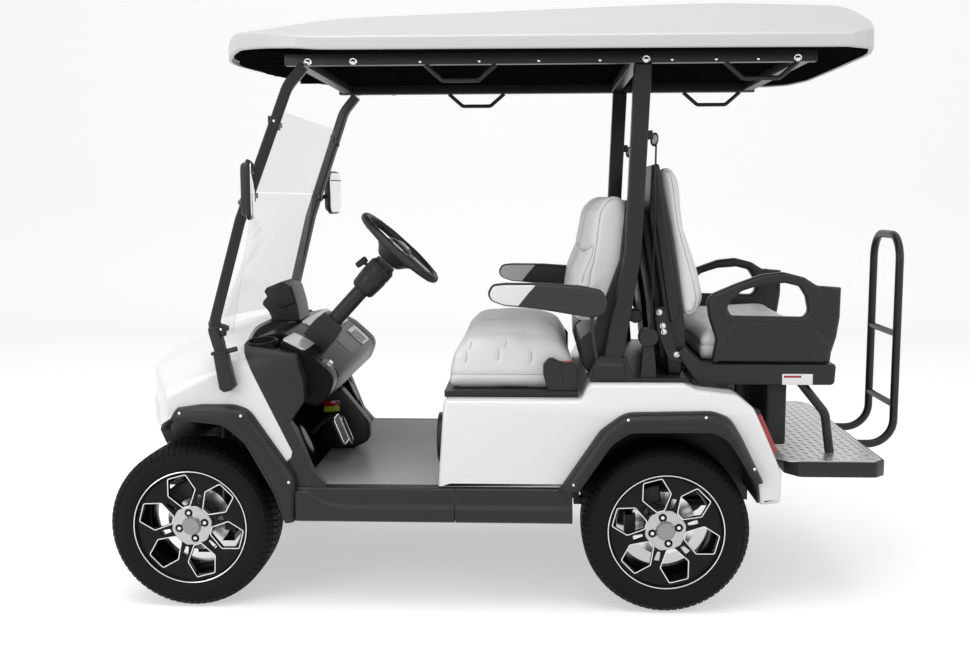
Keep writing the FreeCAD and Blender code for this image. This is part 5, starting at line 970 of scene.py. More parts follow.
def sew(mesh, lines, depth, width, thread=0.0011):
    """Pulls the surface in along lines near it, and returns threads that lie in the grooves."""
    from_surface = bvhtree.BVHTree.FromPolygons([v.co for v in mesh.vertices],
                                                [p.vertices for p in mesh.polygons])
    on_surface = [[from_surface.find_nearest(point)[0] for point in line] for line in lines]
    stitches = [point for line in on_surface for point in line]
    tree = kdtree.KDTree(len(stitches))
    for index, point in enumerate(stitches):
        tree.insert(point, index)
    tree.balance()
    normals = [vertex.normal.copy() for vertex in mesh.vertices]
    for vertex, normal in zip(mesh.vertices, normals):
        distance = tree.find(vertex.co)[2]
        if distance < 4 * width:
            vertex.co -= normal * depth * math.exp(-(distance / width) ** 2)
    mesh.update()
    after = bvhtree.BVHTree.FromPolygons([v.co for v in mesh.vertices],
                                         [p.vertices for p in mesh.polygons])
    threads = []
    for line in on_surface:
        points = []
        for point in line:
            place, normal, *_ = after.find_nearest(point)
            points.append(place + normal * thread * 0.3)
        threads.append(tube_mesh("thread", points, thread, resolution=1, steps=4))
    return threads


def place_pad(node, mesh, seams, threads, both=False):
    """A padded cover that stands for its node, and the threads in its seams."""
    cover = place_piece(f"{node}_skin", mesh, node, pale_vinyl, both, smooth=60)
    place_piece(seams, threads, node, thread_grey, both)
    print(node, len(cover.data.polygons), "faces")


# %% Front cushion
CUSHION_LOW, CUSHION_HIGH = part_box("front_cushion")
BASE_TOP = CUSHION_LOW.z
bench = [(-310, 778), (-316, 880), (-352, 930), (-440, 952), (-560, 956), (-694, 948), (-748, 902),
         (-764, 826), (-766, 778)]
bench_radii = [0.010, 0.03, 0.05, 0.05, 0.05, 0.045, 0.04, 0.02, 0.010]
half_bench = CUSHION_HIGH.y - 0.006
block = padded_block("bench", from_axle(REAR_AXLE, bench), -half_bench, half_bench, 0.030, bench_radii)


def bench_crown(place):
    """The top rises to the middle of the cart, and the sides pull in a little between corners."""
    share = abs(place.y) / half_bench
    height = (place.z - BASE_TOP) / (CUSHION_HIGH.z - BASE_TOP)
    along = (place.x - CUSHION_LOW.x) / (CUSHION_HIGH.x - CUSHION_LOW.x)
    rise = 0.012 * (1 - share ** 2) + 0.008 * math.sin(math.pi * min(1, along)) * (1 - share ** 4)
    lean = 0.012 * height ** 2 * share ** 6
    return Vector((place.x, place.y - math.copysign(lean, place.y), place.z + rise * height ** 2))


cushion = inflated(deformed(block, bench_crown), voxel=0.0115, cap=0.012)
normals = [vertex.normal.copy() for vertex in cushion.vertices]
for vertex, normal in zip(cushion.vertices, normals):
    vertex.co.z = max(vertex.co.z, BASE_TOP)
    vertex.co.y = max(-CUSHION_HIGH.y, min(CUSHION_HIGH.y, vertex.co.y))
    folds = noise.noise(Vector((vertex.co.x * 9, vertex.co.y * 5, vertex.co.z * 16)))
    rear = max(0.0, (vertex.co.x - REAR_AXLE + 0.48) / 0.17)
    vertex.co -= normal * 0.0035 * rear * (0.5 + folds)
cushion.update()
WELT_Z = BASE_TOP + 0.052
around = [(CUSHION_LOW.x, -0.5), (CUSHION_LOW.x, 0.5), (CUSHION_HIGH.x, 0.5), (CUSHION_HIGH.x, -0.5)]
welt = resampled([(x, y, WELT_Z) for x, y in around + around[:1]], 0.012)
tufts = []
for side in (-1, 1):
    for along, low, high in ((-0.700, 0.872, 0.905), (-0.585, 0.880, 0.915), (-0.470, 0.872, 0.908),
                             (-0.690, 0.930, 0.955), (-0.560, 0.934, 0.960)):
        tufts.append(resampled([(REAR_AXLE + along, side * 0.54, low),
                                (REAR_AXLE + along + 0.004, side * 0.50, high)], 0.004))
seams = sew(cushion, [welt], 0.0035, 0.006)
seams += sew(cushion, tufts, 0.005, 0.008, thread=0.0009)
centre_lines = [rear_line(y, ((-780, 850), (-740, 940), (-600, 985), (-400, 985), (-330, 930)))
                for y in (-0.012, 0.012)]
seams += sew(cushion, centre_lines, 0.004, 0.007)
place_pad("front_cushion", cushion, "front_cushion_seams", seams)

# %% Front backrests
front_back = [(-322, 1006), (-326, 1080), (-312, 1170), (-284, 1240), (-268, 1310), (-252, 1400),
              (-224, 1450), (-180, 1466), (-142, 1445), (-132, 1370), (-142, 1230), (-190, 1040), (-215, 998)]
front_back_outline = turned_left(from_axle(REAR_AXLE, front_back))
back_inner, back_outer = 0.020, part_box("front_backrests")[1].y
block = padded_block("front_back", front_back_outline, back_inner + 0.004, back_outer - 0.006, 0.032, 0.030)
middle = (back_inner + back_outer) / 2


def back_crown(place):
    """The front face bulges between its bolsters."""
    share = abs(-place.y - middle) / (back_outer - middle)
    lean = 0.010 * (1 - share ** 2)
    forward = place.x < REAR_AXLE - 0.24 + 0.3 * (place.z - 1.0)
    return Vector((place.x + (lean if forward else 0), place.y, place.z - 0.012 * share ** 3
                   * (1 if place.z > 1.4 else 0)))


back = inflated(deformed(block, back_crown), voxel=0.0090, cap=0.009)
back_edge = ((-190, 1485), (-215, 1462), (-238, 1400), (-244, 1300), (-252, 1230), (-272, 1130), (-292, 1040),
             (-300, 985))
bolster = smooth_line([(REAR_AXLE + along / 1000, -y, up / 1000)
                       for along, y, up in ((-300, 0.30, 1262), (-300, 0.42, 1262), (-268, 0.47, 1285),
                                            (-262, 0.475, 1255), (-290, 0.47, 1210), (-300, 0.47, 1150))])
cross = smooth_line([(REAR_AXLE - 0.32, -y, 1.262) for y in (0.06, 0.15, 0.24, 0.33, 0.42)])
threads = sew(back, [rear_line(y, back_edge) for y in (-0.47, 0.0)], 0.0035, 0.005)
threads += sew(back, [bolster, cross], 0.005, 0.007)
for column in (0.14, 0.343):
    threads += sew(back, [smooth_line([(REAR_AXLE - 0.34, -column, up) for up in (1.0, 1.1, 1.18, 1.255)])],
                   0.006, 0.008)
place_pad("front_backrests", back, "front_backrest_seams", threads, both=True)

# %% Rear backrests
rear_back = [(70, 1020), (34, 1248), (-24, 1556), (16, 1552), (36, 1503), (56, 1346), (110, 1181),
             (132, 1083), (114, 1030)]
rear_back_outline = turned_left(from_axle(REAR_AXLE, rear_back))
block = padded_block("rear_back", rear_back_outline, back_inner + 0.004, back_outer - 0.006, 0.028, 0.024)
back = inflated(block, voxel=0.0090, cap=0.008)
edge_seam = rear_line(-0.47, ((-14, 1566), (18, 1556), (30, 1500), (50, 1346), (100, 1181), (122, 1083),
                              (106, 1032), (70, 1018)))
other_seam = [Vector((point.x, 0.0, point.z)) for point in edge_seam]
threads = sew(back, [edge_seam, other_seam], 0.0035, 0.005)
across = smooth_line([(REAR_AXLE + 0.15, -y, 1.36) for y in (0.06, 0.15, 0.24, 0.33, 0.42)])
threads += sew(back, [across], 0.005, 0.008)
for column in (0.14, 0.343):
    threads += sew(back, [smooth_line([(REAR_AXLE + 0.16, -column, up)
                                       for up in (1.06, 1.15, 1.25, 1.355)])], 0.005, 0.008)
place_pad("rear_backrests", back, "rear_backrest_seams", threads, both=True)

# %% Rear cushion
REAR_PAD_LOW, REAR_PAD_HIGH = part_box("rear_cushion")
pad = [(REAR_PAD_LOW.x + 0.006, REAR_PAD_LOW.z), (REAR_PAD_HIGH.x - 0.006, REAR_PAD_LOW.z),
       (REAR_PAD_HIGH.x - 0.004, REAR_PAD_HIGH.z - 0.030), (REAR_PAD_HIGH.x - 0.05, REAR_PAD_HIGH.z - 0.010),
       (REAR_PAD_LOW.x + 0.03, REAR_PAD_HIGH.z - 0.026), (REAR_PAD_LOW.x + 0.006, REAR_PAD_HIGH.z - 0.05)]
block = padded_block("rear_pad", turned_left(pad), -REAR_PAD_HIGH.y + 0.006, REAR_PAD_HIGH.y - 0.006, 0.028,
                     [0.008, 0.008, 0.03, 0.04, 0.03, 0.03])
pad = inflated(block, voxel=0.011, cap=0.012)
for vertex in pad.vertices:
    vertex.co.z = max(vertex.co.z, REAR_PAD_LOW.z)
    vertex.co.x = max(vertex.co.x, REAR_PAD_LOW.x)
pad.update()
lines = [smooth_line([(REAR_PAD_LOW.x + 0.05, y, 1.05), (REAR_PAD_HIGH.x - 0.06, y, 1.05),
                      (REAR_PAD_HIGH.x + 0.02, y, 0.95)]) for y in (-0.010, 0.010)]
threads = sew(pad, lines, 0.004, 0.007)
band = resampled([(x, y, REAR_PAD_LOW.z + 0.055) for x, y in (
    (REAR_PAD_LOW.x, -0.44), (REAR_PAD_HIGH.x, -0.44), (REAR_PAD_HIGH.x, 0.44), (REAR_PAD_LOW.x, 0.44),
    (REAR_PAD_LOW.x, -0.44))], 0.012)
threads += sew(pad, [band], 0.0035, 0.006)
place_pad("rear_cushion", pad, "rear_cushion_seams", threads)

# %% [markdown]
# ## Seat shells, armrests and the tray
# These are moulded black parts with one outline each. Their rims are rounded by a bevel that is a
# good part of their thickness, so they catch a soft line of light along the edge.

# %% Front seat shells and armrests
shell = [(-262, 822), (-292, 862), (-296, 950), (-250, 985), (-160, 1228), (-140, 1440), (-116, 1425),
         (-128, 1225), (-184, 985), (-206, 872), (-236, 822)]
mesh = moulding("front_shell", REAR_AXLE, shell, 0.022, 0.026, 0.456, 0.008)
place_piece("front_seat_shells_skin", mesh, "front_seat_shells", dark_plastic, both=True)

arm_inner, arm_outer = 0.548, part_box("front_armrests")[1].y
arm = [(-619, 1120), (-604, 1151), (-560, 1156), (-420, 1155), (-300, 1147), (-228, 1132), (-206, 1090),
       (-222, 1046), (-262, 1038), (-340, 1050), (-450, 1068), (-560, 1078), (-606, 1094)]
arm_outline = rounded(from_axle(REAR_AXLE, arm), 0.034, 5)
body = side_sheet("front_arm", [arm_outline], arm_inner, arm_outer - 0.001, 0.014, 4)
post = tube_mesh("arm_post", [(REAR_AXLE - 0.262, -0.575, 1.052), (REAR_AXLE - 0.262, -0.568, 1.03),
                              (REAR_AXLE - 0.250, -0.540, 0.93), (REAR_AXLE - 0.235, -0.515, 0.86),
                              (REAR_AXLE - 0.232, -0.505, 0.835)], 0.007)
stub = moulding("arm_stub", REAR_AXLE, [(-262, 1070), (-236, 1070), (-232, 1104), (-258, 1104)], 0.008, 0.455,
                0.560, 0.003, steps=3)
place_piece("front_armrests_skin", [body, post, stub], "front_armrests", grained_black, both=True)
insert = [(-611, 1117), (-598, 1146), (-560, 1150), (-452, 1150), (-478, 1122), (-512, 1079), (-560, 1083),
          (-600, 1097)]
insert_outline = rounded(from_axle(REAR_AXLE, insert), [0.02, 0.02, 0.02, 0.004, 0.03, 0.004, 0.02, 0.02], 4)
pads = []
for low, high in ((arm_outer - 0.006, arm_outer + 0.0015), (arm_inner - 0.0015, arm_inner + 0.006)):
    pads.append(side_sheet("insert", [insert_outline], low, high, 0.0035, 3))
place_piece("armrest_inserts", pads, "front_armrests", pale_vinyl, both=True)

# %% Rear seat shells
rear_shell = [(-54, 1556), (-28, 1562), (32, 1248), (70, 1010), (74, 900), (60, 822), (14, 822),
              (-9, 1070), (-60, 1385)]
mesh = moulding("rear_shell", REAR_AXLE, rear_shell, 0.014, 0.022, 0.452, 0.008)
facet = [(-50, 1540), (-32, 1546), (18, 1250), (52, 1030), (20, 1000), (6, 1070), (-44, 1385)]
panel = moulding("shell_facet", REAR_AXLE, facet, 0.010, 0.440, 0.459, 0.007)
spine = [(-92, 1390), (-52, 1400), (6, 1070), (30, 860), (-12, 860), (-34, 1070)]
inner = moulding("shell_spine", REAR_AXLE, spine, 0.02, 0.10, 0.38, 0.012)
place_piece("rear_seat_shells_skin", [mesh, panel, inner], "rear_seat_shells", dark_plastic, both=True)

# %% Rear armrests
arm_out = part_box("rear_armrests")[1].y
arm_in = arm_out - 0.055
rear_arm = [(163, 868), (570, 868), (574, 905), (590, 960), (600, 1030), (601, 1133), (520, 1139),
            (475, 1168), (405, 1186), (330, 1178), (240, 1145), (160, 1110), (141, 1086), (150, 1030),
            (176, 950)]
loop = [(222, 1085), (212, 1062), (226, 1034), (478, 1030), (492, 1050), (482, 1100), (460, 1136),
        (410, 1148), (330, 1142), (262, 1120)]
arm_radii = [0.006, 0.006, 0.02, 0.03, 0.03, 0.004, 0.03, 0.04, 0.05, 0.05, 0.05, 0.03, 0.02, 0.03, 0.03]
outer_line = rounded(from_axle(REAR_AXLE, rear_arm), arm_radii, 5)
inner_line = rounded(from_axle(REAR_AXLE, loop), 0.024, 5)
body = side_sheet("rear_arm", [outer_line, inner_line], arm_in, arm_out - 0.003, 0.016, 4)
block = [(176, 874), (556, 874), (572, 930), (508, 1000), (470, 1012), (258, 1012), (222, 998), (182, 935)]
boss = moulding("rear_arm_block", REAR_AXLE, block, 0.012, arm_out - 0.018, arm_out, 0.008)
end = [(536, 1140), (598, 1128), (594, 1030), (586, 985), (560, 950), (520, 1010), (506, 1090)]
tail = moulding("rear_arm_tail", REAR_AXLE, end, 0.012, arm_out - 0.020, arm_out - 0.0005, 0.008)
place_piece("rear_armrests_skin", [body, boss, tail], "rear_armrests", dark_plastic, both=True)

# %% Rear seat tray
tray_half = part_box("rear_tray")[1].y
rim = [(590, 866), (586, 800), (575, 793), (118, 793), (90, 826), (60, 870), (46, 905), (56, 922),
       (76, 915), (100, 880), (130, 862), (300, 864)]
side_wall = moulding("tray_side", REAR_AXLE, rim, 0.012, tray_half - 0.032, tray_half, 0.007)
back_wall = moulding("tray_back", REAR_AXLE, [(572, 866), (588, 866), (584, 795), (568, 795)], 0.005,
                     -tray_half + 0.006, tray_half - 0.006, 0.003, steps=3, resolution=2)
deck = moulding("tray_deck", REAR_AXLE, [(100, 866), (580, 866), (580, 852), (110, 852)], 0.004,
                -tray_half + 0.01, tray_half - 0.01, 0.002, steps=3, resolution=2)
front_wall = moulding("tray_front", REAR_AXLE, [(90, 864), (104, 864), (128, 796), (112, 796)], 0.004,
                      -tray_half + 0.01, tray_half - 0.01, 0.002, steps=3, resolution=2)
walls = merged("tray", [side_wall, other_side(side_wall), back_wall, deck, front_wall])
place_piece("rear_tray_skin", walls, "rear_tray", dark_plastic)
print("seat shells, armrests and tray made")

# %% [markdown]
# ## White body panels
# The hood and the roof are crowned blocks: a grid of heights over a curved plan, with walls turned
# down round it. A subdivision surface rounds the edge between top and wall, and rows of points near
# the edge hold that rounding to a few centimetres. The panels' edges are then cut clean by solids,
# as a trimming tool cuts a moulded skin.

# %% Crowned blocks and cuts
def crowned_block(name, ys, start, end, shares, top, walls, bottom):
    """A grid of heights top(x, y) between two plan curves, its wall levels and its underside.

    walls is a list of (inset, height function) and bottom a height function."""
    rows, columns = len(shares), len(ys)
    widest = max(ys)
    points, faces = [], []

    def point_at(share, y, inset, height):
        across = y * (widest - inset) / widest
        low, high = start(abs(y)) + inset, end(abs(y)) - inset
        x = low + (high - low) * share
        return x, across, height(x, across)

    upper, lower = 0, rows * columns
    for inset, height in ((0.0, top), (walls[-1][0], bottom)):
        points += [point_at(share, y, inset, height) for share in shares for y in ys]
    edge = ([(0, column) for column in range(columns)]
            + [(row, columns - 1) for row in range(1, rows)]
            + [(rows - 1, column) for column in range(columns - 2, -1, -1)]
            + [(row, 0) for row in range(rows - 2, 0, -1)])
    for row in range(rows - 1):
        for column in range(columns - 1):
            corner = row * columns + column
            quad = (corner, corner + 1, corner + columns + 1, corner + columns)
            faces.append(tuple(upper + index for index in reversed(quad)))
            faces.append(tuple(lower + index for index in quad))
    loops = [[upper + row * columns + column for row, column in edge]]
    for inset, height in walls:
        loops.append(range(len(points), len(points) + len(edge)))
        points += [point_at(shares[row], ys[column], inset, height) for row, column in edge]
    loops.append([lower + row * columns + column for row, column in edge])
    for upper_loop, lower_loop in zip(loops, loops[1:]):
        for index in range(len(edge)):
            ahead = (index + 1) % len(edge)
            faces.append((upper_loop[index], upper_loop[ahead], lower_loop[ahead], lower_loop[index]))
    return mesh_of(name, points, faces)


def subdivided(mesh, levels=2):
    return modified(mesh, "SUBSURF", levels=levels)


def carved(mesh, tool, operation="DIFFERENCE"):
    """One mesh cut by another, or kept only inside it."""
    cutter = bpy.data.objects.new("cutter", tool)
    scene.collection.objects.link(cutter)
    result = modified(mesh, "BOOLEAN", object=cutter, operation=operation, solver="EXACT")
    bpy.data.objects.remove(cutter)
    return result


def box_mesh(low, high):
    work = bmesh.new()
    bmesh.ops.create_cube(work, size=1.0)
    for vertex in work.verts:
        vertex.co = Vector([(a + b) / 2 + c * (b - a) for a, b, c in zip(low, high, vertex.co)])
    mesh = bpy.data.meshes.new("box")
    work.to_mesh(mesh)
    work.free()
    return mesh


def along_table(table, x):
    """The row of values at a place along the cart, straight between the table's stations."""
    if x <= table[0][0]:
        return table[0][1:]
    for before, after in zip(table, table[1:]):
        if x <= after[0]:
            share = (x - before[0]) / (after[0] - before[0])
            return tuple(a + (b - a) * share for a, b in zip(before[1:], after[1:]))
    return table[-1][1:]


# %% Front cowl
BODY_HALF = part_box("rear_body")[1].y
COWL_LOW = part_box("front_cowl")[0]
NOSE_RADIUS = 1.07
HOOD = [  # behind the front axle: height at the side, at the shoulder and over the middle
    (-0.250, 0.700, 0.755, 0.800), (-0.120, 0.752, 0.824, 0.905), (0.000, 0.818, 0.880, 0.945),
    (0.128, 0.880, 0.928, 0.975), (0.520, 0.905, 0.950, 0.990),
]
SHOULDER_Y, CROWN_Y = 0.560, 0.300


def nose(y):
    return COWL_LOW.x + NOSE_RADIUS - math.sqrt(NOSE_RADIUS ** 2 - y ** 2)


def hood_height(x, y):
    side, shoulder, crown = along_table(HOOD, x - FRONT_AXLE)
    y = abs(y)
    fall = crown - (crown - shoulder) * max(0.0, y - CROWN_Y) / (SHOULDER_Y - CROWN_Y)
    bend = max(0.0, (y - 0.47) / (BODY_HALF - 0.47))
    return fall - (fall - side + 0.035) * (1 - math.sqrt(max(0.0, 1 - bend ** 2))) if y > 0.47 else fall


def hood_block(inset):
    ys = [side * y for side, run in ((-1, (0.600, 0.596, 0.580, 0.55, 0.50, 0.40, 0.30, 0.15)),
                                     (1, (0.15, 0.30, 0.40, 0.50, 0.55, 0.580, 0.596, 0.600))) for y in run]
    ys.insert(8, 0.0)
    ys = [y * (BODY_HALF - inset) / BODY_HALF for y in ys]
    shares = [0, 0.02, 0.06, 0.14, 0.25, 0.4, 0.55, 0.7, 0.85, 1]
    top = lambda x, y: hood_height(x, y * BODY_HALF / (BODY_HALF - inset)) - inset
    walls = [(0.0, lambda x, y: top(x, y) - 0.018), (0.0, lambda x, y: top(x, y) - 0.060),
             (0.0, lambda x, y: 0.60), (0.0, lambda x, y: 0.50), (0.0, lambda x, y: 0.31)]
    return subdivided(crowned_block("hood", ys, lambda y: nose(y) + inset, lambda y: FRONT_AXLE + 0.55,
                                    shares, top, walls, lambda x, y: 0.30), 2)


cowl_line = [(-270, 585), (-270, 1100), (120, 1100), (172, 985), (195, 938), (262, 795), (372, 568),
             (366, 545), (318, 508), (220, 665), (158, 700), (-43, 690), (-170, 612)]
cowl_radii = [0, 0, 0, 0.05, 0.03, 0, 0.012, 0.012, 0.006, 0.03, 0.03, 0.05, 0.03]
prism = moulding("cowl_prism", FRONT_AXLE, cowl_line, cowl_radii, -BODY_HALF - 0.02, BODY_HALF + 0.02, 0.0,
                 steps=5)
skin = carved(hood_block(0.0), hood_block(0.010))
cowl = carved(skin, prism, "INTERSECT")
cowl = smoothed(weld(cowl, 1e-5), 32)
place_piece("front_cowl_skin", cowl, "front_cowl", white_gloss)
print("front cowl:", len(cowl.polygons), "faces")

# %% Seat box and rear fenders
box_line = [(-791, 445), (-771, 754), (-295, 754), (-268, 808), (57, 808), (100, 788), (236, 772), (291, 729),
            (334, 633), (391, 501), (388, 399), (317, 392), (307, 478), (204, 660), (148, 688), (-147, 680),
            (-213, 632), (-337, 445)]
box_radii = [0.006, 0.022, 0.02, 0.03, 0.03, 0.05, 0.05, 0.05, 0.08, 0.03, 0.02, 0.01, 0.02, 0.05, 0.05, 0.04,
             0.05, 0.006]
box_outline = rounded(from_axle(REAR_AXLE, box_line), box_radii, 6)
outer = side_sheet("seat_box", [box_outline], -BODY_HALF, BODY_HALF, 0.016, 4)


def shouldered(place):
    """The fenders lean in above the seat deck."""
    rise = max(0.0, min(1.0, (place.z - 0.704) / 0.105))
    return Vector((place.x, place.y * (1 - 0.038 * rise / BODY_HALF), place.z))


outer = deformed(outer, shouldered)
WALL = 0.012
run = turned_left(from_axle(REAR_AXLE, box_line))
core = side_sheet("core", [grown(run, -WALL)], -BODY_HALF + 0.056, BODY_HALF - 0.056, 0.0)
inner_wall = 0.324
under = box_mesh((REAR_AXLE - 0.779, -inner_wall, 0.30), (REAR_AXLE + 0.42, inner_wall, 0.70))
mouth = box_mesh((REAR_AXLE - 0.779, -0.578, 0.42), (REAR_AXLE - 0.347, 0.578, 0.458))
rear_gap = box_mesh((REAR_AXLE + 0.10, -inner_wall, 0.29), (REAR_AXLE + 0.42, inner_wall, 0.82))
hatch = box_mesh((REAR_AXLE - 0.721, -0.440, 0.72), (REAR_AXLE - 0.345, 0.440, 0.76))
body = outer
for tool in (core, under, mouth, rear_gap, hatch):
    body = carved(body, tool)
body = smoothed(weld(body, 1e-5), 32)
place_piece("rear_body_skin", body, "rear_body", white_gloss)
lining = from_axle(REAR_AXLE, [(-337, 445), (-213, 632), (-147, 680), (148, 688), (204, 660), (307, 478),
                               (312, 402)])
lining = smooth_line([(point.x, point.y, 0) for point in lining], 0.03)
outer_run = [Vector((point.x, point.y)) for point in lining]
centre = Vector((REAR_AXLE, 0.30))
inner_run = [point + (centre - point).normalized() * 0.005 for point in outer_run]
arch = side_sheet("arch", [outer_run + inner_run[::-1]], 0.331, BODY_HALF - 0.002, 0.0)
place_piece("rear_arch_linings", arch, "wheel_liners", dark_plastic, both=True)
print("seat box:", len(body.polygons), "faces")

# %% [markdown]
# ## Fender flares and rockers
# A flare is a band with a D-shaped section that runs along the arch. Its two edges are lines from
# the outline, and every station between them gets the same section: a turned lip at the wheel, a
# small rolled groove, then a face that falls back to the panel.

# %% Flares
FLARE_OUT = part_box("front_fender_flares")[1].y - BODY_HALF
FLARE_SECTION = [  # share from the wheel's edge to the panel's edge, share of the flare's depth
    (0.0, -0.04), (0.0, 0.80), (0.012, 0.92), (0.04, 0.985), (0.10, 1.0), (0.135, 0.985), (0.15, 0.955),
    (0.165, 0.985), (0.22, 0.995), (0.42, 0.975), (0.62, 0.90), (0.80, 0.74), (0.92, 0.50), (0.985, 0.22),
    (1.0, 0.0), (1.0, -0.04),
]


def open_run(points, radius, count):
    """Evenly spaced places along an open line whose inner corners are arcs."""
    line = arced(points, radius, 5, 0.45)
    lengths = [0.0]
    for start, end in zip(line, line[1:]):
        lengths.append(lengths[-1] + (end - start).length)
    result = []
    for index in range(count):
        goal = min(lengths[-1] * index / (count - 1), lengths[-1] - 1e-9)
        place = max(i for i, value in enumerate(lengths[:-1]) if value <= goal)
        span = lengths[place + 1] - lengths[place]
        result.append(line[place].lerp(line[place + 1], (goal - lengths[place]) / span))
    return result


def flare_mesh(name, inner, outer, count=56):
    """The section carried between the wheel's edge and the panel's, flatter at both ends."""
    rings = []
    for index, (low, high) in enumerate(zip(open_run(inner, 0.06, count), open_run(outer, 0.08, count))):
        end = min(index, count - 1 - index) / 3
        full = 0.80 + 0.20 * math.sin(math.pi / 2 * min(1.0, end))
        rings.append([(place.x, -(BODY_HALF + out * full * FLARE_OUT), place.y)
                      for place, out in ((low.lerp(high, share), out) for share, out in FLARE_SECTION)])
    return ringed(name, rings)


front_inner = from_axle(FRONT_AXLE, [(-43, 685), (60, 678), (141, 669), (216, 607), (316, 424), (349, 325)])
front_outer = from_axle(FRONT_AXLE, [(-24, 724), (60, 736), (175, 736), (226, 719), (391, 478), (380, 325)])
mesh = flare_mesh("front_flare", front_inner, front_outer)
place_piece("front_fender_flares_skin", mesh, "front_fender_flares", dark_plastic, both=True, smooth=40)
rear_inner = from_axle(REAR_AXLE, [(-304, 445), (-194, 609), (-133, 651), (149, 653), (200, 622), (290, 478)])
rear_outer = from_axle(REAR_AXLE, [(-372, 445), (-231, 654), (-161, 706), (-134, 716), (148, 722), (208, 701),
                                   (250, 630), (324, 478)])
mesh = flare_mesh("rear_flare", rear_inner, rear_outer)
place_piece("rear_fender_flares_skin", mesh, "rear_fender_flares", dark_plastic, both=True, smooth=40)

# %% Rockers
ROCKER_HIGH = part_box("rocker_panels")[1]


def rocker_strip(name, start, end, lead):
    """A strip with a step along it, which fades out over the first part when it leads."""
    rings = []
    stations = [start + (end - start) * share
                for share in (0, .05, .07, .09, .12, .15, .18, .21, .25, .29, .33, .5, 1)]
    for x in stations:
        fade = max(0.0, min(1.0, (x - start - 0.03) / 0.14)) if lead else 1.0
        out = ROCKER_HIGH.y - 0.017
        level = 0.378 + 0.056 * (1 - fade) ** 2
        face = [(0.590, 0.325), (0.612, 0.325), (0.6205, 0.331), (ROCKER_HIGH.y, 0.343),
                (ROCKER_HIGH.y, level - 0.012), (ROCKER_HIGH.y - 0.004, level - 0.002),
                (out + 0.004, min(level + 0.006, 0.436)), (out, min(level + 0.016, 0.438)), (out, 0.439),
                (out - 0.003, 0.443), (out - 0.008, 0.445), (0.590, 0.445)]
        rings.append([(x, -y, z) for y, z in face])
    return ringed(name, rings)


joint = from_axle(FRONT_AXLE, [(920, 332), (960, 332), (960, 438), (920, 438)])
halves = [rocker_strip("rocker_front", FRONT_AXLE + 0.384, FRONT_AXLE + 0.937, True),
          rocker_strip("rocker_rear", FRONT_AXLE + 0.940, FRONT_AXLE + 1.345, False),
          side_sheet("rocker_joint", [joint], 0.592, 0.608, 0.0)]
place_piece("rocker_panels_skin", halves, "rocker_panels", dark_plastic, both=True)
print("flares and rockers made")

# %% [markdown]
# ## Canopy
# The roof is a pale moulding with a rounded rim, a raised middle and a nose that comes to a blunt
# point. It is one crowned block. Its wall turns in under the rim and ends above the black lining.

# %% Canopy
CANOPY_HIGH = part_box("canopy")[1]
CANOPY = [  # behind the front axle: underside, rim, half width and height of the raised middle
    (0.020, 1.963, 1.994, 0.380, 2.002), (0.498, 1.930, 1.972, 0.420, 2.072),
    (1.801, 1.926, 1.970, 0.440, 2.109), (2.272, 1.924, 1.968, 0.440, 2.092),
    (2.365, 1.926, 1.970, 0.420, 2.035),
]
ROOF_PLAN_FRONT = [(0.0, 0.030), (0.060, 0.035), (0.300, 0.109), (0.500, 0.191), (0.592, 0.290),
                   (0.650, 0.420)]
ROOF_PLAN_REAR = [(0.0, 2.365), (0.420, 2.362), (0.592, 2.318), (0.650, 2.230)]


def plan_x(table, y):
    return FRONT_AXLE + along_table(table, y)[0]


def canopy_low(x):
    return along_table(CANOPY, x - FRONT_AXLE)[0]


def canopy_top(x, y):
    """The roof's height: level over the raised middle, then down to the rim."""
    rim, crown_y, crown = along_table(CANOPY, x - FRONT_AXLE)[1:]
    if abs(y) <= crown_y:
        return crown
    return crown + (rim - crown) * (abs(y) - crown_y) / (CANOPY_HIGH.y - crown_y)


half = [0.0, 0.10, 0.21, 0.30, 0.38, 0.44, 0.50, 0.55, 0.592, 0.622, 0.640, 0.650]
ys = [-y for y in reversed(half[1:])] + half
shares = [0, 0.006, 0.016, 0.04, 0.09, 0.16, 0.25, 0.4, 0.55, 0.7, 0.80, 0.87, 0.925, 0.955, 0.978, 0.992, 1]
walls = [(0.0, lambda x, y: min(canopy_top(x, y), canopy_low(x) + 0.052) - 0.008),
         (0.0, lambda x, y: canopy_low(x) + 0.012), (0.0, lambda x, y: canopy_low(x) + 0.003),
         (0.003, lambda x, y: canopy_low(x)), (0.012, lambda x, y: canopy_low(x)),
         (0.014, lambda x, y: canopy_low(x) + 0.003), (0.014, lambda x, y: canopy_low(x) + 0.014)]
block = crowned_block("canopy_skin", ys, lambda y: plan_x(ROOF_PLAN_FRONT, y),
                      lambda y: plan_x(ROOF_PLAN_REAR, y), shares, canopy_top, walls,
                      lambda x, y: canopy_low(x) + 0.016)
canopy = smoothed(subdivided(block, 2), 50)
place_piece("canopy_skin", canopy, "canopy", canopy_grey)
print("canopy:", len(canopy.polygons), "faces")

# %% [markdown]
# ## Solids that only need their edges rounded
# The rest of the black parts are the right shape already.

# %% Edges
for node, width in (("inner_cowl", 0.005), ("deck_trim", 0.004), ("storage_box", 0.008),
                    ("battery_pack", 0.008), ("chassis_frame", 0.004), ("tail_lamps", 0.003)):
    piece = soften(node, width)
    print(node, len(piece.data.polygons))
    # The middle faces of the inner cowl that look back towards the seats get matt black: painted shade in the
    # footwell.
    if node == "inner_cowl":
        darkened(piece, lambda middle, normal: normal.x > 0.5 and abs(middle.y) < 0.50)

# %% [markdown]
# ## Steering wheel and column
# These are turned parts on one tilted axis, which the frame's own joint gives. The rim is a torus
# with swells for the thumbs, the spokes are a sheet cut with two windows, and the boot at the
# column's foot is a rounded square. Working in the wheel's own space keeps every number a radius.

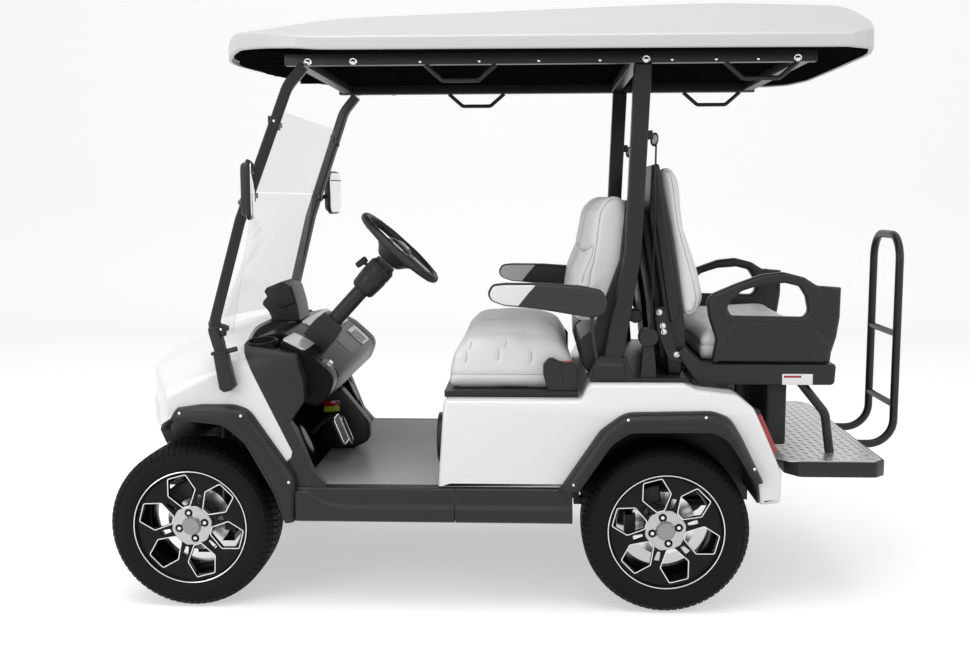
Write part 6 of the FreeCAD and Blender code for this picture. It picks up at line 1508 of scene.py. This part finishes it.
# %% Wheel space
turn_joint = next(joint for joint in frame["record"]["behaviour"]["joints"]
                  if joint["child"] == bodies_of["steering_wheel"])
HUB, AXIS = Vector(turn_joint["pos_m"]), Vector(turn_joint["axis"]).normalized()


def facing(place, normal, side=(0, 1, 0)):
    """A matrix whose Z is a normal and whose Y is the given side, put at a place."""
    up = Vector(normal).normalized()
    across = Vector(side).normalized()
    along = across.cross(up)
    turn = Matrix((along, across, up)).transposed().to_4x4()
    return Matrix.Translation(place) @ turn


def placed(mesh, matrix):
    mesh.transform(matrix)
    return mesh


WHEEL = facing(HUB, AXIS)

# %% Steering wheel
RIM, GRIP = 0.168, 0.0150
section = [(RIM + GRIP * math.cos(turn), GRIP * math.sin(turn)) for turn in spun(16)]
rim = turned("steering_rim", section, 96)


def gripped(place):
    """Thumb swells beside the spokes and flats between the stitched joints."""
    turn = math.atan2(place.y, place.x)
    swell = 1 + 0.07 * sum(math.exp(-((abs(turn) - at) / 0.16) ** 2) for at in (1.25, 1.95))
    flat = Vector((place.x, place.y, 0))
    core = flat.normalized() * RIM
    return core + (place - core) * min(swell, 1.06)


rim = deformed(rim, gripped)
joints = [placed(turned("joint", [(GRIP + 0.0002, -0.0012), (GRIP + 0.0012, 0), (GRIP + 0.0002, 0.0012)], 20),
                 Matrix.Rotation(turn, 4, "Z") @ Matrix.Translation((RIM, 0, 0))
                 @ Matrix.Rotation(math.pi / 2, 4, "X")) for turn in (0.42, -0.42, 2.4, -2.4)]
spokes = [(0.030, -0.162), (0.036, -0.110), (0.044, -0.060), (0.070, -0.040), (0.110, -0.030),
          (0.160, -0.034), (0.160, 0.034), (0.110, 0.030), (0.070, 0.040), (0.044, 0.060), (0.036, 0.110),
          (0.030, 0.162), (-0.026, 0.162), (-0.030, 0.110), (-0.046, 0.050), (-0.052, 0.0), (-0.046, -0.050),
          (-0.030, -0.110), (-0.026, -0.162)]
slits = [[(0.066, side * 0.006), (0.070, side * 0.020), (0.134, side * 0.014), (0.134, side * 0.006)]
         for side in (-1, 1)]
face = sheet_mesh("spokes", [rounded(spokes, 0.012, 4)] + [rounded(slit, 0.003, 3) for slit in slits],
                  -0.007, 0.006, 0.003, 2)
under = turned("hub_cover", [(0.0, -0.068), (0.044, -0.068), (0.052, -0.062), (0.066, -0.044),
                             (0.082, -0.030), (0.090, -0.020), (0.088, -0.010), (0.0, -0.004)], 64)
pad = turned("horn_pad",
             [(0.0, 0.0155), (0.022, 0.0145), (0.040, 0.0110), (0.045, 0.0060), (0.045, 0.0)], 64)
wheel = merged("steering_wheel_skin", [rim, under, pad] + joints, 50)
place_piece("steering_wheel_skin", placed(wheel, WHEEL), "steering_wheel", grained_black)
place_piece("steering_spokes", [face], "steering_wheel", piano_black, at=WHEEL)
inlays = []
for side in (-1, 1):
    strip = [(0.020, side * 0.060), (0.024, side * 0.140), (-0.016, side * 0.140), (-0.030, side * 0.060)]
    inlays.append(sheet_mesh("inlay", [rounded(turned_left(strip), 0.006, 3)], 0.0045, 0.0075, 0.001, 1))
lower = [(0.062, -0.028), (0.138, -0.020), (0.138, 0.020), (0.062, 0.028)]
openings = [rounded(grown(turned_left(slit), 0.002), 0.003, 3) for slit in slits]
inlays.append(sheet_mesh("inlay", [rounded(lower, 0.006, 3)] + openings, 0.0045, 0.0075, 0.001, 1))
place_piece("steering_inlays", inlays, "steering_wheel", machined_metal, at=WHEEL)

# %% Column, shroud and boot
tube = turned("column", [(0.0, -0.47), (0.029, -0.47), (0.029, -0.08), (0.0, -0.08)], 40)
shroud = turned("shroud", [(0.029, -0.214), (0.040, -0.213), (0.046, -0.204), (0.0495, -0.160),
                           (0.050, -0.138), (0.0485, -0.136), (0.0485, -0.132), (0.050, -0.130),
                           (0.0495, -0.098), (0.044, -0.090), (0.040, -0.086), (0.039, -0.076),
                           (0.0, -0.0755)], 56)
boot_rings = [(0.050, -0.470, 0.006), (0.052, -0.40, 0.008), (0.046, -0.366, 0.010), (0.040, -0.358, 0.012)]
boot = ringed(
    "boot", [[(place.x, place.y, height) for place in rounded(rectangle(2 * half, 1.84 * half), corner, 4)]
             for half, height, corner in boot_rings], None, first_cap=False)
stalk = tube_mesh("stalk", [(-0.030, 0.010, -0.125), (-0.055, 0.012, -0.132), (-0.066, 0.014, -0.136)],
                  0.006, 2)
grip = [(-0.011, -0.024), (0.011, -0.024), (0.013, 0.024), (-0.013, 0.024)]
knob = placed(sheet_mesh("knob", [rounded(grip, 0.009, 4)], -0.009, 0.009, 0.006, 3),
              Matrix.Translation((-0.070, 0.014, -0.138)) @ Matrix.Rotation(0.2, 4, "Y")
              @ Matrix.Rotation(math.pi / 2, 4, "X"))
lever = merged("lever", [stalk, knob])
key = turned("key", [(0.0, 0.0), (0.011, 0.0), (0.011, 0.006), (0.009, 0.008), (0.0, 0.008)], 24)
key.transform(Matrix.Translation((0.012, -0.046, -0.116)) @ Matrix.Rotation(math.pi / 2, 4, "X"))
place_piece("steering_column_skin", [tube, shroud, boot, lever, key], "steering_column", dark_plastic,
            smooth=40, at=WHEEL)
print("steering made")

# %% [markdown]
# ## Dashboard, cup holders and mat
# The dashboard is one rolled moulding in gloss black: the side outline gets wide arcs and the sheet
# a wide bevel. Panels, switches and vents are thin plates that stand a millimetre or two off it.
# The floor mat is a grid of fine ribs, since only real ribs keep their lines from every side.

# %% Dashboard
DASH_LOW, DASH_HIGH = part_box("dashboard")
dash = [(200, 925), (205, 945), (300, 968), (420, 905), (515, 818), (482, 738), (444, 712), (350, 735),
        (352, 800), (320, 890), (222, 925)]
mesh = moulding("dash", FRONT_AXLE, dash, [.003, .01, .06, .12, .05, .05, .03, .02, .04, .04, .004],
                DASH_LOW.y, DASH_HIGH.y, 0.010, steps=7, resolution=4)
ends = moulding("dash_end", FRONT_AXLE, dash[3:9] + [(318, 890), (318, 958)],
                [.10, .12, .05, .04, .04, .02, .01, .02], 0.420, 0.532, 0.014, steps=7, resolution=4)
mesh = merged("dashboard_skin", [mesh, ends, other_side(ends)])
place_piece("dashboard_skin", smoothed(mesh), "dashboard", piano_black)


def on_dash(along, up, y, slope):
    """A place on the dashboard, facing out at a slope from level in degrees."""
    turn = math.radians(slope)
    place = Vector((FRONT_AXLE + along / 1000, y, up / 1000))
    return facing(place, (math.sin(turn), 0, math.cos(turn)))


def plate(width, depth, corner, low, high, bevel=0.001, holes=()):
    """A thin rounded plate, centred on its own origin."""
    return sheet_mesh("plate", [rounded(rectangle(width, depth), corner, 3)] + list(holes), low, high,
                      bevel, 2)


def hole(x, y, width, depth, corner=0.002):
    """A rounded rectangle at a place, as an outline."""
    return [Vector((place.x + x, place.y + y)) for place in rounded(rectangle(width, depth), corner, 3)]


switch_plate = placed(plate(0.070, 0.076, 0.010, -0.004, 0.002), on_dash(466, 862, -0.455, 43))
toggles = [placed(plate(0.020, 0.016, 0.003, 0, 0.006, 0.002), on_dash(466 + dx, 864 - dx, -0.455 + y, 43))
           for dx, y in ((-14, 0.018), (-14, -0.018))]
glove = placed(plate(0.085, 0.230, 0.014, -0.004, 0.0015), on_dash(462, 866, 0.045, 43))
place_piece("dash_panels", [switch_plate, glove] + toggles, "dashboard", dark_plastic)
# The vent plate is silver trim; the two plates on the dashboard's top are a painted reflection, light grey
# where the glossy top reflects the light.
vents = [hole(0.004, y, 0.062, 0.024, 0.006) for y in (-0.060, -0.020, 0.020)]
trims = [placed(plate(0.088, 0.180, 0.012, -0.004, 0.003, 0.001, vents), on_dash(462, 866, 0.300, 43)),
         placed(plate(0.086, 0.185, 0.016, -0.006, 0.003, 0.002), on_dash(368, 934, -0.432, 27)),
         placed(plate(0.112, 0.500, 0.016, -0.006, 0.003, 0.002), on_dash(354, 943, 0.155, 27))]
trim_and_reflection_grey = finish("trim_and_reflection_grey", (0.55, 0.55, 0.56), grain_group, 300, 0.0001, (0.2, 0.3), Metallic=0.2)
place_piece("dash_trim_and_painted_reflection", trims, "dashboard", trim_and_reflection_grey)
key_bow = plate(0.016, 0.003, 0.001, 0.004, 0.022, 0.001)
bright = [placed(turned("key_ring", [(0.009, 0.0), (0.009, 0.006), (0.011, 0.008), (0.013, 0.006),
                                     (0.013, 0.0)], 32), on_dash(476, 852, -0.462, 43)),
          placed(key_bow, on_dash(476, 852, -0.462, 43))]
place_piece("dash_bright", bright, "dashboard", bright_metal)

# %% Cup holders and kick panels
CUP = on_dash(250, 941, 0, -4)
rings, wells = [], []
for side in (-1, 1):
    ring = turned("cup_ring", [(0.0405, -0.012), (0.0405, 0.003), (0.043, 0.006), (0.048, 0.006),
                               (0.052, 0.002), (0.053, -0.026)], 64)
    ring.transform(Matrix.Scale(1.12, 4, (1, 0, 0)))
    turn = Matrix.Translation((0, side * 0.500, 0)) @ CUP @ Matrix.Rotation(math.radians(-9 * side), 4, "X")
    rings.append(placed(ring, turn))
    well = turned("cup_well", [(0.0405, 0.0), (0.038, -0.075), (0.034, -0.082), (0.0, -0.083)], 48)
    wells.append(placed(well, turn))
place_piece("cup_rings", rings, "inner_cowl", piano_black, smooth=60)
place_piece("cup_wells", wells, "inner_cowl", dark_plastic, smooth=60)

rests, ribs = [], []
for side in (-1, 1):
    place = Vector((FRONT_AXLE + 0.400, side * 0.500, 0.592))
    turn = facing(place, (0.84, -0.36, 0.40), (0, 1, 0.0))
    oval = [Vector((0.060 * math.cos(a), 0.030 * math.sin(a))) for a in spun(40)]
    rests.append(placed(sheet_mesh("rest", [oval], -0.004, 0.006, 0.004, 3), turn))
    small = [Vector((0.050 * math.cos(a), 0.021 * math.sin(a))) for a in spun(40)]
    ribs.append(placed(sheet_mesh("rest_pad", [small], 0.004, 0.0085, 0.002, 2), turn))
    for step in range(-3, 4):
        bar = plate(0.003, 0.036 * math.sqrt(1 - (step * 0.012 / 0.05) ** 2), 0.001, 0.008, 0.0105, 0.001)
        ribs.append(placed(bar, turn @ Matrix.Translation((step * 0.012, 0, 0))))
place_piece("foot_rests", rests, "inner_cowl", dark_plastic)
place_piece("foot_rest_pads", ribs, "inner_cowl", cap_grey)
housing = [(-0.800, 0.452), (-0.665, 0.452), (-0.600, 0.484), (-0.600, 0.560), (-0.714, 0.700),
           (-0.789, 0.668)]
mesh = side_sheet("pedal_housing", [rounded(housing, 0.03, 5)], -0.030, 0.045, 0.012, 3)
place_piece("pedal_housing", [mesh], "inner_cowl", dark_plastic)
yellow = finish("sticker_yellow", (0.50, 0.60, 0.02), grain_group, 60, 0.00005, (0.4, 0.5))
for name, material, low, high in (("kick_sticker_red", red_lens, 0.622, 0.644),
                                  ("kick_sticker_yellow", yellow, 0.600, 0.621)):
    sticker = [(-0.778, low), (-0.716, low + 0.004), (-0.716, high + 0.004), (-0.778, high)]
    band = side_sheet(name, [rounded(sticker, 0.002, 2)], 0.044, 0.0462, 0.0004, 1)
    place_piece(name, [band], "inner_cowl", material)

# %% Pedals
pads, frames = [], []
for y, half, low in ((-0.260, 0.050, 0.520), (-0.130, 0.032, 0.490)):
    lean = Vector((-0.045, 0, 0.110)).normalized()
    centre = Vector((FRONT_AXLE + 0.500 - 0.0225, y, low + 0.055))
    turn = facing(centre, Vector((lean.z, 0, -lean.x)), (0, 1, 0))
    width, tall = 2 * half, 0.112
    pads.append(placed(plate(tall, width, 0.012, -0.006, 0.006, 0.003), turn))
    for step in range(-2, 3):
        pads.append(placed(plate(0.006, width - 0.03, 0.002, 0.004, 0.0085, 0.001),
                           turn @ Matrix.Translation((step * 0.017, 0, 0))))
    outer, inner = hole(0, 0, tall, width, 0.014), hole(0, 0, tall - 0.012, width - 0.012, 0.010)
    frames.append(placed(sheet_mesh("frame", [outer, inner], 0.003, 0.0095, 0.002, 2), turn))
    arm = [(0.372, y, 0.560), (0.405, y, 0.60), (0.440, y, low + 0.10), (0.452, y, low + 0.085)]
    pads.append(tube_mesh("arm", [(FRONT_AXLE + x, at, z) for x, at, z in arm], 0.008, 3))
place_piece("pedals_skin", pads, "pedals", dark_plastic)
place_piece("pedal_rims", frames, "pedals", bright_metal)

# %% Floor mat
FLOOR_LOW, FLOOR_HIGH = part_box("floor_pan")
mat_grey = finish("mat_grey", (0.30, 0.30, 0.305), grain_group, 700, 0.0004, (0.26, 0.36))
points, faces = [], []
count = 150
start = FLOOR_HIGH.y - 0.028
for index in range(count + 1):
    y = -start + 2 * start * index / count
    for share, rise in ((0.0, 0.0004), (0.28, 0.0004), (0.36, 0.0022), (0.92, 0.0022)):
        at = y + share * 2 * start / count
        if index < count or share == 0.0:
            points += [(FLOOR_LOW.x + 0.030, at, FLOOR_HIGH.z + rise),
                       (FLOOR_HIGH.x - 0.006, at, FLOOR_HIGH.z + rise)]
for row in range(len(points) // 2 - 1):
    faces.append((2 * row, 2 * row + 1, 2 * row + 3, 2 * row + 2))
place_piece("floor_mat", mesh_of("floor_mat", points, faces, 1e-6), "floor_pan", mat_grey)
soften("floor_pan", 0.004)
pod = [(190, 968), (300, 968), (288, 1040), (270, 1104), (230, 1124), (170, 1100), (160, 1084), (172, 1066),
       (156, 1048), (152, 1034), (174, 1010), (184, 990)]
mesh = moulding("pod", FRONT_AXLE, pod, 0.008, -0.098, 0.098, 0.006, steps=3)
wing = moulding("pod_wing", FRONT_AXLE, [(176, 1096), (232, 1125), (262, 1108), (282, 1040), (230, 1020),
                                         (186, 1046)], 0.008, 0.094, 0.104, 0.003, steps=3, resolution=2)
place_piece("display_pod_skin", [mesh, wing, other_side(wing)], "display_pod", dark_plastic)
print("cockpit made")

# %% Mirrors
for side, tag in ((-1, "left"), (1, "right")):
    low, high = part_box("mirrors")
    out = side * (high.y - 0.086)
    turn = facing(Vector(((low.x + high.x) / 2 + 0.030, out, (low.z + high.z) / 2)),
                  (math.cos(0.17), -side * math.sin(0.17), 0), (side * math.sin(0.17), math.cos(0.17), 0))
    housing = plate(0.196, 0.158, 0.040, -0.016, 0.016, 0.013)
    for vertex in housing.vertices:
        if vertex.co.z < 0:
            vertex.co.x *= 0.90
            vertex.co.y *= 0.88
    glass = plate(0.178, 0.140, 0.032, 0.0150, 0.0172, 0.0008)
    # A dark band across the glass is a painted reflection.
    band = plate(0.005, 0.138, 0.002, 0.0165, 0.0180, 0.0004)
    arm_points = [Vector((low.x + 0.010, side * 0.615, 1.430)), Vector((low.x + 0.030, side * 0.650, 1.440)),
                  Vector((low.x + 0.052, side * 0.700, 1.460))]
    arm = tube_mesh("mirror_arm", arm_points, 0.009, 3)
    shell = place_piece(f"mirror_{tag}", [placed(housing, turn), arm], "mirrors", dark_plastic, smooth=45)
    if tag == "left":
        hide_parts("mirrors")
    place_piece(f"mirror_glass_{tag}", [glass], "mirrors", mirror_glass, at=turn)
    place_piece(f"mirror_painted_reflection_{tag}", [band], "mirrors", dark_plastic,
                at=turn @ Matrix.Translation((-0.055, 0, 0)))

# %% [markdown]
# ## Bars swept along a line
# Struts, ribs and straps are one section carried along a line. The line's corners become arcs first, and
# the section's first axis stays level, so a square tube keeps its faces square to the cart.

# %% Swept bars
def swept(name, path, section):
    """A closed section carried along a path."""
    rings = []
    for index, place in enumerate(path):
        ahead = (path[min(index + 1, len(path) - 1)] - path[max(index - 1, 0)]).normalized()
        level = ahead.cross(Vector((0, 0, 1))).normalized()
        rise = level.cross(ahead)
        rings.append([place + level * a + rise * b for a, b in section])
    return ringed(name, rings, 1e-6)


def stacked(name, levels, corner):
    """Rounded rectangles (x0, x1, y0, y1, z) joined from the lowest to the highest."""
    return ringed(name, [[(place.x, place.y, z)
                          for place in rounded([(x0, y0), (x1, y0), (x1, y1), (x0, y1)], corner, 3)]
                         for x0, x1, y0, y1, z in levels], 1e-6)


# %% Windshield struts and their foot covers
tube_half = 0.0185
square = rounded(rectangle(2 * tube_half, 2 * tube_half), 0.006, 3)
strut_line = [(170, -619, 800), (132, -619, 945), (114, -617, 1010), (209, -592, 1368), (374, -553, 1822),
              (430, -546, 1888)]
strut_path = arced([(FRONT_AXLE + x / 1000, y / 1000, z / 1000) for x, y, z in strut_line], 0.14, 8)
strut = swept("strut", strut_path, square)
place_piece("windshield_struts_skin", strut, "windshield_struts", black_coat, both=True, smooth=40)
cover = [(114, 921), (161, 927), (184, 811), (178, 791), (148, 783), (133, 795)]
mesh = moulding("foot_cover", FRONT_AXLE, cover, 0.012, 0.598, 0.644, 0.008, resolution=4)
collar = moulding("foot_collar", FRONT_AXLE, [(110, 923), (164, 930), (163, 918), (109, 911)], 0.003, 0.596,
                  0.646, 0.003, steps=3, resolution=2)
latch = tube_mesh("latch", [(FRONT_AXLE + 0.150, -0.628, 0.922), (FRONT_AXLE + 0.172, -0.630, 0.928),
                            (FRONT_AXLE + 0.196, -0.630, 0.934)], 0.009, 3)
place_piece("strut_foot_covers", [mesh, collar, latch], "windshield_struts", dark_plastic, both=True)

clamps = []
for x, y, z, lean in ((0.128, -0.612, 1.000, 0.2), (0.236, -0.586, 1.458, 0.2), (0.322, -0.566, 1.700, 0.3)):
    turn = facing((FRONT_AXLE + x, y, z), (math.cos(lean), 0, -math.sin(lean)), (0, 0, 1))
    clamps.append(placed(plate(0.034, 0.040, 0.006, -0.012, 0.026, 0.003), turn))
    clamps.append(placed(plate(0.070, 0.018, 0.006, 0.010, 0.020, 0.002),
                         facing((FRONT_AXLE + x, y + 0.034, z), (math.cos(lean), 0, -math.sin(lean)),
                                (0, 0, 1))))
place_piece("windshield_clamps_skin", clamps, "windshield_clamps", dark_plastic, both=True)
pillar = [(-229, 822), (-147, 1262), (-123, 1893), (-64, 1893), (-91, 1247), (-160, 822)]
mesh = moulding("pillar", REAR_AXLE, pillar, [0, 0.12, 0, 0, 0.12, 0], 0.475, 0.525, 0.006, steps=8)
place_piece("centre_pillars_skin", mesh, "centre_pillars", black_coat, both=True)
soften("front_bumper", 0.006, reshape=lambda mesh: deformed(
    mesh, lambda at: at + Vector((0.10 * max(0.0, 0.585 - at.z) / 0.24, 0, 0))))
soften("headlamps", 0.002, reshape=lambda mesh: deformed(
    mesh, lambda at: Vector((max(at.x, nose(at.y) - 0.006), at.y, at.z))))
soften("front_seat_base", 0.004, reshape=lambda mesh: carved(mesh, box_mesh((-1, -1, 0.7), (1, 1, 0.776)),
                                                             "INTERSECT"))
guard = [(-427, 868), (-410, 888), (-394, 891), (-371, 879), (-327, 876), (-309, 855), (-309, 775),
         (-410, 775), (-427, 835)]
facet = [(-362, 880), (-328, 877), (-311, 856), (-311, 790), (-352, 782)]
parts = [moulding("guard", REAR_AXLE, guard, 0.012, 0.500, 0.538, 0.006, resolution=4),
         moulding("facet", REAR_AXLE, facet, 0.004, 0.520, 0.542, 0.003, steps=3, resolution=2)]
place_piece("seat_side_guards", parts, "front_seat_base", dark_plastic, both=True)

# %% [markdown]
# ## Bolts and screws
# A bolt head is a small turned dome with a washer. One mesh is stamped wherever the cart has a bright
# fastener. They are few and they are seen, because bright dots on black parts give the eye its scale.

# %% Bolts
LEFT = (0, -1, 0)


def dome(radius, height, washer=0.0):
    profile = [(0.0, height)] + [(radius * math.sin(turn), height * math.cos(turn))
                                 for turn in (0.4, 0.8, 1.2, 1.5)] + [(radius, 0.0)]
    if washer:
        profile += [(washer, 0.0012), (washer, -0.001)]
    return turned("dome", profile + [(0.0, -0.002)], 20)


def bolts_at(node, name, places, radius, height, washer=0.0):
    """Domes that face out at places on the left side, and their mirror images."""
    stamped = [placed(dome(radius, height, washer), facing(Vector(place), LEFT, (0, 0, 1)))
               for place in places]
    place_piece(name, stamped, node, bright_metal, both=True)


rail_y = -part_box("roof_frame")[1].y - 0.0005
RAIL_Z = 1.902
bolts_at("roof_frame", "roof_bolts", [(x, rail_y, RAIL_Z) for x in (-0.713, -0.558, 0.429, 0.930)],
         0.0095, 0.005, 0.013)
bolts_at("roof_frame", "roof_screws",
         [(x, rail_y, RAIL_Z) for x in (-0.33, -0.13, 0.07, 0.275, 0.515, 0.661, 0.80)], 0.0055, 0.003)
bolts_at("windshield_clamps", "clamp_bolts",
         [(FRONT_AXLE + x, y, z)
          for x, y, z in ((0.142, -0.630, 1.000), (0.246, -0.604, 1.462), (0.332, -0.584, 1.704))],
         0.005, 0.004)
flare_y = -BODY_HALF - FLARE_OUT * 0.86
bolts_at("front_fender_flares", "flare_screws_front",
         [(FRONT_AXLE + x, flare_y, z) for x, z in ((-0.008, 0.710), (0.205, 0.702), (0.366, 0.470))],
         0.0055, 0.0035)
bolts_at("rear_fender_flares", "flare_screws_rear",
         [(REAR_AXLE + x, flare_y, z)
          for x, z in ((0.121, 0.706), (0.286, 0.530), (-0.140, 0.696), (-0.322, 0.470))],
         0.0055, 0.0035)
hinge = [(-40, 1060), (-8, 1068), (40, 905), (70, 885), (60, 868), (12, 880), (-30, 980)]
mesh = moulding("hinge", REAR_AXLE, hinge, 0.010, 0.470, 0.478, 0.002, resolution=2)
place_piece("hinge_plates", mesh, "rear_seat_shells", black_coat, both=True)
bolts_at("rear_seat_shells", "hinge_bolts",
         [(REAR_AXLE + x, -0.4785, z)
          for x, z in ((-0.022, 1.046), (-0.010, 0.999), (-0.006, 0.978), (0.040, 0.898))],
         0.0075, 0.005, 0.010)
print("bolts set")

# %% Roof lining ribs
low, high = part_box("canopy_liner")
ribs = []
for y in (0.08, 0.22, 0.36):
    run = [Vector((FRONT_AXLE + 0.18 + 0.35 * y * y, y, low.z + 0.004)),
           Vector((high.x - 0.08, y, low.z + 0.004))]
    ribs.append(swept("rib", run, [(-0.012, 0.0), (-0.007, -0.008), (0.007, -0.008), (0.012, 0.0)]))
inset = [(plan_x(ROOF_PLAN_FRONT, y) + 0.032, y)
         for y in (0.0, 0.08, 0.16, 0.24, 0.32, 0.40, 0.48, 0.54, 0.575)]
outline = (inset + [(FRONT_AXLE + 0.50, 0.585), (FRONT_AXLE + 0.50, -0.585)]
           + [(x, -y) for x, y in inset[:0:-1]])
front = deformed(subdivided(sheet_mesh("front", [outline], -0.006, -0.002), 1),
                 lambda point: point + Vector((0, 0, canopy_low(point.x) - 0.001)))
place_piece("roof_lining_front", front, "canopy_liner", matt_black)
place_piece("roof_lining_ribs", ribs, "canopy_liner", matt_black, both=True)
nodes["canopy_liner"].data.materials.clear()
nodes["canopy_liner"].data.materials.append(matt_black)

# %% [markdown]
# ## Footplate
# The step is a bright tread plate with raised lozenges in a black folded edge. Real lozenges are worth
# their triangles here, since the plate is seen at a low angle and a bump would not cast a highlight.

# %% Footplate
soften("footplate", 0.004, material=black_coat)
low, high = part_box("footplate")
front_edge, rear_edge, half = high.x - 0.372, high.x - 0.010, high.y - 0.010
plan = [(front_edge, -half + 0.052), (front_edge + 0.036, -half), (rear_edge - 0.036, -half),
        (rear_edge, -half + 0.036), (rear_edge, half - 0.036), (rear_edge - 0.036, half),
        (front_edge + 0.036, half), (front_edge, half - 0.052)]
deck = sheet_mesh("tread", [rounded(plan, 0.02, 4)], high.z - 0.001, high.z + 0.0015, 0.0008, 1)
rim_line = sheet_mesh("rim_line", [rounded(plan, 0.02, 4), rounded(grown(plan, -0.012), 0.016, 4)], high.z,
                      high.z + 0.0035, 0.0012, 1)
stamps = [deck, rim_line]
lozenge = mesh_of("lozenge", [(-0.013, 0, 0), (0, -0.0036, 0), (0.013, 0, 0), (0, 0.0036, 0),
                              (-0.007, 0, 0.0014), (0.007, 0, 0.0014)],
                  [(0, 1, 5, 4), (1, 2, 5), (2, 3, 4, 5), (3, 0, 4)], None)
for row in range(11):
    for column in range(38):
        x, y = front_edge + 0.034 + row * 0.0295, -half + 0.036 + column * 0.0285
        if half - abs(y) > 0.03 and (x > front_edge + 0.05 or abs(y) < half - 0.07):
            turn = Matrix.Rotation(math.radians(45 if (row + column) % 2 else -45), 4, "Z")
            stamps.append((lozenge, Matrix.Translation((x, y, high.z + 0.0014)) @ turn))
place_piece("footplate_tread", stamps, "footplate", tread_metal, smooth=20)
print("footplate:", len(stamps), "stamps")

# %% [markdown]
# ## Belts, boots and small trim
# What is left are the small parts around the seats: belt reels and guides, the boots that close the
# pillars' feet, the red press of the buckle, and the bare places where a maker would put a sticker.

# %% Belts
reel = turned("reel", [(0.0, -0.022), (0.030, -0.022), (0.034, -0.018), (0.034, 0.018), (0.030, 0.022),
                       (0.0, 0.022)], 40)
parts = [placed(reel, facing((0.452, -0.500, 0.962), LEFT, (0, 0, 1)))]
parts.append(stacked("bracket", [(0.425, 0.482, -0.518, -0.482, 0.822), (0.432, 0.476, -0.516, -0.484, 0.90),
                                 (0.436, 0.470, -0.514, -0.486, 0.94)], 0.006))
loop = turned("guide", [(0.016, -0.003), (0.019, -0.006), (0.0235, -0.004), (0.024, 0.004), (0.019, 0.006),
                        (0.016, 0.003)], 32)
loop.transform(Matrix.Scale(0.58, 4, (0, 1, 0)))
parts.append(placed(loop, facing((0.4640, -0.500, 1.640), LEFT, (-1, 0, 0.1))))
parts.append(placed(plate(0.030, 0.034, 0.006, -0.020, 0.012, 0.003),
                    facing((0.446, -0.500, 1.655), (1, 0, 0.1))))
place_piece("seat_belts_skin", parts, "seat_belts", dark_plastic, both=True)
strap = swept("strap", arced([(0.470, -0.500, 1.632), (0.468, -0.500, 1.30), (0.462, -0.500, 0.985)], 0.3),
              [(-0.022, -0.0009), (0.022, -0.0009), (0.022, 0.0009), (-0.022, 0.0009)])
place_piece("belt_straps", strap, "seat_belts", webbing, both=True)
tongue = placed(turned("tongue", [(0.0, -0.004), (0.016, -0.004), (0.016, 0.004), (0.0, 0.004)], 28),
                facing((0.4645, -0.5005, 1.640), LEFT, (-1, 0, 0.1)) @ Matrix.Scale(0.58, 4, (0, 1, 0)))
place_piece("belt_guides", tongue, "seat_belts", cap_grey, both=True)
knob = placed(turned("knob", [(0.0, -0.03), (0.022, -0.03), (0.026, -0.02), (0.026, 0.02), (0.022, 0.03),
                              (0.0, 0.03)], 8), facing((0.412, -0.43, 1.030), LEFT, (0, 0, 1)))
place_piece("recline_knobs", knob, "front_seat_shells", dark_plastic, both=True)

# %% Pillar boots, buckle press and sticker places
boot = stacked("boot", [(0.260, 0.370, -0.545, -0.455, 0.822), (0.264, 0.368, -0.543, -0.457, 0.866),
                        (0.2705, 0.3665, -0.540, -0.460, 0.870), (0.284, 0.3615, -0.530, -0.470, 0.897),
                        (0.290, 0.360, -0.527, -0.473, 0.899)], 0.006)
place_piece("pillar_boots", boot, "deck_trim", dark_plastic, both=True, smooth=20)
press = placed(plate(0.034, 0.018, 0.004, -0.002, 0.004, 0.002),
               Matrix.Translation((REAR_AXLE - 0.346, -0.531, 0.8785)))
place_piece("buckle_press", press, "front_seat_base", red_lens, both=True)
label = placed(plate(0.038, 0.105, 0.003, 0.0, 0.0008, 0.0002),
               facing((0.972, -tray_half, 0.8135), LEFT, (1, 0, 0)))
place_piece("blank_label", [label], "rear_tray", white_gloss)
stripe = placed(plate(0.008, 0.060, 0.001, 0.0006, 0.0011, 0.0001),
                facing((0.955, -tray_half, 0.823), LEFT, (1, 0, 0)))
place_piece("blank_label_stripe", [stripe], "rear_tray", red_lens)
cap_line = [(0.806, 0.726), (0.826, 0.722), (0.836, 0.703), (0.815, 0.707)]
cap = side_sheet("lamp_cap", [rounded(cap_line, 0.003, 3)], 0.545, 0.5745, 0.003, 2)
place_piece("tail_lamp_caps", cap, "tail_lamps", dark_plastic, both=True)
for node, width in (("roof_frame", 0.003), ("step_braces", 0.004), ("speakers", 0.006)):
    soften(node, width)
print("trim set")
